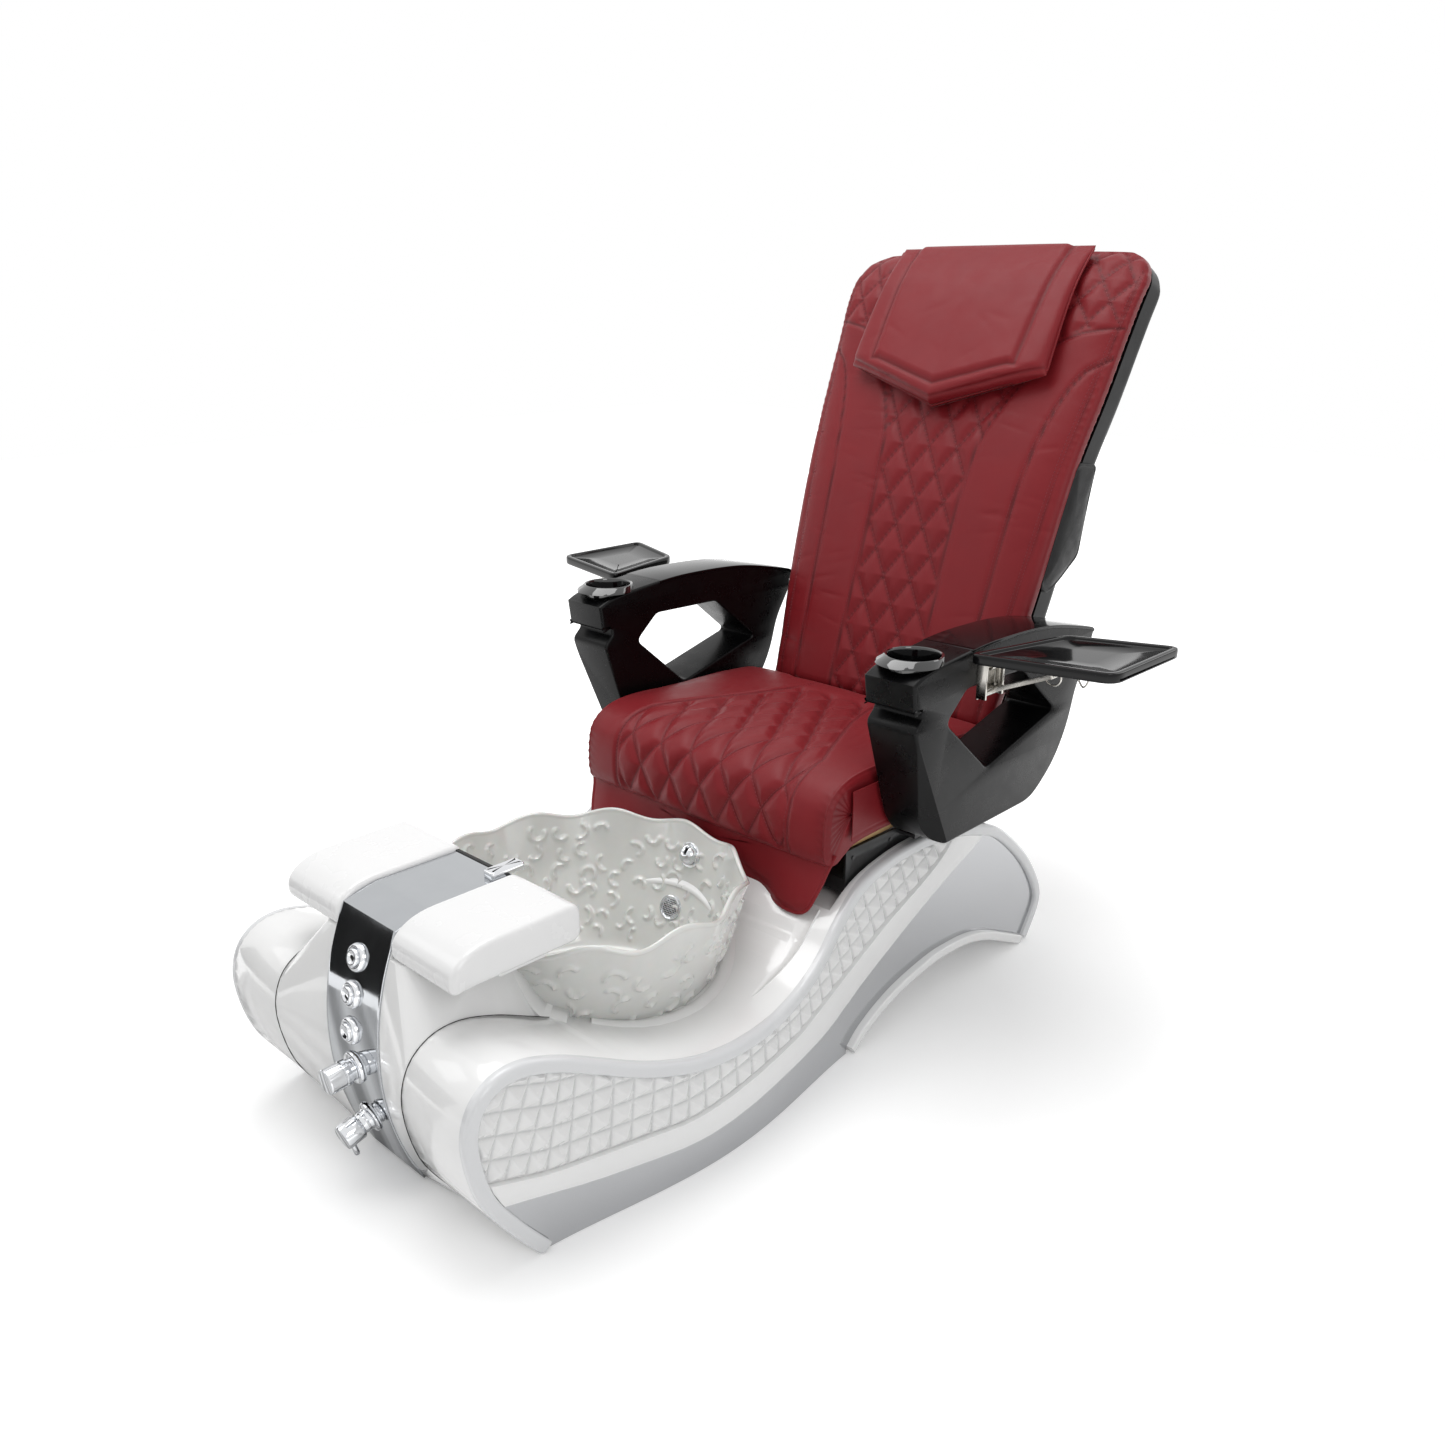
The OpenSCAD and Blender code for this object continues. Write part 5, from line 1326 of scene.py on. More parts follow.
        knob_rose = [
            (13.2, 0.2), (24.2, 0.2), (24.8, 1.0), (24.4, 3.4), (22.9, 4.9), (21.0, 5.25), (13.2, 5.25),
            (13.2, 0.2),
        ]
        faces = [self.face(z) for z in self.buttons]
        at_knob, at_mixer = self.face(self.knob_z), self.face(self.mixer_z)
        out, up, origin = np.array(at_mixer.z), np.array(at_mixer.y), np.array(at_mixer.origin)
        pin = Place(tuple(origin + 39.0 * out - 14.0 * up), (1, 0, 0), tuple(out), tuple(-up))
        buttons = [
            (f"push_button_{i}", f"air_button_{i}", f"air_button_{i}", 50, 64, [(cap, face)])
            for i, face in enumerate(faces, 1)
        ]
        for name, body, node, angle, around, shapes in (
            ("button_bezel_rings", "base", "button_bezels", 40, 72, [(bezel, face) for face in faces]),
            *buttons,
            ("flow_knob_head", "flow_knob", "flow_knob", 30, 64, [(knob, at_knob)]),
            ("mixer_rose", "base", "mixer_body", 35, 64, [(rose, at_mixer)]),
            ("mixer_handle", "mixer_lever", "mixer_lever", 35, 64, [(head, at_mixer), (lever, pin)]),
            ("knob_rose", "base", "", 40, 64, [(knob_rose, at_knob)]),
        ):
            fit(turned(name, shapes, around, angle=angle), body, CHROME, [node] if node else [])

    def spout(self) -> bpy.types.Object:
        """Builds the low filler spout that looks over the cover's rear edge."""
        outline = rounded_polygon([(36, -411), (60, -411), (60, -352), (36, -352)], 5, 5)
        steps = [(8, 421.2), (0.8, 421.2), (0, 422), (0, 430.5), (0.8, 432.2), (2.4, 433), (8, 433)]
        grid = offset_loops(outline, steps)
        return tube("filler_spout_head", grid, angle=45)

    def build(self) -> None:
        """Builds and dresses the whole console."""
        cover = self.cover()
        bores = [([(0.01, -9), (6.0, -9), (6.0, 5), (0.01, 5)], self.face(z)) for z in self.buttons]
        cut(cover, [turned("button_bores", bores, 40)])
        fit(cover, "base", COVER_SHEET, ["console_cover"])
        fit(self.edge_strip(), "base", RUBBER)
        for label, side in SIDES:
            fit(self.shoulder(side, label), "base", GELCOAT)
        self.pads()
        self.controls()
        fit(self.spout(), "base", CHROME, ["filler_spout"])


# ---- Soft goods --------------------------------------------------------------------------------


SETTLE_FRAMES = 20
CLOTH = {
    "use_pressure": True, "tension_stiffness": 25, "compression_stiffness": 12, "bending_stiffness": 0.6,
    "mass": 0.3,
}


def settle(grid: Array, pressure: float, cap: float) -> Array:
    """Lets a closed grid of cloth swell under air pressure and returns where its points went.

    Args:
        grid: points (rows, columns, 3), periodic in its columns, with collapsed first and last rows.
        pressure: the cloth's inner pressure.
        cap: greatest shift of a point in millimetres.

    Returns:
        The shift of each point, (rows, columns, 3).
    """
    rows, columns = grid.shape[:2]
    inner = grid[1:-1]
    points = np.vstack([inner.reshape(-1, 3), grid[0].mean(0), grid[-1].mean(0)]) * MM
    n = (rows - 2) * columns
    faces = grid_faces(rows - 2, columns, closed=True).tolist() + cap_fans(rows - 2, columns).tolist()
    mesh = bpy.data.meshes.new("settling")
    mesh.from_pydata(points.tolist(), [], faces)
    turn_out(mesh, merge=False, dissolve=False)
    obj = linked("settling", mesh)
    scene = bpy.context.scene
    cloth = obj.modifiers.new("Cloth", "CLOTH")
    for key, value in CLOTH.items():
        setattr(cloth.settings, key, value)
    cloth.settings.uniform_pressure_force = pressure
    cloth.settings.effector_weights.gravity = 0
    cloth.point_cache.frame_start, cloth.point_cache.frame_end = 1, SETTLE_FRAMES
    for frame in range(1, SETTLE_FRAMES + 1):
        scene.frame_set(frame)
    moved = evaluated(obj).to_mesh()
    co = np.empty(len(moved.vertices) * 3, np.float32)
    moved.vertices.foreach_get("co", co)
    evaluated(obj).to_mesh_clear()
    bpy.data.objects.remove(obj)
    scene.frame_set(1)
    shift = (co.reshape(-1, 3) - points) / MM
    size = np.linalg.norm(shift, axis=1, keepdims=True)
    shift *= np.minimum(1, cap / np.maximum(size, 1e-6))
    out = np.zeros_like(grid)
    out[1:-1] = shift[:n].reshape(rows - 2, columns, 3)
    out[0], out[-1] = shift[n], shift[n + 1]
    return out


def finer(grid: Array, rows: int, columns: int) -> Array:
    """Resamples a periodic grid linearly to more rows and columns."""
    i = np.linspace(0, grid.shape[0] - 1, rows)
    j = np.arange(columns) * grid.shape[1] / columns
    i0, j0 = np.minimum(i.astype(int), grid.shape[0] - 2), j.astype(int)
    fi, fj = (i - i0)[:, None, None], (j - j0)[None, :, None]
    j1 = (j0 + 1) % grid.shape[1]
    top = grid[i0][:, j0] * (1 - fj) + grid[i0][:, j1] * fj
    low = grid[i0 + 1][:, j0] * (1 - fj) + grid[i0 + 1][:, j1] * fj
    return top * (1 - fi) + low * fi


def puffed(coarse: Array, fine: Array, pressure: float, cap: float, share: float) -> Array:
    """Adds to a fine grid a share of the swelling that its coarse copy takes under pressure."""
    swell = settle(coarse, pressure, cap)
    swell -= swell.mean((0, 1))
    return fine + finer(swell, *fine.shape[:2]) * share


def outward(grid: Array) -> Array:
    """Unit normals of a closed grid from its two directions, turned away from its middle line."""
    normal = unit(np.cross(np.gradient(grid, axis=0), np.roll(grid, -1, 1) - np.roll(grid, 1, 1)))
    middle = grid.mean(1, keepdims=True)
    flip = np.sign((normal * (grid - middle)).sum(-1)[2:-2].mean())
    return normal * flip


STITCH_PITCH = 6.5
STITCH_LENGTH = 4.4
THREAD_R = 0.55


def stitches(path: Array, normal: Array) -> tuple[Array, Array]:
    """Lays short rounded threads along a path on a surface.

    Args:
        path: points of the seam.
        normal: surface normals there.

    Returns:
        Points and quads of all the threads.
    """
    run = lengths(path)
    s = np.arange(STITCH_PITCH, run[-1] - STITCH_PITCH / 2, STITCH_PITCH)
    if len(s) == 0:
        return np.zeros((0, 3)), np.zeros((0, 4), int)
    at, up = sample(s, run, path), sample(s, run, normal)
    ahead = unit(sample(s + 1, run, path) - at)
    aside = np.cross(ahead, up)
    t = np.array([-0.5, -0.34, 0.34, 0.5])
    fat = np.array([0.35, 1.0, 1.0, 0.35])
    sink = np.array([-0.9, 0.25, 0.25, -0.9])
    a = turn_angles(6)
    ring = fat[:, None, None] * THREAD_R * np.stack([np.cos(a), np.sin(a)], 1)[None]
    points = (
        at[:, None, None]
        + (t * STITCH_LENGTH)[None, :, None, None] * ahead[:, None, None]
        + ring[None, ..., :1] * aside[:, None, None]
        + (ring[None, ..., 1:] + (sink * THREAD_R)[None, :, None, None]) * up[:, None, None]
    )
    caps = [[0, 1, 2, 3], [0, 3, 4, 5], [18, 21, 20, 19], [18, 23, 22, 21]]
    faces = np.vstack([grid_faces(4, 6, closed=True), caps])
    return points.reshape(-1, 3), (faces[None] + np.arange(len(s))[:, None, None] * 24).reshape(-1, 4)


def on_grid(grid: Array, i: Array, j: Array) -> Array:
    """Reads a grid at fractional rows and columns, mixed linearly between its four nearest points."""
    i, j = np.clip(i, 0, grid.shape[0] - 1.001), np.clip(j, 0, grid.shape[1] - 1.001)
    i0, j0 = i.astype(int), j.astype(int)
    a, b = (i - i0)[:, None], (j - j0)[:, None]
    low = grid[i0, j0] * (1 - b) + grid[i0, j0 + 1] * b
    high = grid[i0 + 1, j0] * (1 - b) + grid[i0 + 1, j0 + 1] * b
    return low * (1 - a) + high * a


def runs(keep: Array, least: int = 6) -> list[slice]:
    """Finds the unbroken stretches of a mask that hold at least so many points."""
    edges = np.flatnonzero(np.diff(np.concatenate([[0], keep.astype(int), [0]])))
    return [slice(a, b) for a, b in zip(edges[::2], edges[1::2]) if b - a >= least]


def cell_relief(distance: Array, width: float) -> Array:
    """Puff of a quilted cell: 0 on a seam and rising to 1 as 1 - exp(-(d/w)^1.5)."""
    return 1 - np.exp(-((distance / width) ** 1.5))


def seam(distance: Array, width: float) -> Array:
    """Narrow valley of a seam: exp(-(d/w)^2)."""
    return np.exp(-((distance / width) ** 2))


def lattice(x: Array, y: Array, cell: tuple[float, float]) -> Array:
    """Distance to a lattice of diamonds of this width and height.

    Its lines are x / width + y / height and x / width - y / height at whole numbers and a half.
    """
    (width, height), total = cell, math.hypot(*cell)
    u, v = x / width, y / height
    return np.minimum(np.abs((u + v) % 1.0 - 0.5), np.abs((u - v) % 1.0 - 0.5)) * (width * height / total)


@dataclass(frozen=True)
class Folds:
    """Short random folds over a cushion, each exp(-(across / width)^2 - (along / length)^2) deep.

    Attributes:
        seed: seed of the random draw.
        count: number of folds.
        x: range of their places across the cushion.
        up: range of their places up the cushion.
        turn: greatest turn either way.
        depth: range of their depths.
        size: width and length.
        upright: whether they run up the cushion and not across it.
        mirrored: whether a draw puts each on either side.
    """

    seed: int
    count: int
    x: tuple[float, float]
    up: tuple[float, float]
    turn: float
    depth: tuple[float, float]
    size: tuple[float, float]
    upright: bool = False
    mirrored: bool = False

    def press(self, relief: Array, x: Array, up: Array, share: Array) -> None:
        """Presses the folds into a relief.

        Args:
            relief: the height of each point, which is changed.
            x: its place across the cushion.
            up: its place up the cushion.
            share: how much of a fold shows there.
        """
        draw = np.random.default_rng(self.seed)
        for _ in range(self.count):
            at_x, at_up = draw.uniform(*self.x), draw.uniform(*self.up)
            turn = draw.uniform(-self.turn, self.turn)
            if self.mirrored and draw.random() >= 0.5:
                at_x = -at_x
            p, q = (x - at_x, up - at_up) if self.upright else (up - at_up, x - at_x)
            across = p * math.cos(turn) + q * math.sin(turn)
            along = -p * math.sin(turn) + q * math.cos(turn)
            shape = np.exp(-((across / self.size[0]) ** 2) - (along / self.size[1]) ** 2)
            relief -= draw.uniform(*self.depth) * shape * share


@dataclass
class SeatCushion:
    """Seat cushion: a quilted panel over the waterfall front that narrows rearwards, and plain wings.

    The panel's lattice is two families of lines, x / cell + v and x / cell - v at whole numbers and a half,
    where v is read from the distance run up the cushion.
    """

    half_w: float = 297.0
    cell: float = 73.0
    row_up: tuple = (-60, 0, 66, 122, 226, 560)
    row_v: tuple = (-0.45, 0, 0.5, 1.0, 1.5, 4.2)
    seam_up: tuple = (0, 150, 205, 270, 378, 435, 500, 560)
    seam_x: tuple = (206, 209, 204, 174, 124, 105, 88, 82)

    def loop(self, count: int) -> Array:
        """Closed side view of the cushion, from the bottom rear round the front and over the top."""
        corners = [
            (536, 380), (300, 376), (150, 372), (104, 357), (80, 347), (63, 352), (55, 372), (55, 404),
            (58, 432), (66, 457), (87, 476), (124, 488), (180, 493), (260, 493), (360, 491), (450, 487),
            (512, 479), (534, 460), (540, 430),
        ]
        line = smooth_line([corners[-1], *corners, corners[0]], 10)[10:-10]
        return evenly(line, count, closed=True)

    def form(self, rows: int, columns: int) -> Array:
        """Carries the side view across the width and rolls both ends to the side panels.

        Args:
            rows: stations across the width.
            columns: points round the side view.

        Returns:
            The closed grid.
        """
        side = self.loop(columns)
        spine = np.stack([np.clip(side[:, 0], 116, 486), np.full(len(side), 430.0)], 1)
        w = np.linspace(-1, 1, rows)
        flat_to, flat_x, rolled = 0.86, 0.955, 0.62
        edge = np.clip((np.abs(w) - flat_to) / 0.14, 0, 1)
        outer_x = flat_x + 0.045 * np.sin(edge * math.pi / 2)
        x_share = np.where(np.abs(w) > flat_to, outer_x, np.abs(w) / flat_to * flat_x)
        closing = 0.90 * (1 - smoothstep(rolled, 1.0, edge))
        shrink = np.where(edge < rolled, 1 - 0.10 * (edge / rolled) ** 2.2, closing)
        flat = spine[None] + shrink[:, None, None] * (side - spine)[None]
        x = np.sign(w) * x_share * self.half_w
        grid = np.concatenate([np.broadcast_to(x[:, None, None], (*flat.shape[:2], 1)), flat], -1)
        z = grid[..., 2]
        upper = smoothstep(430, 470, z)
        crown = 1 - np.abs(w)[:, None] ** 4
        grid[..., 2] += upper * (6 * crown - 5.0)
        front = smoothstep(150, 60, grid[..., 1])
        grid[..., 1] += front * 9 * np.abs(w)[:, None] ** 6
        return grid

    def cushion(self) -> None:
        """Builds the cushion with its quilting, seams and threads."""
        rows, columns = 330, 300
        grid = puffed(self.form(74, 96), self.form(rows, columns), 2.2, 7.0, 0.8)
        normal = outward(grid)
        run = self.loop(columns)
        length = lengths(run)
        start = length[np.argmin(np.hypot(run[:, 0] - 64, run[:, 1] - 352))]
        up = (length - start)[None, :] * np.ones((rows, 1))
        x = grid[..., 0]
        u, v = x / self.cell, np.interp(up, self.row_up, self.row_v)
        tall = np.interp(up, [0, 66, 122, 226, 300], [132, 124, 150, 170, 124])
        slant = self.cell * tall / np.hypot(self.cell, tall)
        share = smoothstep(190, 260, up)
        long_lines = np.abs((u + v) % 1.0 - 0.5) * slant
        distance = np.minimum(long_lines, np.abs((u - v) % 1.0 - 0.5) * slant + 3.5 * share)
        edge_x = np.interp(up, self.seam_up, self.seam_x)
        side_seam = np.abs(np.abs(x) - edge_x)
        live = smoothstep(-4, 8, up) * smoothstep(510, 470, up)
        in_panel = smoothstep(0, 14, edge_x - np.abs(x))
        puff = cell_relief(distance, 10.0) * in_panel * live
        relief = 7.5 * (puff - 1.0) * in_panel * live
        relief -= 3.4 * seam(side_seam, 4.5) * live
        pucker = seam(long_lines - 3, 9) * (0.5 + 0.5 * np.cos(up / 44.0 * 2 * math.pi)) * share * in_panel
        relief -= 2.4 * pucker * live
        wing = np.abs(x) / self.half_w
        pipe_line = np.abs(wing - 0.955)
        edge_pipe = seam(pipe_line, 0.006) * smoothstep(-30, 10, up) * live
        relief += 1.6 * edge_pipe
        ruche = smoothstep(0.86, 0.97, wing) * smoothstep(190, 90, up) * smoothstep(-8, 16, up)
        relief -= 1.7 * ruche * np.abs(np.sin(up / 15.0 * math.pi + 2.2 * np.sin(x / 23.0)))
        wrinkles = Folds(3, 26, (-270, 270), (60, 480), 0.6, (0.2, 0.6), (6, 38), upright=True)
        wrinkles.press(relief, x, up, live)
        # Painted shade: the quilting lines, the side seams and the ruched folds are darkened.
        crease = (
            0.5 * seam(distance, 2.2) * in_panel * live + 0.6 * seam(side_seam, 2.0) * live + 0.25 * ruche
        )
        grid = grid + relief[..., None] * normal
        cushion = tube("seat_cushion_leather", grid, ends=False, crease=crease, angle=80)
        fit(cushion, "seat", LEATHER, ["seat_cushion"])
        self.threads(grid, normal, up[0])

    def threads(self, grid: Array, normal: Array, up: Array) -> None:
        """Lays thread beside both side seams of the quilted panel and along its lattice."""
        middle = int(np.argmin(np.abs(up - 300)))
        rows, columns = np.arange(grid.shape[0]), np.arange(grid.shape[1])
        lines = []
        along = np.linspace(2, 540, 540)
        width = np.interp(along, self.seam_up, self.seam_x)
        lines += [(side * (width + gap), along) for side in (-1, 1) for gap in (-3.6, 3.6)]
        v = np.interp(along, self.row_up, self.row_v)
        for k in range(-8, 8):
            for way in (-1, 1):
                x = self.cell * (k + 0.5 + way * v)
                lines += [(x[r], along[r]) for r in runs((np.abs(x) < width - 7) & (along < 480))]
        parts = []
        for x, run in lines:
            i, j = np.interp(x, grid[:, middle, 0], rows), np.interp(run, up, columns)
            parts.append(stitches(on_grid(grid, i, j), on_grid(normal, i, j)))
        fit(make_object("seat_seam_threads", *joined(parts), tidy=False), "seat", THREAD)

    def flap(self) -> bpy.types.Object:
        """Builds the flat flap in front of the well, with rounded lower corners and a hemmed edge."""
        outline = rounded_polygon(
            [
                (-298, 374), (-286, 346), (-281, 318), (-262, 262), (262, 262), (281, 318), (286, 346),
                (298, 374),
            ],
            [2, 20, 20, 34, 34, 20, 20, 2], 8
        )
        steps = [(0.0, 0.0), (0.0, 1.1), (0.9, 2.0), (4.5, 2.1), (6.0, 1.0), (7.6, 1.9)]
        front = list(offset_loops(evenly(outline, 300, closed=True), steps))
        middle = np.array([0, 322, 1.9])
        front += [middle + share * (front[-1] - middle) for share in (0.85, 0.65, 0.4, 0.15)]
        back = [row * [1, 1, -0.8] for row in front[:0:-1]]
        grid = np.stack([*back, *front])
        x, z, lift = grid[..., 0], grid[..., 1], grid[..., 2]
        lean = 30 * smoothstep(374, 262, z) * smoothstep(130, 220, np.abs(x))
        grid = np.stack([x, 77.7 - lift - lean, z], -1)
        return tube("front_flap_leather", grid, angle=60)

    def side_flap(self, side: float, label: str) -> bpy.types.Object:
        """Builds the pleated side flap of the cover between the cushion and the armrest."""
        y, z = np.linspace(112, 446, 120), np.linspace(0, 1, 40)
        low = 391 + 2.0 * np.cos(y / 30.0)
        height = low[:, None] + z[None] * (474 - low)[:, None]
        wave = 1.0 * np.cos(y / 16.0 + 0.6 * np.sin(y / 37.0))[:, None] * np.sin(math.pi * z)[None]
        hem = 0.8 * np.exp(-(((height - low[:, None] - 6) / 1.6) ** 2))
        x = side * (299.6 + wave - hem)
        front = np.stack([x, np.broadcast_to(y[:, None], height.shape), height], -1)
        return slab(f"seat_side_flap_{label}", front, (-side * 1.6, 0, 0), angle=60)

    def build(self) -> None:
        """Builds the cushion, the front flap and the two side flaps."""
        self.cushion()
        flap = fit(self.flap(), "seat", LEATHER, ["front_skirt"])
        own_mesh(flap)
        for label, side in SIDES:
            fit(self.side_flap(side, label), "seat", LEATHER, ["seat_side_covers"])


@dataclass
class Back:
    """Reclined back: quilted cushion, head pillow, rear shell and pouches.

    Points are (x, t, d): across, up along the back, and forward of its straight face line.
    """

    recline: float = 21.5
    foot: tuple = (548.0, 472.0)
    length: float = 896.0
    low: float = -24.0
    thick: float = 45.0
    cell: tuple = (64.0, 104.0)
    cell_t: float = 20.0
    top_cell: tuple = (60.0, 84.0)
    top_at: tuple = (10.0, 700.0)
    pillow_w: float = 220.0
    pillow_low: float = 632.0
    pillow_dip: float = 72.0
    pillow_t: float = 56.0
    pillow_taper: float = 0.70
    widths: tuple = (
        (0, 264), (0.15, 280), (0.3, 292), (0.53, 305), (0.7, 318), (0.9, 328), (0.95, 322), (0.98, 304),
        (1, 272),
    )
    bow_line: tuple = ((0, 0), (0.27, 16), (0.52, 25), (0.71, 14), (0.89, 1), (1, -30))

    def place(self, points: Array) -> Array:
        """Moves (x, t, d) points to the object's frame."""
        a = math.radians(self.recline)
        x, t, d = points[..., 0], points[..., 1], points[..., 2]
        y = self.foot[0] + math.sin(a) * t - math.cos(a) * d
        z = self.foot[1] + math.cos(a) * t + math.sin(a) * d
        return np.stack([x, y, z], -1)

    def half_w(self, t: Array) -> Array:
        """Half width of the back at t."""
        return second_at(np.asarray(t) / self.length, smooth_line(self.widths, 8))

    def bow(self, t: Array) -> Array:
        """How far the back's side view bows forward at t."""
        return second_at(np.asarray(t) / self.length, smooth_line(self.bow_line, 8))

    @staticmethod
    def ring(columns: int, sharp: float = 4.5) -> tuple[Array, Array]:
        """Cross-section of a cushion: s from -1 to 1 and thickness share from 0 to 1, closed.

        The section is the superellipse |s|^n + |2h-1|^n = 1, with more points on its front.

        Args:
            columns: number of points.
            sharp: the exponent n.

        Returns:
            s and h of each point, from the middle of the rear.
        """
        a = turn_angles(columns) - math.pi / 2
        c, s = np.cos(a), np.sin(a)
        r = (np.abs(c) ** sharp + np.abs(s) ** sharp) ** (-1 / sharp)
        flat = 6.0
        line = evenly(np.stack([r * c * flat, r * s], 1), columns, closed=True)
        return line[:, 0] / flat, (line[:, 1] + 1) / 2

    def form(self, rows: int, columns: int) -> tuple[Array, Array, Array]:
        """Builds the back cushion's plain form.

        Args:
            rows: stations up the back.
            columns: points round the section.

        Returns:
            The grid in (x, t, d), the s of each column and the t of each row.
        """
        s, h = self.ring(columns)
        k = np.linspace(0, 1, rows)
        k = 0.82 * k + 0.09 * (1 - np.cos(np.pi * k))
        t = self.low + (self.length - self.low) * k
        round_off = round_end((t - self.low) / 30.0, 2.2) * round_end((self.length - t) / 34.0, 2.2)
        crown = 8.0 * (1 - np.abs(s)[None] ** 4)
        full = self.thick + crown * smoothstep(0.5, 0.9, h)[None]
        d = (h[None] - 0.5) * full * round_off[:, None] + full * 0.5 - self.thick
        width = self.half_w(t) * (0.985 + 0.015 * round_off)
        x = s[None] * width[:, None] * np.where(round_off < 0.05, 0.0, 1)[:, None]
        d = d + self.bow(t)[:, None]
        return np.stack([x, np.broadcast_to(t[:, None], x.shape), d], -1), s, t

    def seams(self) -> dict[str, Array]:
        """Lines (x, t) of the sewn seams on the right half of the face."""
        lines = {
            "panel": [
                (102, -20), (100, 100), (96, 260), (99, 400), (108, 500), (128, 560), (154, 610), (186, 660),
            ],
            "outer": [
                (196, -20), (200, 140), (206, 300), (214, 420), (226, 510), (246, 590), (276, 650),
                (330, 690),
            ],
            "edge": [
                (238, -20), (252, 140), (266, 300), (278, 440), (290, 560), (302, 660), (312, 760),
                (316, 850), (300, 915),
            ],
            "shoulder": [(120, 640), (190, 690), (250, 722), (345, 742)],
        }
        return {key: smooth_line(line, 8) for key, line in lines.items()}

    def cushion(self) -> None:
        """Builds the back cushion with its quilting, seams and ruched edges."""
        grid, s, t = self.form(420, 216)
        grid = puffed(self.form(110, 96)[0], grid, 1.6, 6.0, 0.8)
        normal = outward(grid)
        x, tt = grid[..., 0], grid[..., 1]
        ax = np.abs(x)
        lines = self.seams()
        face = smoothstep(0.2, 0.6, normal[..., 2])
        panel_x = second_at(tt, lines["panel"][:, ::-1])
        diamonds = lattice(x, tt - self.cell_t, self.cell)
        in_panel = smoothstep(0, 9, panel_x - ax) * face * smoothstep(680, 640, tt)
        top_cells = lattice(ax - self.top_at[0], tt - self.top_at[1], self.top_cell)
        shoulder_t = second_at(ax, lines["shoulder"])
        edge_x = second_at(tt, lines["edge"][:, ::-1])
        on_top = smoothstep(0, 10, tt - shoulder_t) * face * smoothstep(0, 8, edge_x - ax)
        relief = -6.5 * (1 - cell_relief(diamonds, 10)) * in_panel
        relief -= 5.5 * (1 - cell_relief(top_cells, 9)) * on_top
        folds = {key: segment_distance(ax, tt, line[::4]) + 40 * (1 - face) for key, line in lines.items()}
        relief -= (
            3.6 * seam(folds["panel"], 4.5) + 3.0 * seam(folds["outer"], 5.0) + 2.0 * seam(folds["edge"], 4.0)
        )
        relief -= 3.4 * seam(folds["shoulder"], 4.5)
        side = smoothstep(0.90, 0.985, np.abs(s))[None] * smoothstep(420, 540, tt) * smoothstep(870, 800, tt)
        relief -= 0.9 * side * np.abs(np.sin(tt / 17.0 * math.pi + 1.6 * np.sin(tt / 41.0)))
        wrinkles = Folds(7, 60, (110, 300), (10, 620), 0.35, (0.25, 0.8), (5, 30), mirrored=True)
        wrinkles.press(relief, x, tt, face)
        # Painted shade: the diamond lines, the sewn seams and the side edge are darkened.
        crease = 0.65 * seam(diamonds, 2.2) * in_panel + 0.65 * seam(top_cells, 2.2) * on_top
        seam_shade = sum(seam(folds[key], 2.2) for key in ("panel", "outer", "shoulder"))
        crease += 0.8 * seam_shade + 0.4 * seam(folds["edge"], 1.8)
        grid = grid + relief[..., None] * normal
        obj = tube("back_cushion_leather", self.place(grid), crease=crease, angle=80)
        fit(obj, "backrest", LEATHER, ["back_cushion"])
        self.threads(grid, normal, s, t, lines)

    def threads(self, grid: Array, normal: Array, s: Array, t: Array, lines: dict[str, Array]) -> None:
        """Lays thread beside the sewn seams and along the diamonds of the panel and the shoulders."""
        face = np.nonzero(normal[grid.shape[0] // 2, :, 2] > 0.3)[0]
        face = face[np.argsort(s[face])]
        rows, marks = np.arange(grid.shape[0]), []
        for key, gaps in (
            ("outer", (-4.0, 4.0)), ("edge", (-3.0, 3.4)), ("shoulder", (4.2,)), ("panel", (4.0,))
        ):
            for gap in gaps:
                path = lines[key] + gap * right_of(lines[key])
                stretches = runs((path[:, 1] > 6) & (path[:, 1] < 860))
                marks += [path[r] * [side, 1] for side in (-1, 1) for r in stretches]
        tt = np.linspace(-8, 884, 900)
        panel_x = second_at(tt, lines["panel"][:, ::-1]) - 6
        edge_x = second_at(tt, lines["edge"][:, ::-1]) - 6
        (cell_w, cell_h), (top_w, top_h), (top_x, top_t) = self.cell, self.top_cell, self.top_at
        for k in range(-9, 12):
            for way in (-1, 1):
                x = cell_w * (k + 0.5 + way * (tt - self.cell_t) / cell_h)
                marks += [np.stack([x, tt], 1)[r] for r in runs((np.abs(x) < panel_x) & (tt < 640))]
                x = top_x + top_w * (k + 0.5 + way * (tt - top_t) / top_h)
                shoulder = second_at(x, lines["shoulder"]) + 9
                for r in runs((x > 205) & (x < edge_x) & (tt > shoulder)):
                    marks += [np.stack([x, tt], 1)[r] * [side, 1] for side in (-1, 1)]
        parts = []
        for mark in marks:
            i = np.interp(mark[:, 1], t, rows)
            share = np.clip(mark[:, 0] / self.half_w(mark[:, 1]), -0.985, 0.985)
            j = np.interp(
                share, s[face], face[0] + np.arange(len(face)) * (face[-1] - face[0]) / (len(face) - 1)
            )
            at, up = on_grid(grid, i, j), on_grid(normal, i, j)
            parts.append(stitches(self.place(at), self.place(up) - self.place(np.zeros(3))))
        fit(make_object("back_seam_threads", *joined(parts), tidy=False), "backrest", THREAD)

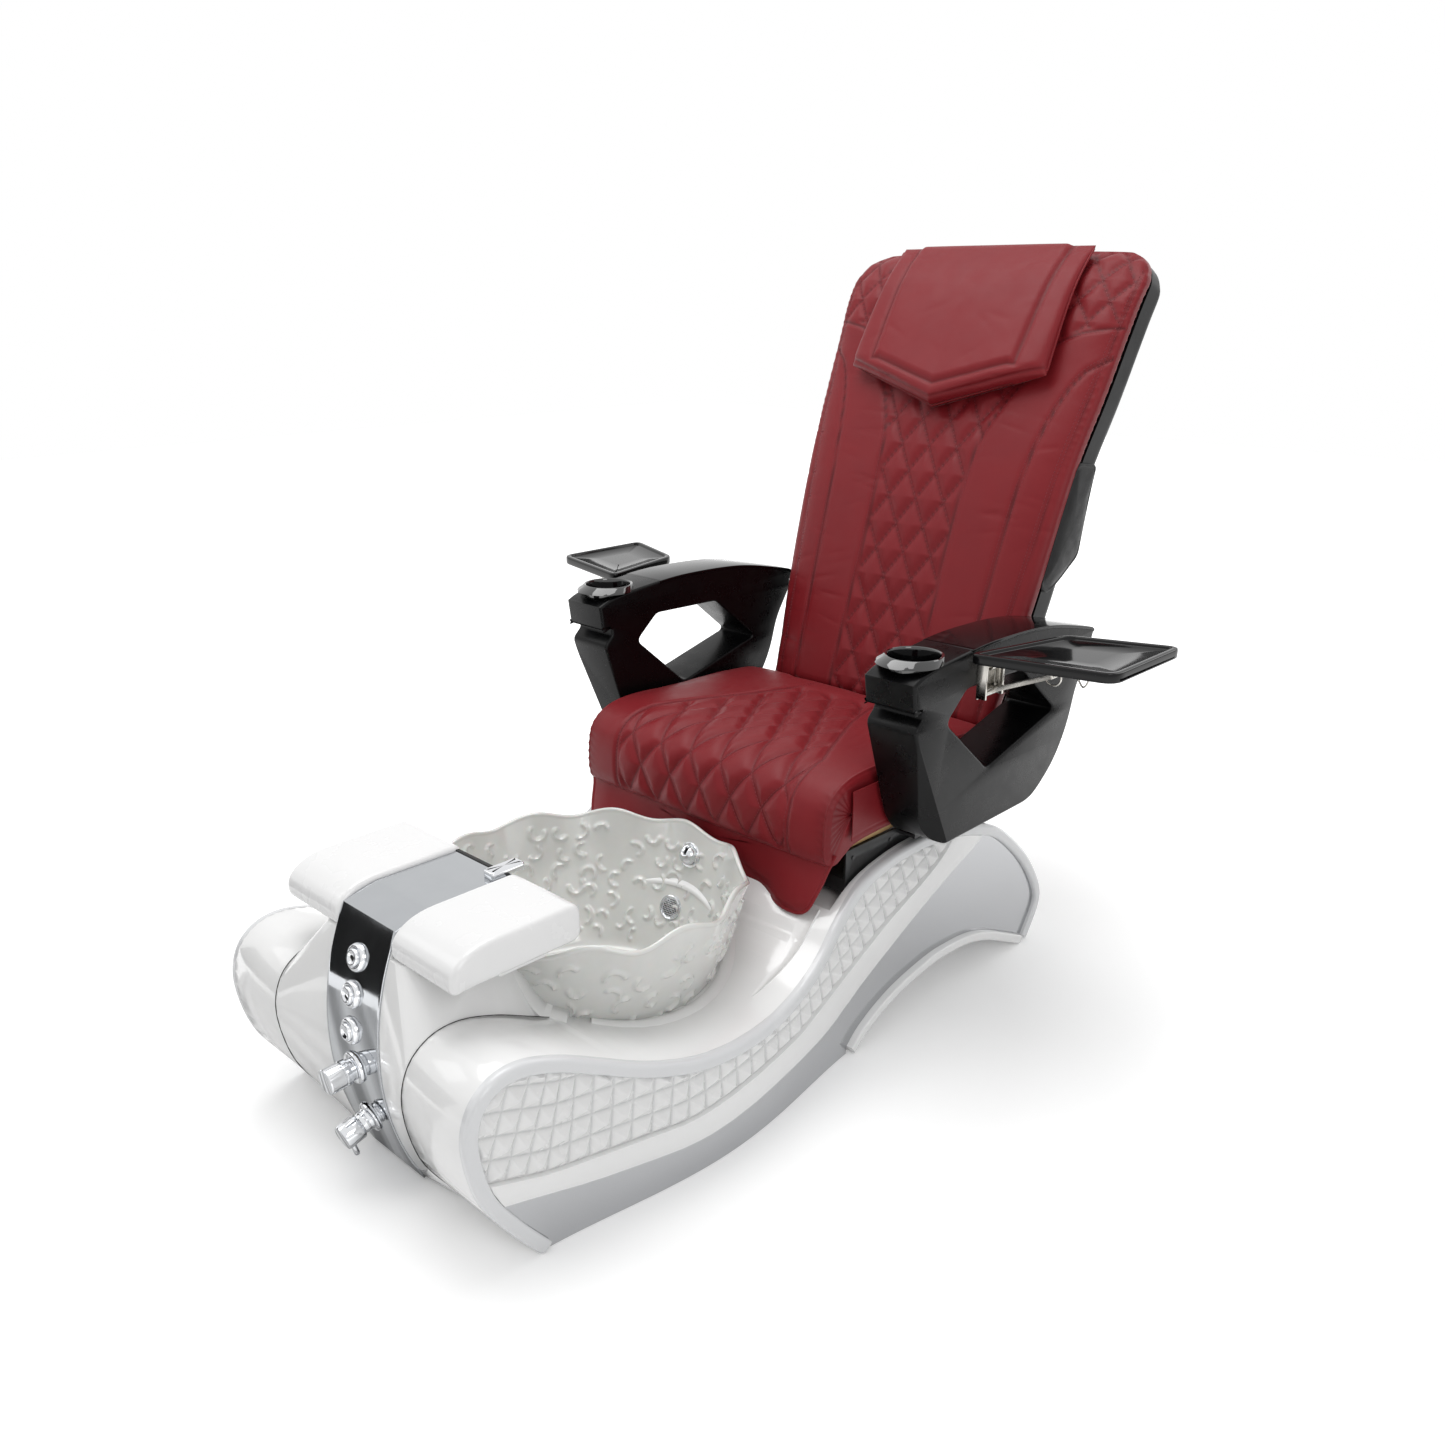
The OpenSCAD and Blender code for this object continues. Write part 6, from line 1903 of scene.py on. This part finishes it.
    def pillow_form(self, rows: int, columns: int) -> Array:
        """Builds the head pillow's plain form, a grid in (x, t, d) of so many rows and columns."""
        s, h = self.ring(columns, 3.4)
        v = np.linspace(0, 1, rows)
        top = self.length - 2
        low = self.pillow_low - self.pillow_dip * (1 - np.abs(s))
        t = low[None] + v[:, None] * (top - low)[None]
        round_off = round_end(v / 0.10, 2.4) * round_end((1 - v) / 0.05, 2.4)
        full = self.pillow_t * (1 - self.pillow_taper * v)
        d = 8.4 + (h[None] - 0.5) * (full * round_off)[:, None] + 0.5 * full[:, None]
        d += self.bow(t) - 1.5
        return np.stack([s[None] * (self.pillow_w - 8 * v)[:, None], t, d], -1)

    def pillow(self) -> None:
        """Builds the head pillow: a raised inner panel, a plain border and a piped, pointed edge."""
        grid = puffed(self.pillow_form(50, 72), self.pillow_form(230, 220), 1.4, 4.0, 0.7)
        normal = outward(grid)
        face = smoothstep(0.2, 0.6, normal[..., 2])
        x, tt = grid[..., 0], grid[..., 1]
        ax = np.abs(x)
        low = self.pillow_low - self.pillow_dip * (1 - ax / self.pillow_w)
        inner = smooth_line([(0, 600), (60, 618), (110, 634), (146, 645)], 8)
        to_side = (158 + 10 * (tt - 645) / 240 - ax) * 0.98
        to_low = (tt - second_at(ax, inner)) * 0.95
        d = np.minimum(to_side, to_low)
        relief = face * (4.6 * smoothstep(-6, 12, d) - 2.4 * seam(d + 3, 5.0))
        hem = tt - low
        relief -= face * 1.2 * seam(hem - 10, 3)
        wrinkles = Folds(11, 30, (-190, 190), (580, 860), 0.9, (0.2, 0.6), (7, 34))
        wrinkles.press(relief, x, tt, face)
        # Painted shade: the seam round the inner panel and the hem line are darkened.
        crease = 0.55 * seam(d + 3, 3.0) * face + 0.3 * seam(hem - 10, 2.0) * face
        grid = grid + relief[..., None] * normal
        obj = tube("head_pillow_leather", self.place(grid), crease=crease, angle=80)
        fit(obj, "backrest", LEATHER, ["headrest_pillow"])
        edge = smooth_line([(212, 884), (213, 800), (215, 720), (218, 640)], 10)
        corner = rounded_polygon([(218, 640), (214, 630), (0, 560), (0, 700)], [1, 10, 1, 1], 6)[7:14]
        half = np.vstack([edge, corner, [[0, 558.5]]])
        path = evenly(np.vstack([half, half[::-1][1:] * [-1, 1]]), 260)
        thin = 1 - self.pillow_taper * np.clip((path[:, 1] - 600) / 290, 0, 1)
        depth = 8.0 + 0.5 * self.pillow_t * thin + self.bow(path[:, 1])
        a = turn_angles(8)
        ring = np.stack([np.cos(a), np.sin(a)], 1) * 2.3
        flat = path[:, None] + ring[None, :, :1] * right_of(path)[:, None]
        grid = np.concatenate([flat, (depth[:, None] + ring[None, :, 1])[..., None]], -1)
        fit(tube("head_pillow_piping", self.place(grid), angle=80), "backrest", LEATHER)

    def shell(self) -> None:
        """Builds the moulded rear shell: a shallow pan with slanted edges and a raised middle field."""
        rows, columns = 150, 120
        k = np.linspace(0, 1, rows)
        foot, head, deepest = 22, 874, 76
        t = foot + k * (head - foot)
        ends = round_end(k / 0.05, 2) * round_end((1 - k) / 0.07, 2)
        width = self.half_w(t) - 9
        section = rounded_polygon(
            [(-1, 0), (1, 0), (1, 0.6), (0.90, 1.0), (-0.90, 1.0), (-1, 0.6)], [0, 0, 0.06, 0.09, 0.09, 0.06],
            8
        )
        section = section * [1, deepest]
        first = int(np.argmax((section[:, 0] > 0.99) & (section[:, 1] < 0.5)))
        section = np.roll(section, -first, 0)
        outer = section[(section[:, 1] > 0.01) | (np.abs(section[:, 0]) > 0.99)]
        even = [300, 1]
        outer = evenly(outer * even, columns) / even
        deep = 0.3 + 0.7 * ends
        x = outer[None, :, 0] * width[:, None]
        tall = smoothstep(60, 84, t) * smoothstep(800, 776, t)
        field = smoothstep(0.66, 0.60, np.abs(outer[:, 0]))[None] * tall[:, None]
        depth = outer[None, :, 1] * deep[:, None]
        d = self.bow(t)[:, None] - self.thick - 0.4 - depth + 3.0 * field * (depth > 30)
        grid = np.stack([x, np.broadcast_to(t[:, None], x.shape), d], -1)
        inner = grid.copy()
        inner[..., 0] *= ((width - 4.5) / width)[:, None]
        inner[..., 2] = self.bow(t)[:, None] - self.thick - 0.4 - np.maximum(depth - 4.5, 0)
        loop = np.concatenate([grid, inner[:, ::-1]], 1)
        fit(tube("back_shell_moulding", self.place(loop), angle=50), "backrest", SHELL_BLACK, ["back_shell"])

    def pockets(self) -> None:
        """Builds the soft pouches on the shell's sides, with a bound edge."""
        outline = rounded_polygon(
            [(-32, 262), (-28, 492), (-90, 506), (-128, 344), (-84, 282), (-60, 256)], [6, 10, 9, 12, 16, 12],
            8
        )
        outline = evenly(outline, 120, closed=True)
        middle = outline.mean(0)
        steps = [
            (1.0, 0.0), (1.0, 3.0), (0.985, 4.6), (0.96, 4.9), (0.94, 4.0), (0.90, 5.4), (0.75, 8.8),
            (0.5, 11.0), (0.2, 11.8), (0.02, 12.0),
        ]
        for label, side in SIDES:
            rings = []
            for scale, out in steps:
                p = middle + (outline - middle) * scale
                base_x = self.half_w(p[:, 1]) - 9 + 0.4
                fold = 0.8 * np.sin(p[:, 1] / 15.0) * (out > 5)
                x = side * (base_x + out + fold)
                rings.append(np.stack([x, p[:, 1], p[:, 0] + self.bow(p[:, 1])], -1))
            grid = np.stack(rings)
            obj = tube(f"side_pouch_{label}", self.place(grid), angle=70)
            fit(obj, "backrest", BLACK_LEATHER, ["side_pockets"])

    def build(self) -> None:
        """Builds and dresses the back."""
        self.cushion()
        self.pillow()
        self.shell()
        self.pockets()


# ---- Arms and trays ----------------------------------------------------------------------------


@dataclass
class Arms:
    """Armrests with their glossy tops, cup holders, folding trays and brackets."""

    inner_x: float = 305.0
    width: float = 96.0
    crest: tuple = ((118, 668), (155, 681), (240, 691), (345, 697), (497, 690), (632, 664), (657, 655))
    lower: tuple = (
        (657, 634), (640, 606), (610, 560), (590, 490), (552, 432), (492, 388), (462, 382), (226, 379),
        (206, 388), (184, 417), (127, 592), (146, 610), (146, 622), (120, 624),
    )
    window: tuple = ((262, 632), (425, 628), (540, 534), (335, 480), (210, 587))
    cup: tuple = (353.0, 180.0)
    lid_y: float = 262.0
    top_y: float = 268.0
    lid_t: float = 5.4

    def plate(
        self, name: str, loops: Sequence[Array], x0: float, x1: float, bevel: float, side: float
    ) -> bpy.types.Object:
        """Fills a side view with holes and gives it thickness and rounded edges.

        Args:
            name: object name.
            loops: outlines (y, z); the first is the outer one and the others are holes.
            x0: inner face.
            x1: outer face.
            bevel: width of the rounded edge.
            side: 1 or -1.

        Returns:
            The object.
        """
        curve = bpy.data.curves.new(name, "CURVE")
        curve.dimensions, curve.fill_mode = "2D", "BOTH"
        curve.extrude, curve.bevel_depth = ((x1 - x0) / 2 - bevel) * MM, bevel * MM
        curve.offset, curve.bevel_resolution = -bevel * MM, 3
        for loop in loops:
            spline = curve.splines.new("POLY")
            spline.points.add(len(loop) - 1)
            co = np.column_stack([loop * MM, np.zeros(len(loop)), np.ones(len(loop))])
            spline.points.foreach_set("co", co.ravel())
            spline.use_cyclic_u = True
        temp = linked(name, curve)
        mesh = bpy.data.meshes.new_from_object(evaluated(temp))
        bpy.data.objects.remove(temp)
        mesh.transform(Matrix(((0, 0, 1, (x0 + x1) / 2 * MM), (1, 0, 0, 0), (0, 1, 0, 0), (0, 0, 0, 1))))
        if side < 0:
            mesh.transform(Matrix.Diagonal((-1, 1, 1, 1)))
        turn_out(mesh, dissolve=False)
        mesh.materials.clear()
        shade(mesh, CUT_ANGLE)
        return linked(name, mesh)

    def facet(self, side: float) -> bpy.types.Object:
        """Makes the wedge that cuts the post's outer front edge into a facet widening downwards."""
        x = self.inner_x + self.width
        apex, front, aside = np.array([(x, 128.5, 588.0), (x - 27, 186.0, 414.0), (x, 218.0, 404.0)])
        longer, thick = 1.5, 70
        front, aside = apex + longer * (front - apex), apex + longer * (aside - apex)
        out = np.cross(front - apex, aside - apex)
        out *= thick / np.linalg.norm(out)
        points = np.array([apex, front, aside, apex + out, front + out, aside + out]) * [side, 1, 1]
        return make_object("facet", points, [(0, 1, 2), (5, 4, 3), (0, 3, 4, 1), (1, 4, 5, 2), (2, 5, 3, 0)])

    def arm(self, side: float, label: str) -> None:
        """Builds one armrest: post and beams round a window, head block with the cup bore, a faceted outer
        front edge and glossy top.
        """
        crest = smooth_line(self.crest, 10)
        outline = np.vstack(
            [crest, rounded_polygon(self.lower, [8, 14, 24, 40, 34, 30, 8, 8, 14, 20, 10, 4, 3, 4], 6)]
        )
        window = rounded_polygon(self.window, [10, 12, 16, 12, 14], 6)
        body = self.plate(
            f"armrest_{label}", [outline, window], self.inner_x, self.inner_x + self.width, 5.0, side
        )
        bore = upright(side * self.cup[0], self.cup[1])
        hole = turned("bore", [([(0.01, 640), (44, 640), (44, 720), (0.01, 720)], bore)])
        seat_top = crest + self.lid_t * right_of(crest)
        keep = crest[:, 0] > self.lid_y
        x = np.full(keep.sum(), side * (self.inner_x - 5))
        lid = np.stack([np.column_stack([x, line]) for line in (crest[keep] + [0, 30], seat_top[keep])])
        cut(body, [hole, slab("lid", lid, (side * (self.width + 10), 0, 0)), self.facet(side)])
        fit(body, "seat", SATIN_BLACK, [f"arm_{label}"])
        keep = crest[:, 0] > self.top_y
        loop = rounded_polygon(np.vstack([crest[keep], seat_top[keep][::-1]]), 0.6, 2)
        top = self.plate(
            f"armrest_top_{label}", [loop], self.inner_x + 1, self.inner_x + self.width, 1.2, side
        )
        fit(top, "seat", GLOSS_BLACK, [f"arm_top_{label}"])

    def cup_holder(self, side: float, label: str) -> None:
        """Builds the cup holder: a deep liner whose raised collar slopes out to a flat facet in front."""
        place = upright(side * self.cup[0], self.cup[1])
        liner = [
            (0.05, 641.5), (42.6, 641.5), (43.4, 643), (43.4, 686), (47.5, 686), (47.5, 690), (47.2, 694.6),
            (46.2, 696.4), (44.2, 697), (42, 696), (41.0, 693), (41.0, 646), (39.6, 644.6), (0.05, 644.2),
        ]
        grid = lathe(liner, place, 96)
        local = grid - np.array(place.origin)
        angle = np.arctan2(local[..., 1], local[..., 0] * side)
        off = np.abs((angle + math.pi / 2 + 0.15 + math.pi) % (2 * math.pi) - math.pi)
        front = smoothstep(2.2, 0.9, off)
        flat = smoothstep(0.62, 0.56, off)
        radius = np.hypot(local[..., 0], local[..., 1])
        foot = smoothstep(696, 687, local[..., 2]) * (radius > 47)
        reach = foot * (front * 11.0 + flat * (4.0 - 11.0 * (1 - np.cos(np.minimum(off, 0.6)))))
        grow = 1 + reach / radius
        grid[..., :2] = place.origin[:2] + local[..., :2] * grow[..., None]
        obj = tube(f"cup_liner_{label}", grid, ends=False, angle=38)
        fit(obj, "seat", CUP_BLACK, [f"cup_holder_{label}"])

    def tray(self, side: float, label: str) -> None:
        """Builds the folding tray: a rounded plate with a raised rim, its hinge bar and the latch ring."""
        corners = [(407, 243), (628, 295), (628, 512), (458, 450)]
        outline = rounded_polygon(corners, [22, 26, 26, 22], 8)
        outline = evenly(outline, 220, closed=True)
        steps = [
            (60, 679), (1.6, 679), (0.4, 680), (0, 682), (0, 691.5), (0.8, 694), (2.8, 695), (8.4, 695),
            (10, 694), (11, 691), (12.4, 690), (60, 690),
        ]
        grid = offset_loops(outline, steps)
        middle = grid[1].mean(0)[:2]
        grid[[0, -1], :, :2] = middle + (outline - middle) * 0.35
        grid[..., 0] *= side
        fit(tube(f"tray_plate_{label}", grid, angle=40), f"tray_{label}", GLOSS_BLACK, [f"tray_{label}"])
        bar = rounded_polygon([(413, 671), (413, 679), (563, 679), (563, 673)], 1.0, 2)
        y = np.array([300, 300.6, 331, 331.5])
        inset = np.array([0.6, 0, 0, 0.6])
        inward = -right_of(bar, closed=True)
        flat = bar[None] - inset[:, None, None] * inward[None]
        rod = np.stack([side * flat[..., 0], np.broadcast_to(y[:, None], flat.shape[:2]), flat[..., 1]], -1)
        fit(tube(f"tray_hinge_bar_{label}", rod, angle=40), f"tray_{label}", NICKEL)
        knuckle = Place((side * 413, 300, 664), (1, 0, 0), (0, 0, 1), (0, 1, 0))
        pin = [(3.1, 0.3), (6.4, 0.3), (7, 1.0), (7, 30.6), (6.4, 31.3), (3.1, 31.3), (3.1, 0.3)]
        fit(turned(f"tray_knuckle_{label}", [(pin, knuckle)], 40, angle=35), f"tray_{label}", NICKEL)
        self.ring(side, label)

    def ring(self, side: float, label: str) -> None:
        """Bends the latch's finger ring and its tail out of round wire."""
        a = np.linspace(-0.5, 2 * math.pi - 0.9, 60)
        ring = np.stack([501 + 13.5 * np.cos(a + 1.9), np.full(60, 343.0), 655 + 13.5 * np.sin(a + 1.9)], 1)
        tail = smooth_line(
            [
                ring[-1], (506, 343.5, 668), (524, 344, 676), (540, 343, 664), (553, 342, 650),
                (562, 341, 664), (560, 338, 677),
            ],
            10
        )
        path = np.vstack([[(494, 334, 677)], ring, tail[1:]])
        path[:, 0] *= side
        fit(wire(f"latch_ring_{label}", path, 1.5, 10, angle=60), f"tray_{label}", NICKEL)

    def build(self) -> None:
        """Builds and dresses both arms."""
        for label, side in SIDES:
            self.arm(side, label)
            self.cup_holder(side, label)
            self.tray(side, label)


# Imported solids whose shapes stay: node, finish and width of the rounded edge.
DRESSED = (
    ("base_shell", GELCOAT, 1.2), ("base_frame", POWDER, 1.0), ("levelling_feet", RUBBER, 0.8),
    ("drain_pipe", PVC, 0.0),
    ("console_shell", GELCOAT, 1.0), ("footrest_bracket", GELCOAT, 2.5), ("water_valves", BRASS, 0.5),
    ("supply_pipes", PEX, 0.0), ("jet_pump", PUMP, 1.0), ("control_box", PUMP, 2.0),
    ("back_frame", POWDER, 1.0), ("massage_rails", ZINC, 0.0), ("massage_carriage", PUMP, 1.5),
    ("massage_rollers", RUBBER, 1.0),
    ("tray_strut_left", NICKEL, 0.6), ("tray_strut_right", NICKEL, 0.6), ("tray_brackets", NICKEL, 0.6),
    ("seat_rails", ZINC, 0.6), ("seat_frame", POWDER, 0.8), ("slide_motor", PUMP, 0.8),
    ("seat_pan", PLY, 1.0), ("recline_actuator", PUMP, 0.8), ("recline_rod", CHROME, 0.0),
)


# ---- Scene -------------------------------------------------------------------------------------


# Studio cards: name, two greys and the corners.
CARDS = (
    (
        "front card", "3A3A3A", "303030",
        ((-960, -880, 90), (-280, -1480, 90), (-280, -1480, 470), (-960, -880, 470)),
    ),
    (
        "side card", "0A0A0A", "050505",
        ((1140, 1860, 30), (1860, 1140, 30), (1860, 1140, 260), (1140, 1860, 260)),
    ),
    (
        "floor card", "A8A8A8", "F0F0F0",
        ((-280, -1500, 2), (100, -545, 2), (-560, -545, 2), (-1000, -900, 2)),
    ),
)
# Soft lamps: name, place and size in metres, power in watts.
LAMPS = (
    ("top lamp", (-0.5, -0.1, 3.4), 2.2, 46.0),
    ("key lamp", (-2.2, -2.0, 2.6), 1.4, 7.0),
    ("fill lamp", (2.9, -1.3, 2.1), 1.3, 17.0),
    ("rear lamp", (0.8, 3.0, 2.8), 1.6, 12.0),
)
LAMP_AIM = (0, 0.1, 0.5)
CARD_ACROSS = (0.6, -0.8, 0.0)
FLOOR_MM = 9000


def set_camera() -> None:
    """Places the camera and makes it the scene's."""
    right, up = Vector((0.7201, 0.6939, 0.0)), Vector((-0.2244, 0.2329, 0.9463))
    forward = Vector((-0.6566, 0.6814, -0.3234))
    data = bpy.data.cameras.new("camera")
    data.lens, data.sensor_width, data.clip_end = 31.89, 36.0, 50.0
    camera = linked("camera", data)
    axes = Matrix((right, up, -forward)).transposed().to_4x4()
    camera.matrix_world = Matrix.Translation((1.4487, -1.3783, 1.2293)) @ axes
    bpy.context.scene.camera = camera


def set_cards() -> None:
    """Stands dark and grey studio cards where only mirrors see them, so that bright metal shows bands."""
    for name, dark, pale, corners in CARDS:
        material, tree, shader = node_material(f"Matt {name}")
        coords = add_node(tree, "TexCoord").outputs["Object"]
        across = add_node(
            tree, "VectorMath", {1: CARD_ACROSS}, {0: coords}, operation="DOT_PRODUCT"
        ).outputs["Value"]
        sizes = {"Scale": 34.0, "Detail": 2.0}
        bands = add_node(tree, "TexNoise", sizes, {"W": across}, noise_dimensions="1D").outputs[0]
        share = add_node(tree, "MapRange", {"From Min": 0.35, "From Max": 0.65}, {"Value": bands}).outputs[0]
        pair = {6: linear(dark), 7: linear(pale)}
        colour = add_node(tree, "Mix", pair, {0: share}, data_type="RGBA").outputs[2]
        tree.links.new(colour, shader.inputs["Base Color"])
        shader.inputs["Roughness"].default_value = 1.0
        shader.inputs["Specular IOR Level"].default_value = 0.0
        card = make_object(name.replace(" ", "_"), corners, [(0, 1, 2, 3)], tidy=False)
        card.data.materials.append(material)
        for ray in ("camera", "diffuse", "transmission", "volume_scatter", "shadow"):
            setattr(card, f"visible_{ray}", False)


def seen_by(tree: bpy.types.NodeTree, kinds: Sequence[str]) -> bpy.types.NodeSocket:
    """Output that is 1 where one of these kinds of ray arrives."""
    rays = add_node(tree, "LightPath").outputs
    seen = rays[f"Is {kinds[0]} Ray"]
    for kind in kinds[1:]:
        seen = add_node(
            tree, "Math", {}, {0: seen, 1: rays[f"Is {kind} Ray"]}, operation="MAXIMUM"
        ).outputs[0]
    return seen


def set_light() -> None:
    """Sets the white world and the soft lamps."""
    scene = bpy.context.scene
    scene.view_settings.view_transform = "Standard"
    world = bpy.data.worlds.new("studio")
    scene.world = world
    world.use_nodes = True
    tree = world.node_tree
    background = tree.nodes["Background"]
    seen = seen_by(tree, ("Camera", "Transmission", "Glossy"))
    coords = add_node(tree, "TexCoord").outputs["Generated"]
    height = add_node(tree, "SeparateXYZ", {}, {0: coords}).outputs[2]
    spread = {"From Min": -0.1, "From Max": 0.9, "To Min": 0.22, "To Max": 0.78}
    ramp = add_node(tree, "MapRange", spread, {"Value": height}).outputs[0]
    strength = add_node(tree, "Mix", {3: 1.0}, {0: seen, 2: ramp}, data_type="FLOAT").outputs[0]
    background.inputs[0].default_value = (1, 1, 1, 1)
    tree.links.new(strength, background.inputs[1])
    for name, place, size, power in LAMPS:
        lamp = bpy.data.lights.new(name, "AREA")
        lamp.energy, lamp.size = power, size
        obj = linked(name, lamp)
        obj.location = place
        obj.rotation_euler = (Vector(LAMP_AIM) - Vector(place)).to_track_quat("-Z", "Y").to_euler()


def set_floor() -> None:
    """Lays the pale floor, which the camera and the mirrors see brighter further out."""
    corners = [(x * FLOOR_MM, y * FLOOR_MM, 0) for x, y in ((-1, -1), (1, -1), (1, 1), (-1, 1))]
    floor = make_object("floor", corners, [(0, 1, 2, 3)], tidy=False)
    material, tree, shader = node_material("White studio floor")
    shader.inputs["Base Color"].default_value = linear("F6F6F6")
    shader.inputs["Roughness"].default_value = 0.9
    shader.inputs["Specular IOR Level"].default_value = 0.1
    seen = seen_by(tree, ("Camera", "Glossy"))
    place = add_node(tree, "TexCoord").outputs["Object"]
    far = add_node(tree, "VectorMath", {}, {0: place}, operation="LENGTH").outputs["Value"]
    spread = {"From Min": 0.6, "From Max": 1.8, "To Min": 0.12, "To Max": 0.8}
    rise = add_node(tree, "MapRange", spread, {"Value": far}).outputs[0]
    lift = add_node(tree, "Math", {}, {0: seen, 1: rise}, operation="MULTIPLY").outputs[0]
    glow = add_node(tree, "Emission", {"Color": (1, 1, 1, 1)}, {"Strength": lift}).outputs[0]
    both = add_node(tree, "AddShader", {}, {0: shader.outputs[0], 1: glow}).outputs[0]
    tree.links.new(both, tree.nodes["Material Output"].inputs[0])
    floor.data.materials.append(material)


def main() -> None:
    """Builds every sub-assembly in order."""
    logging.basicConfig(level=logging.INFO, format="%(name)s: %(message)s")
    FRAME.update(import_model())
    set_camera()
    set_light()
    set_cards()
    set_floor()
    BASE.build()
    Bowl().build()
    Console().build()
    SeatCushion().build()
    Back().build()
    Arms().build()
    for node, finish, round_mm in DRESSED:
        dress(node, finish, round_mm)


if __name__ == "__main__":
    main()
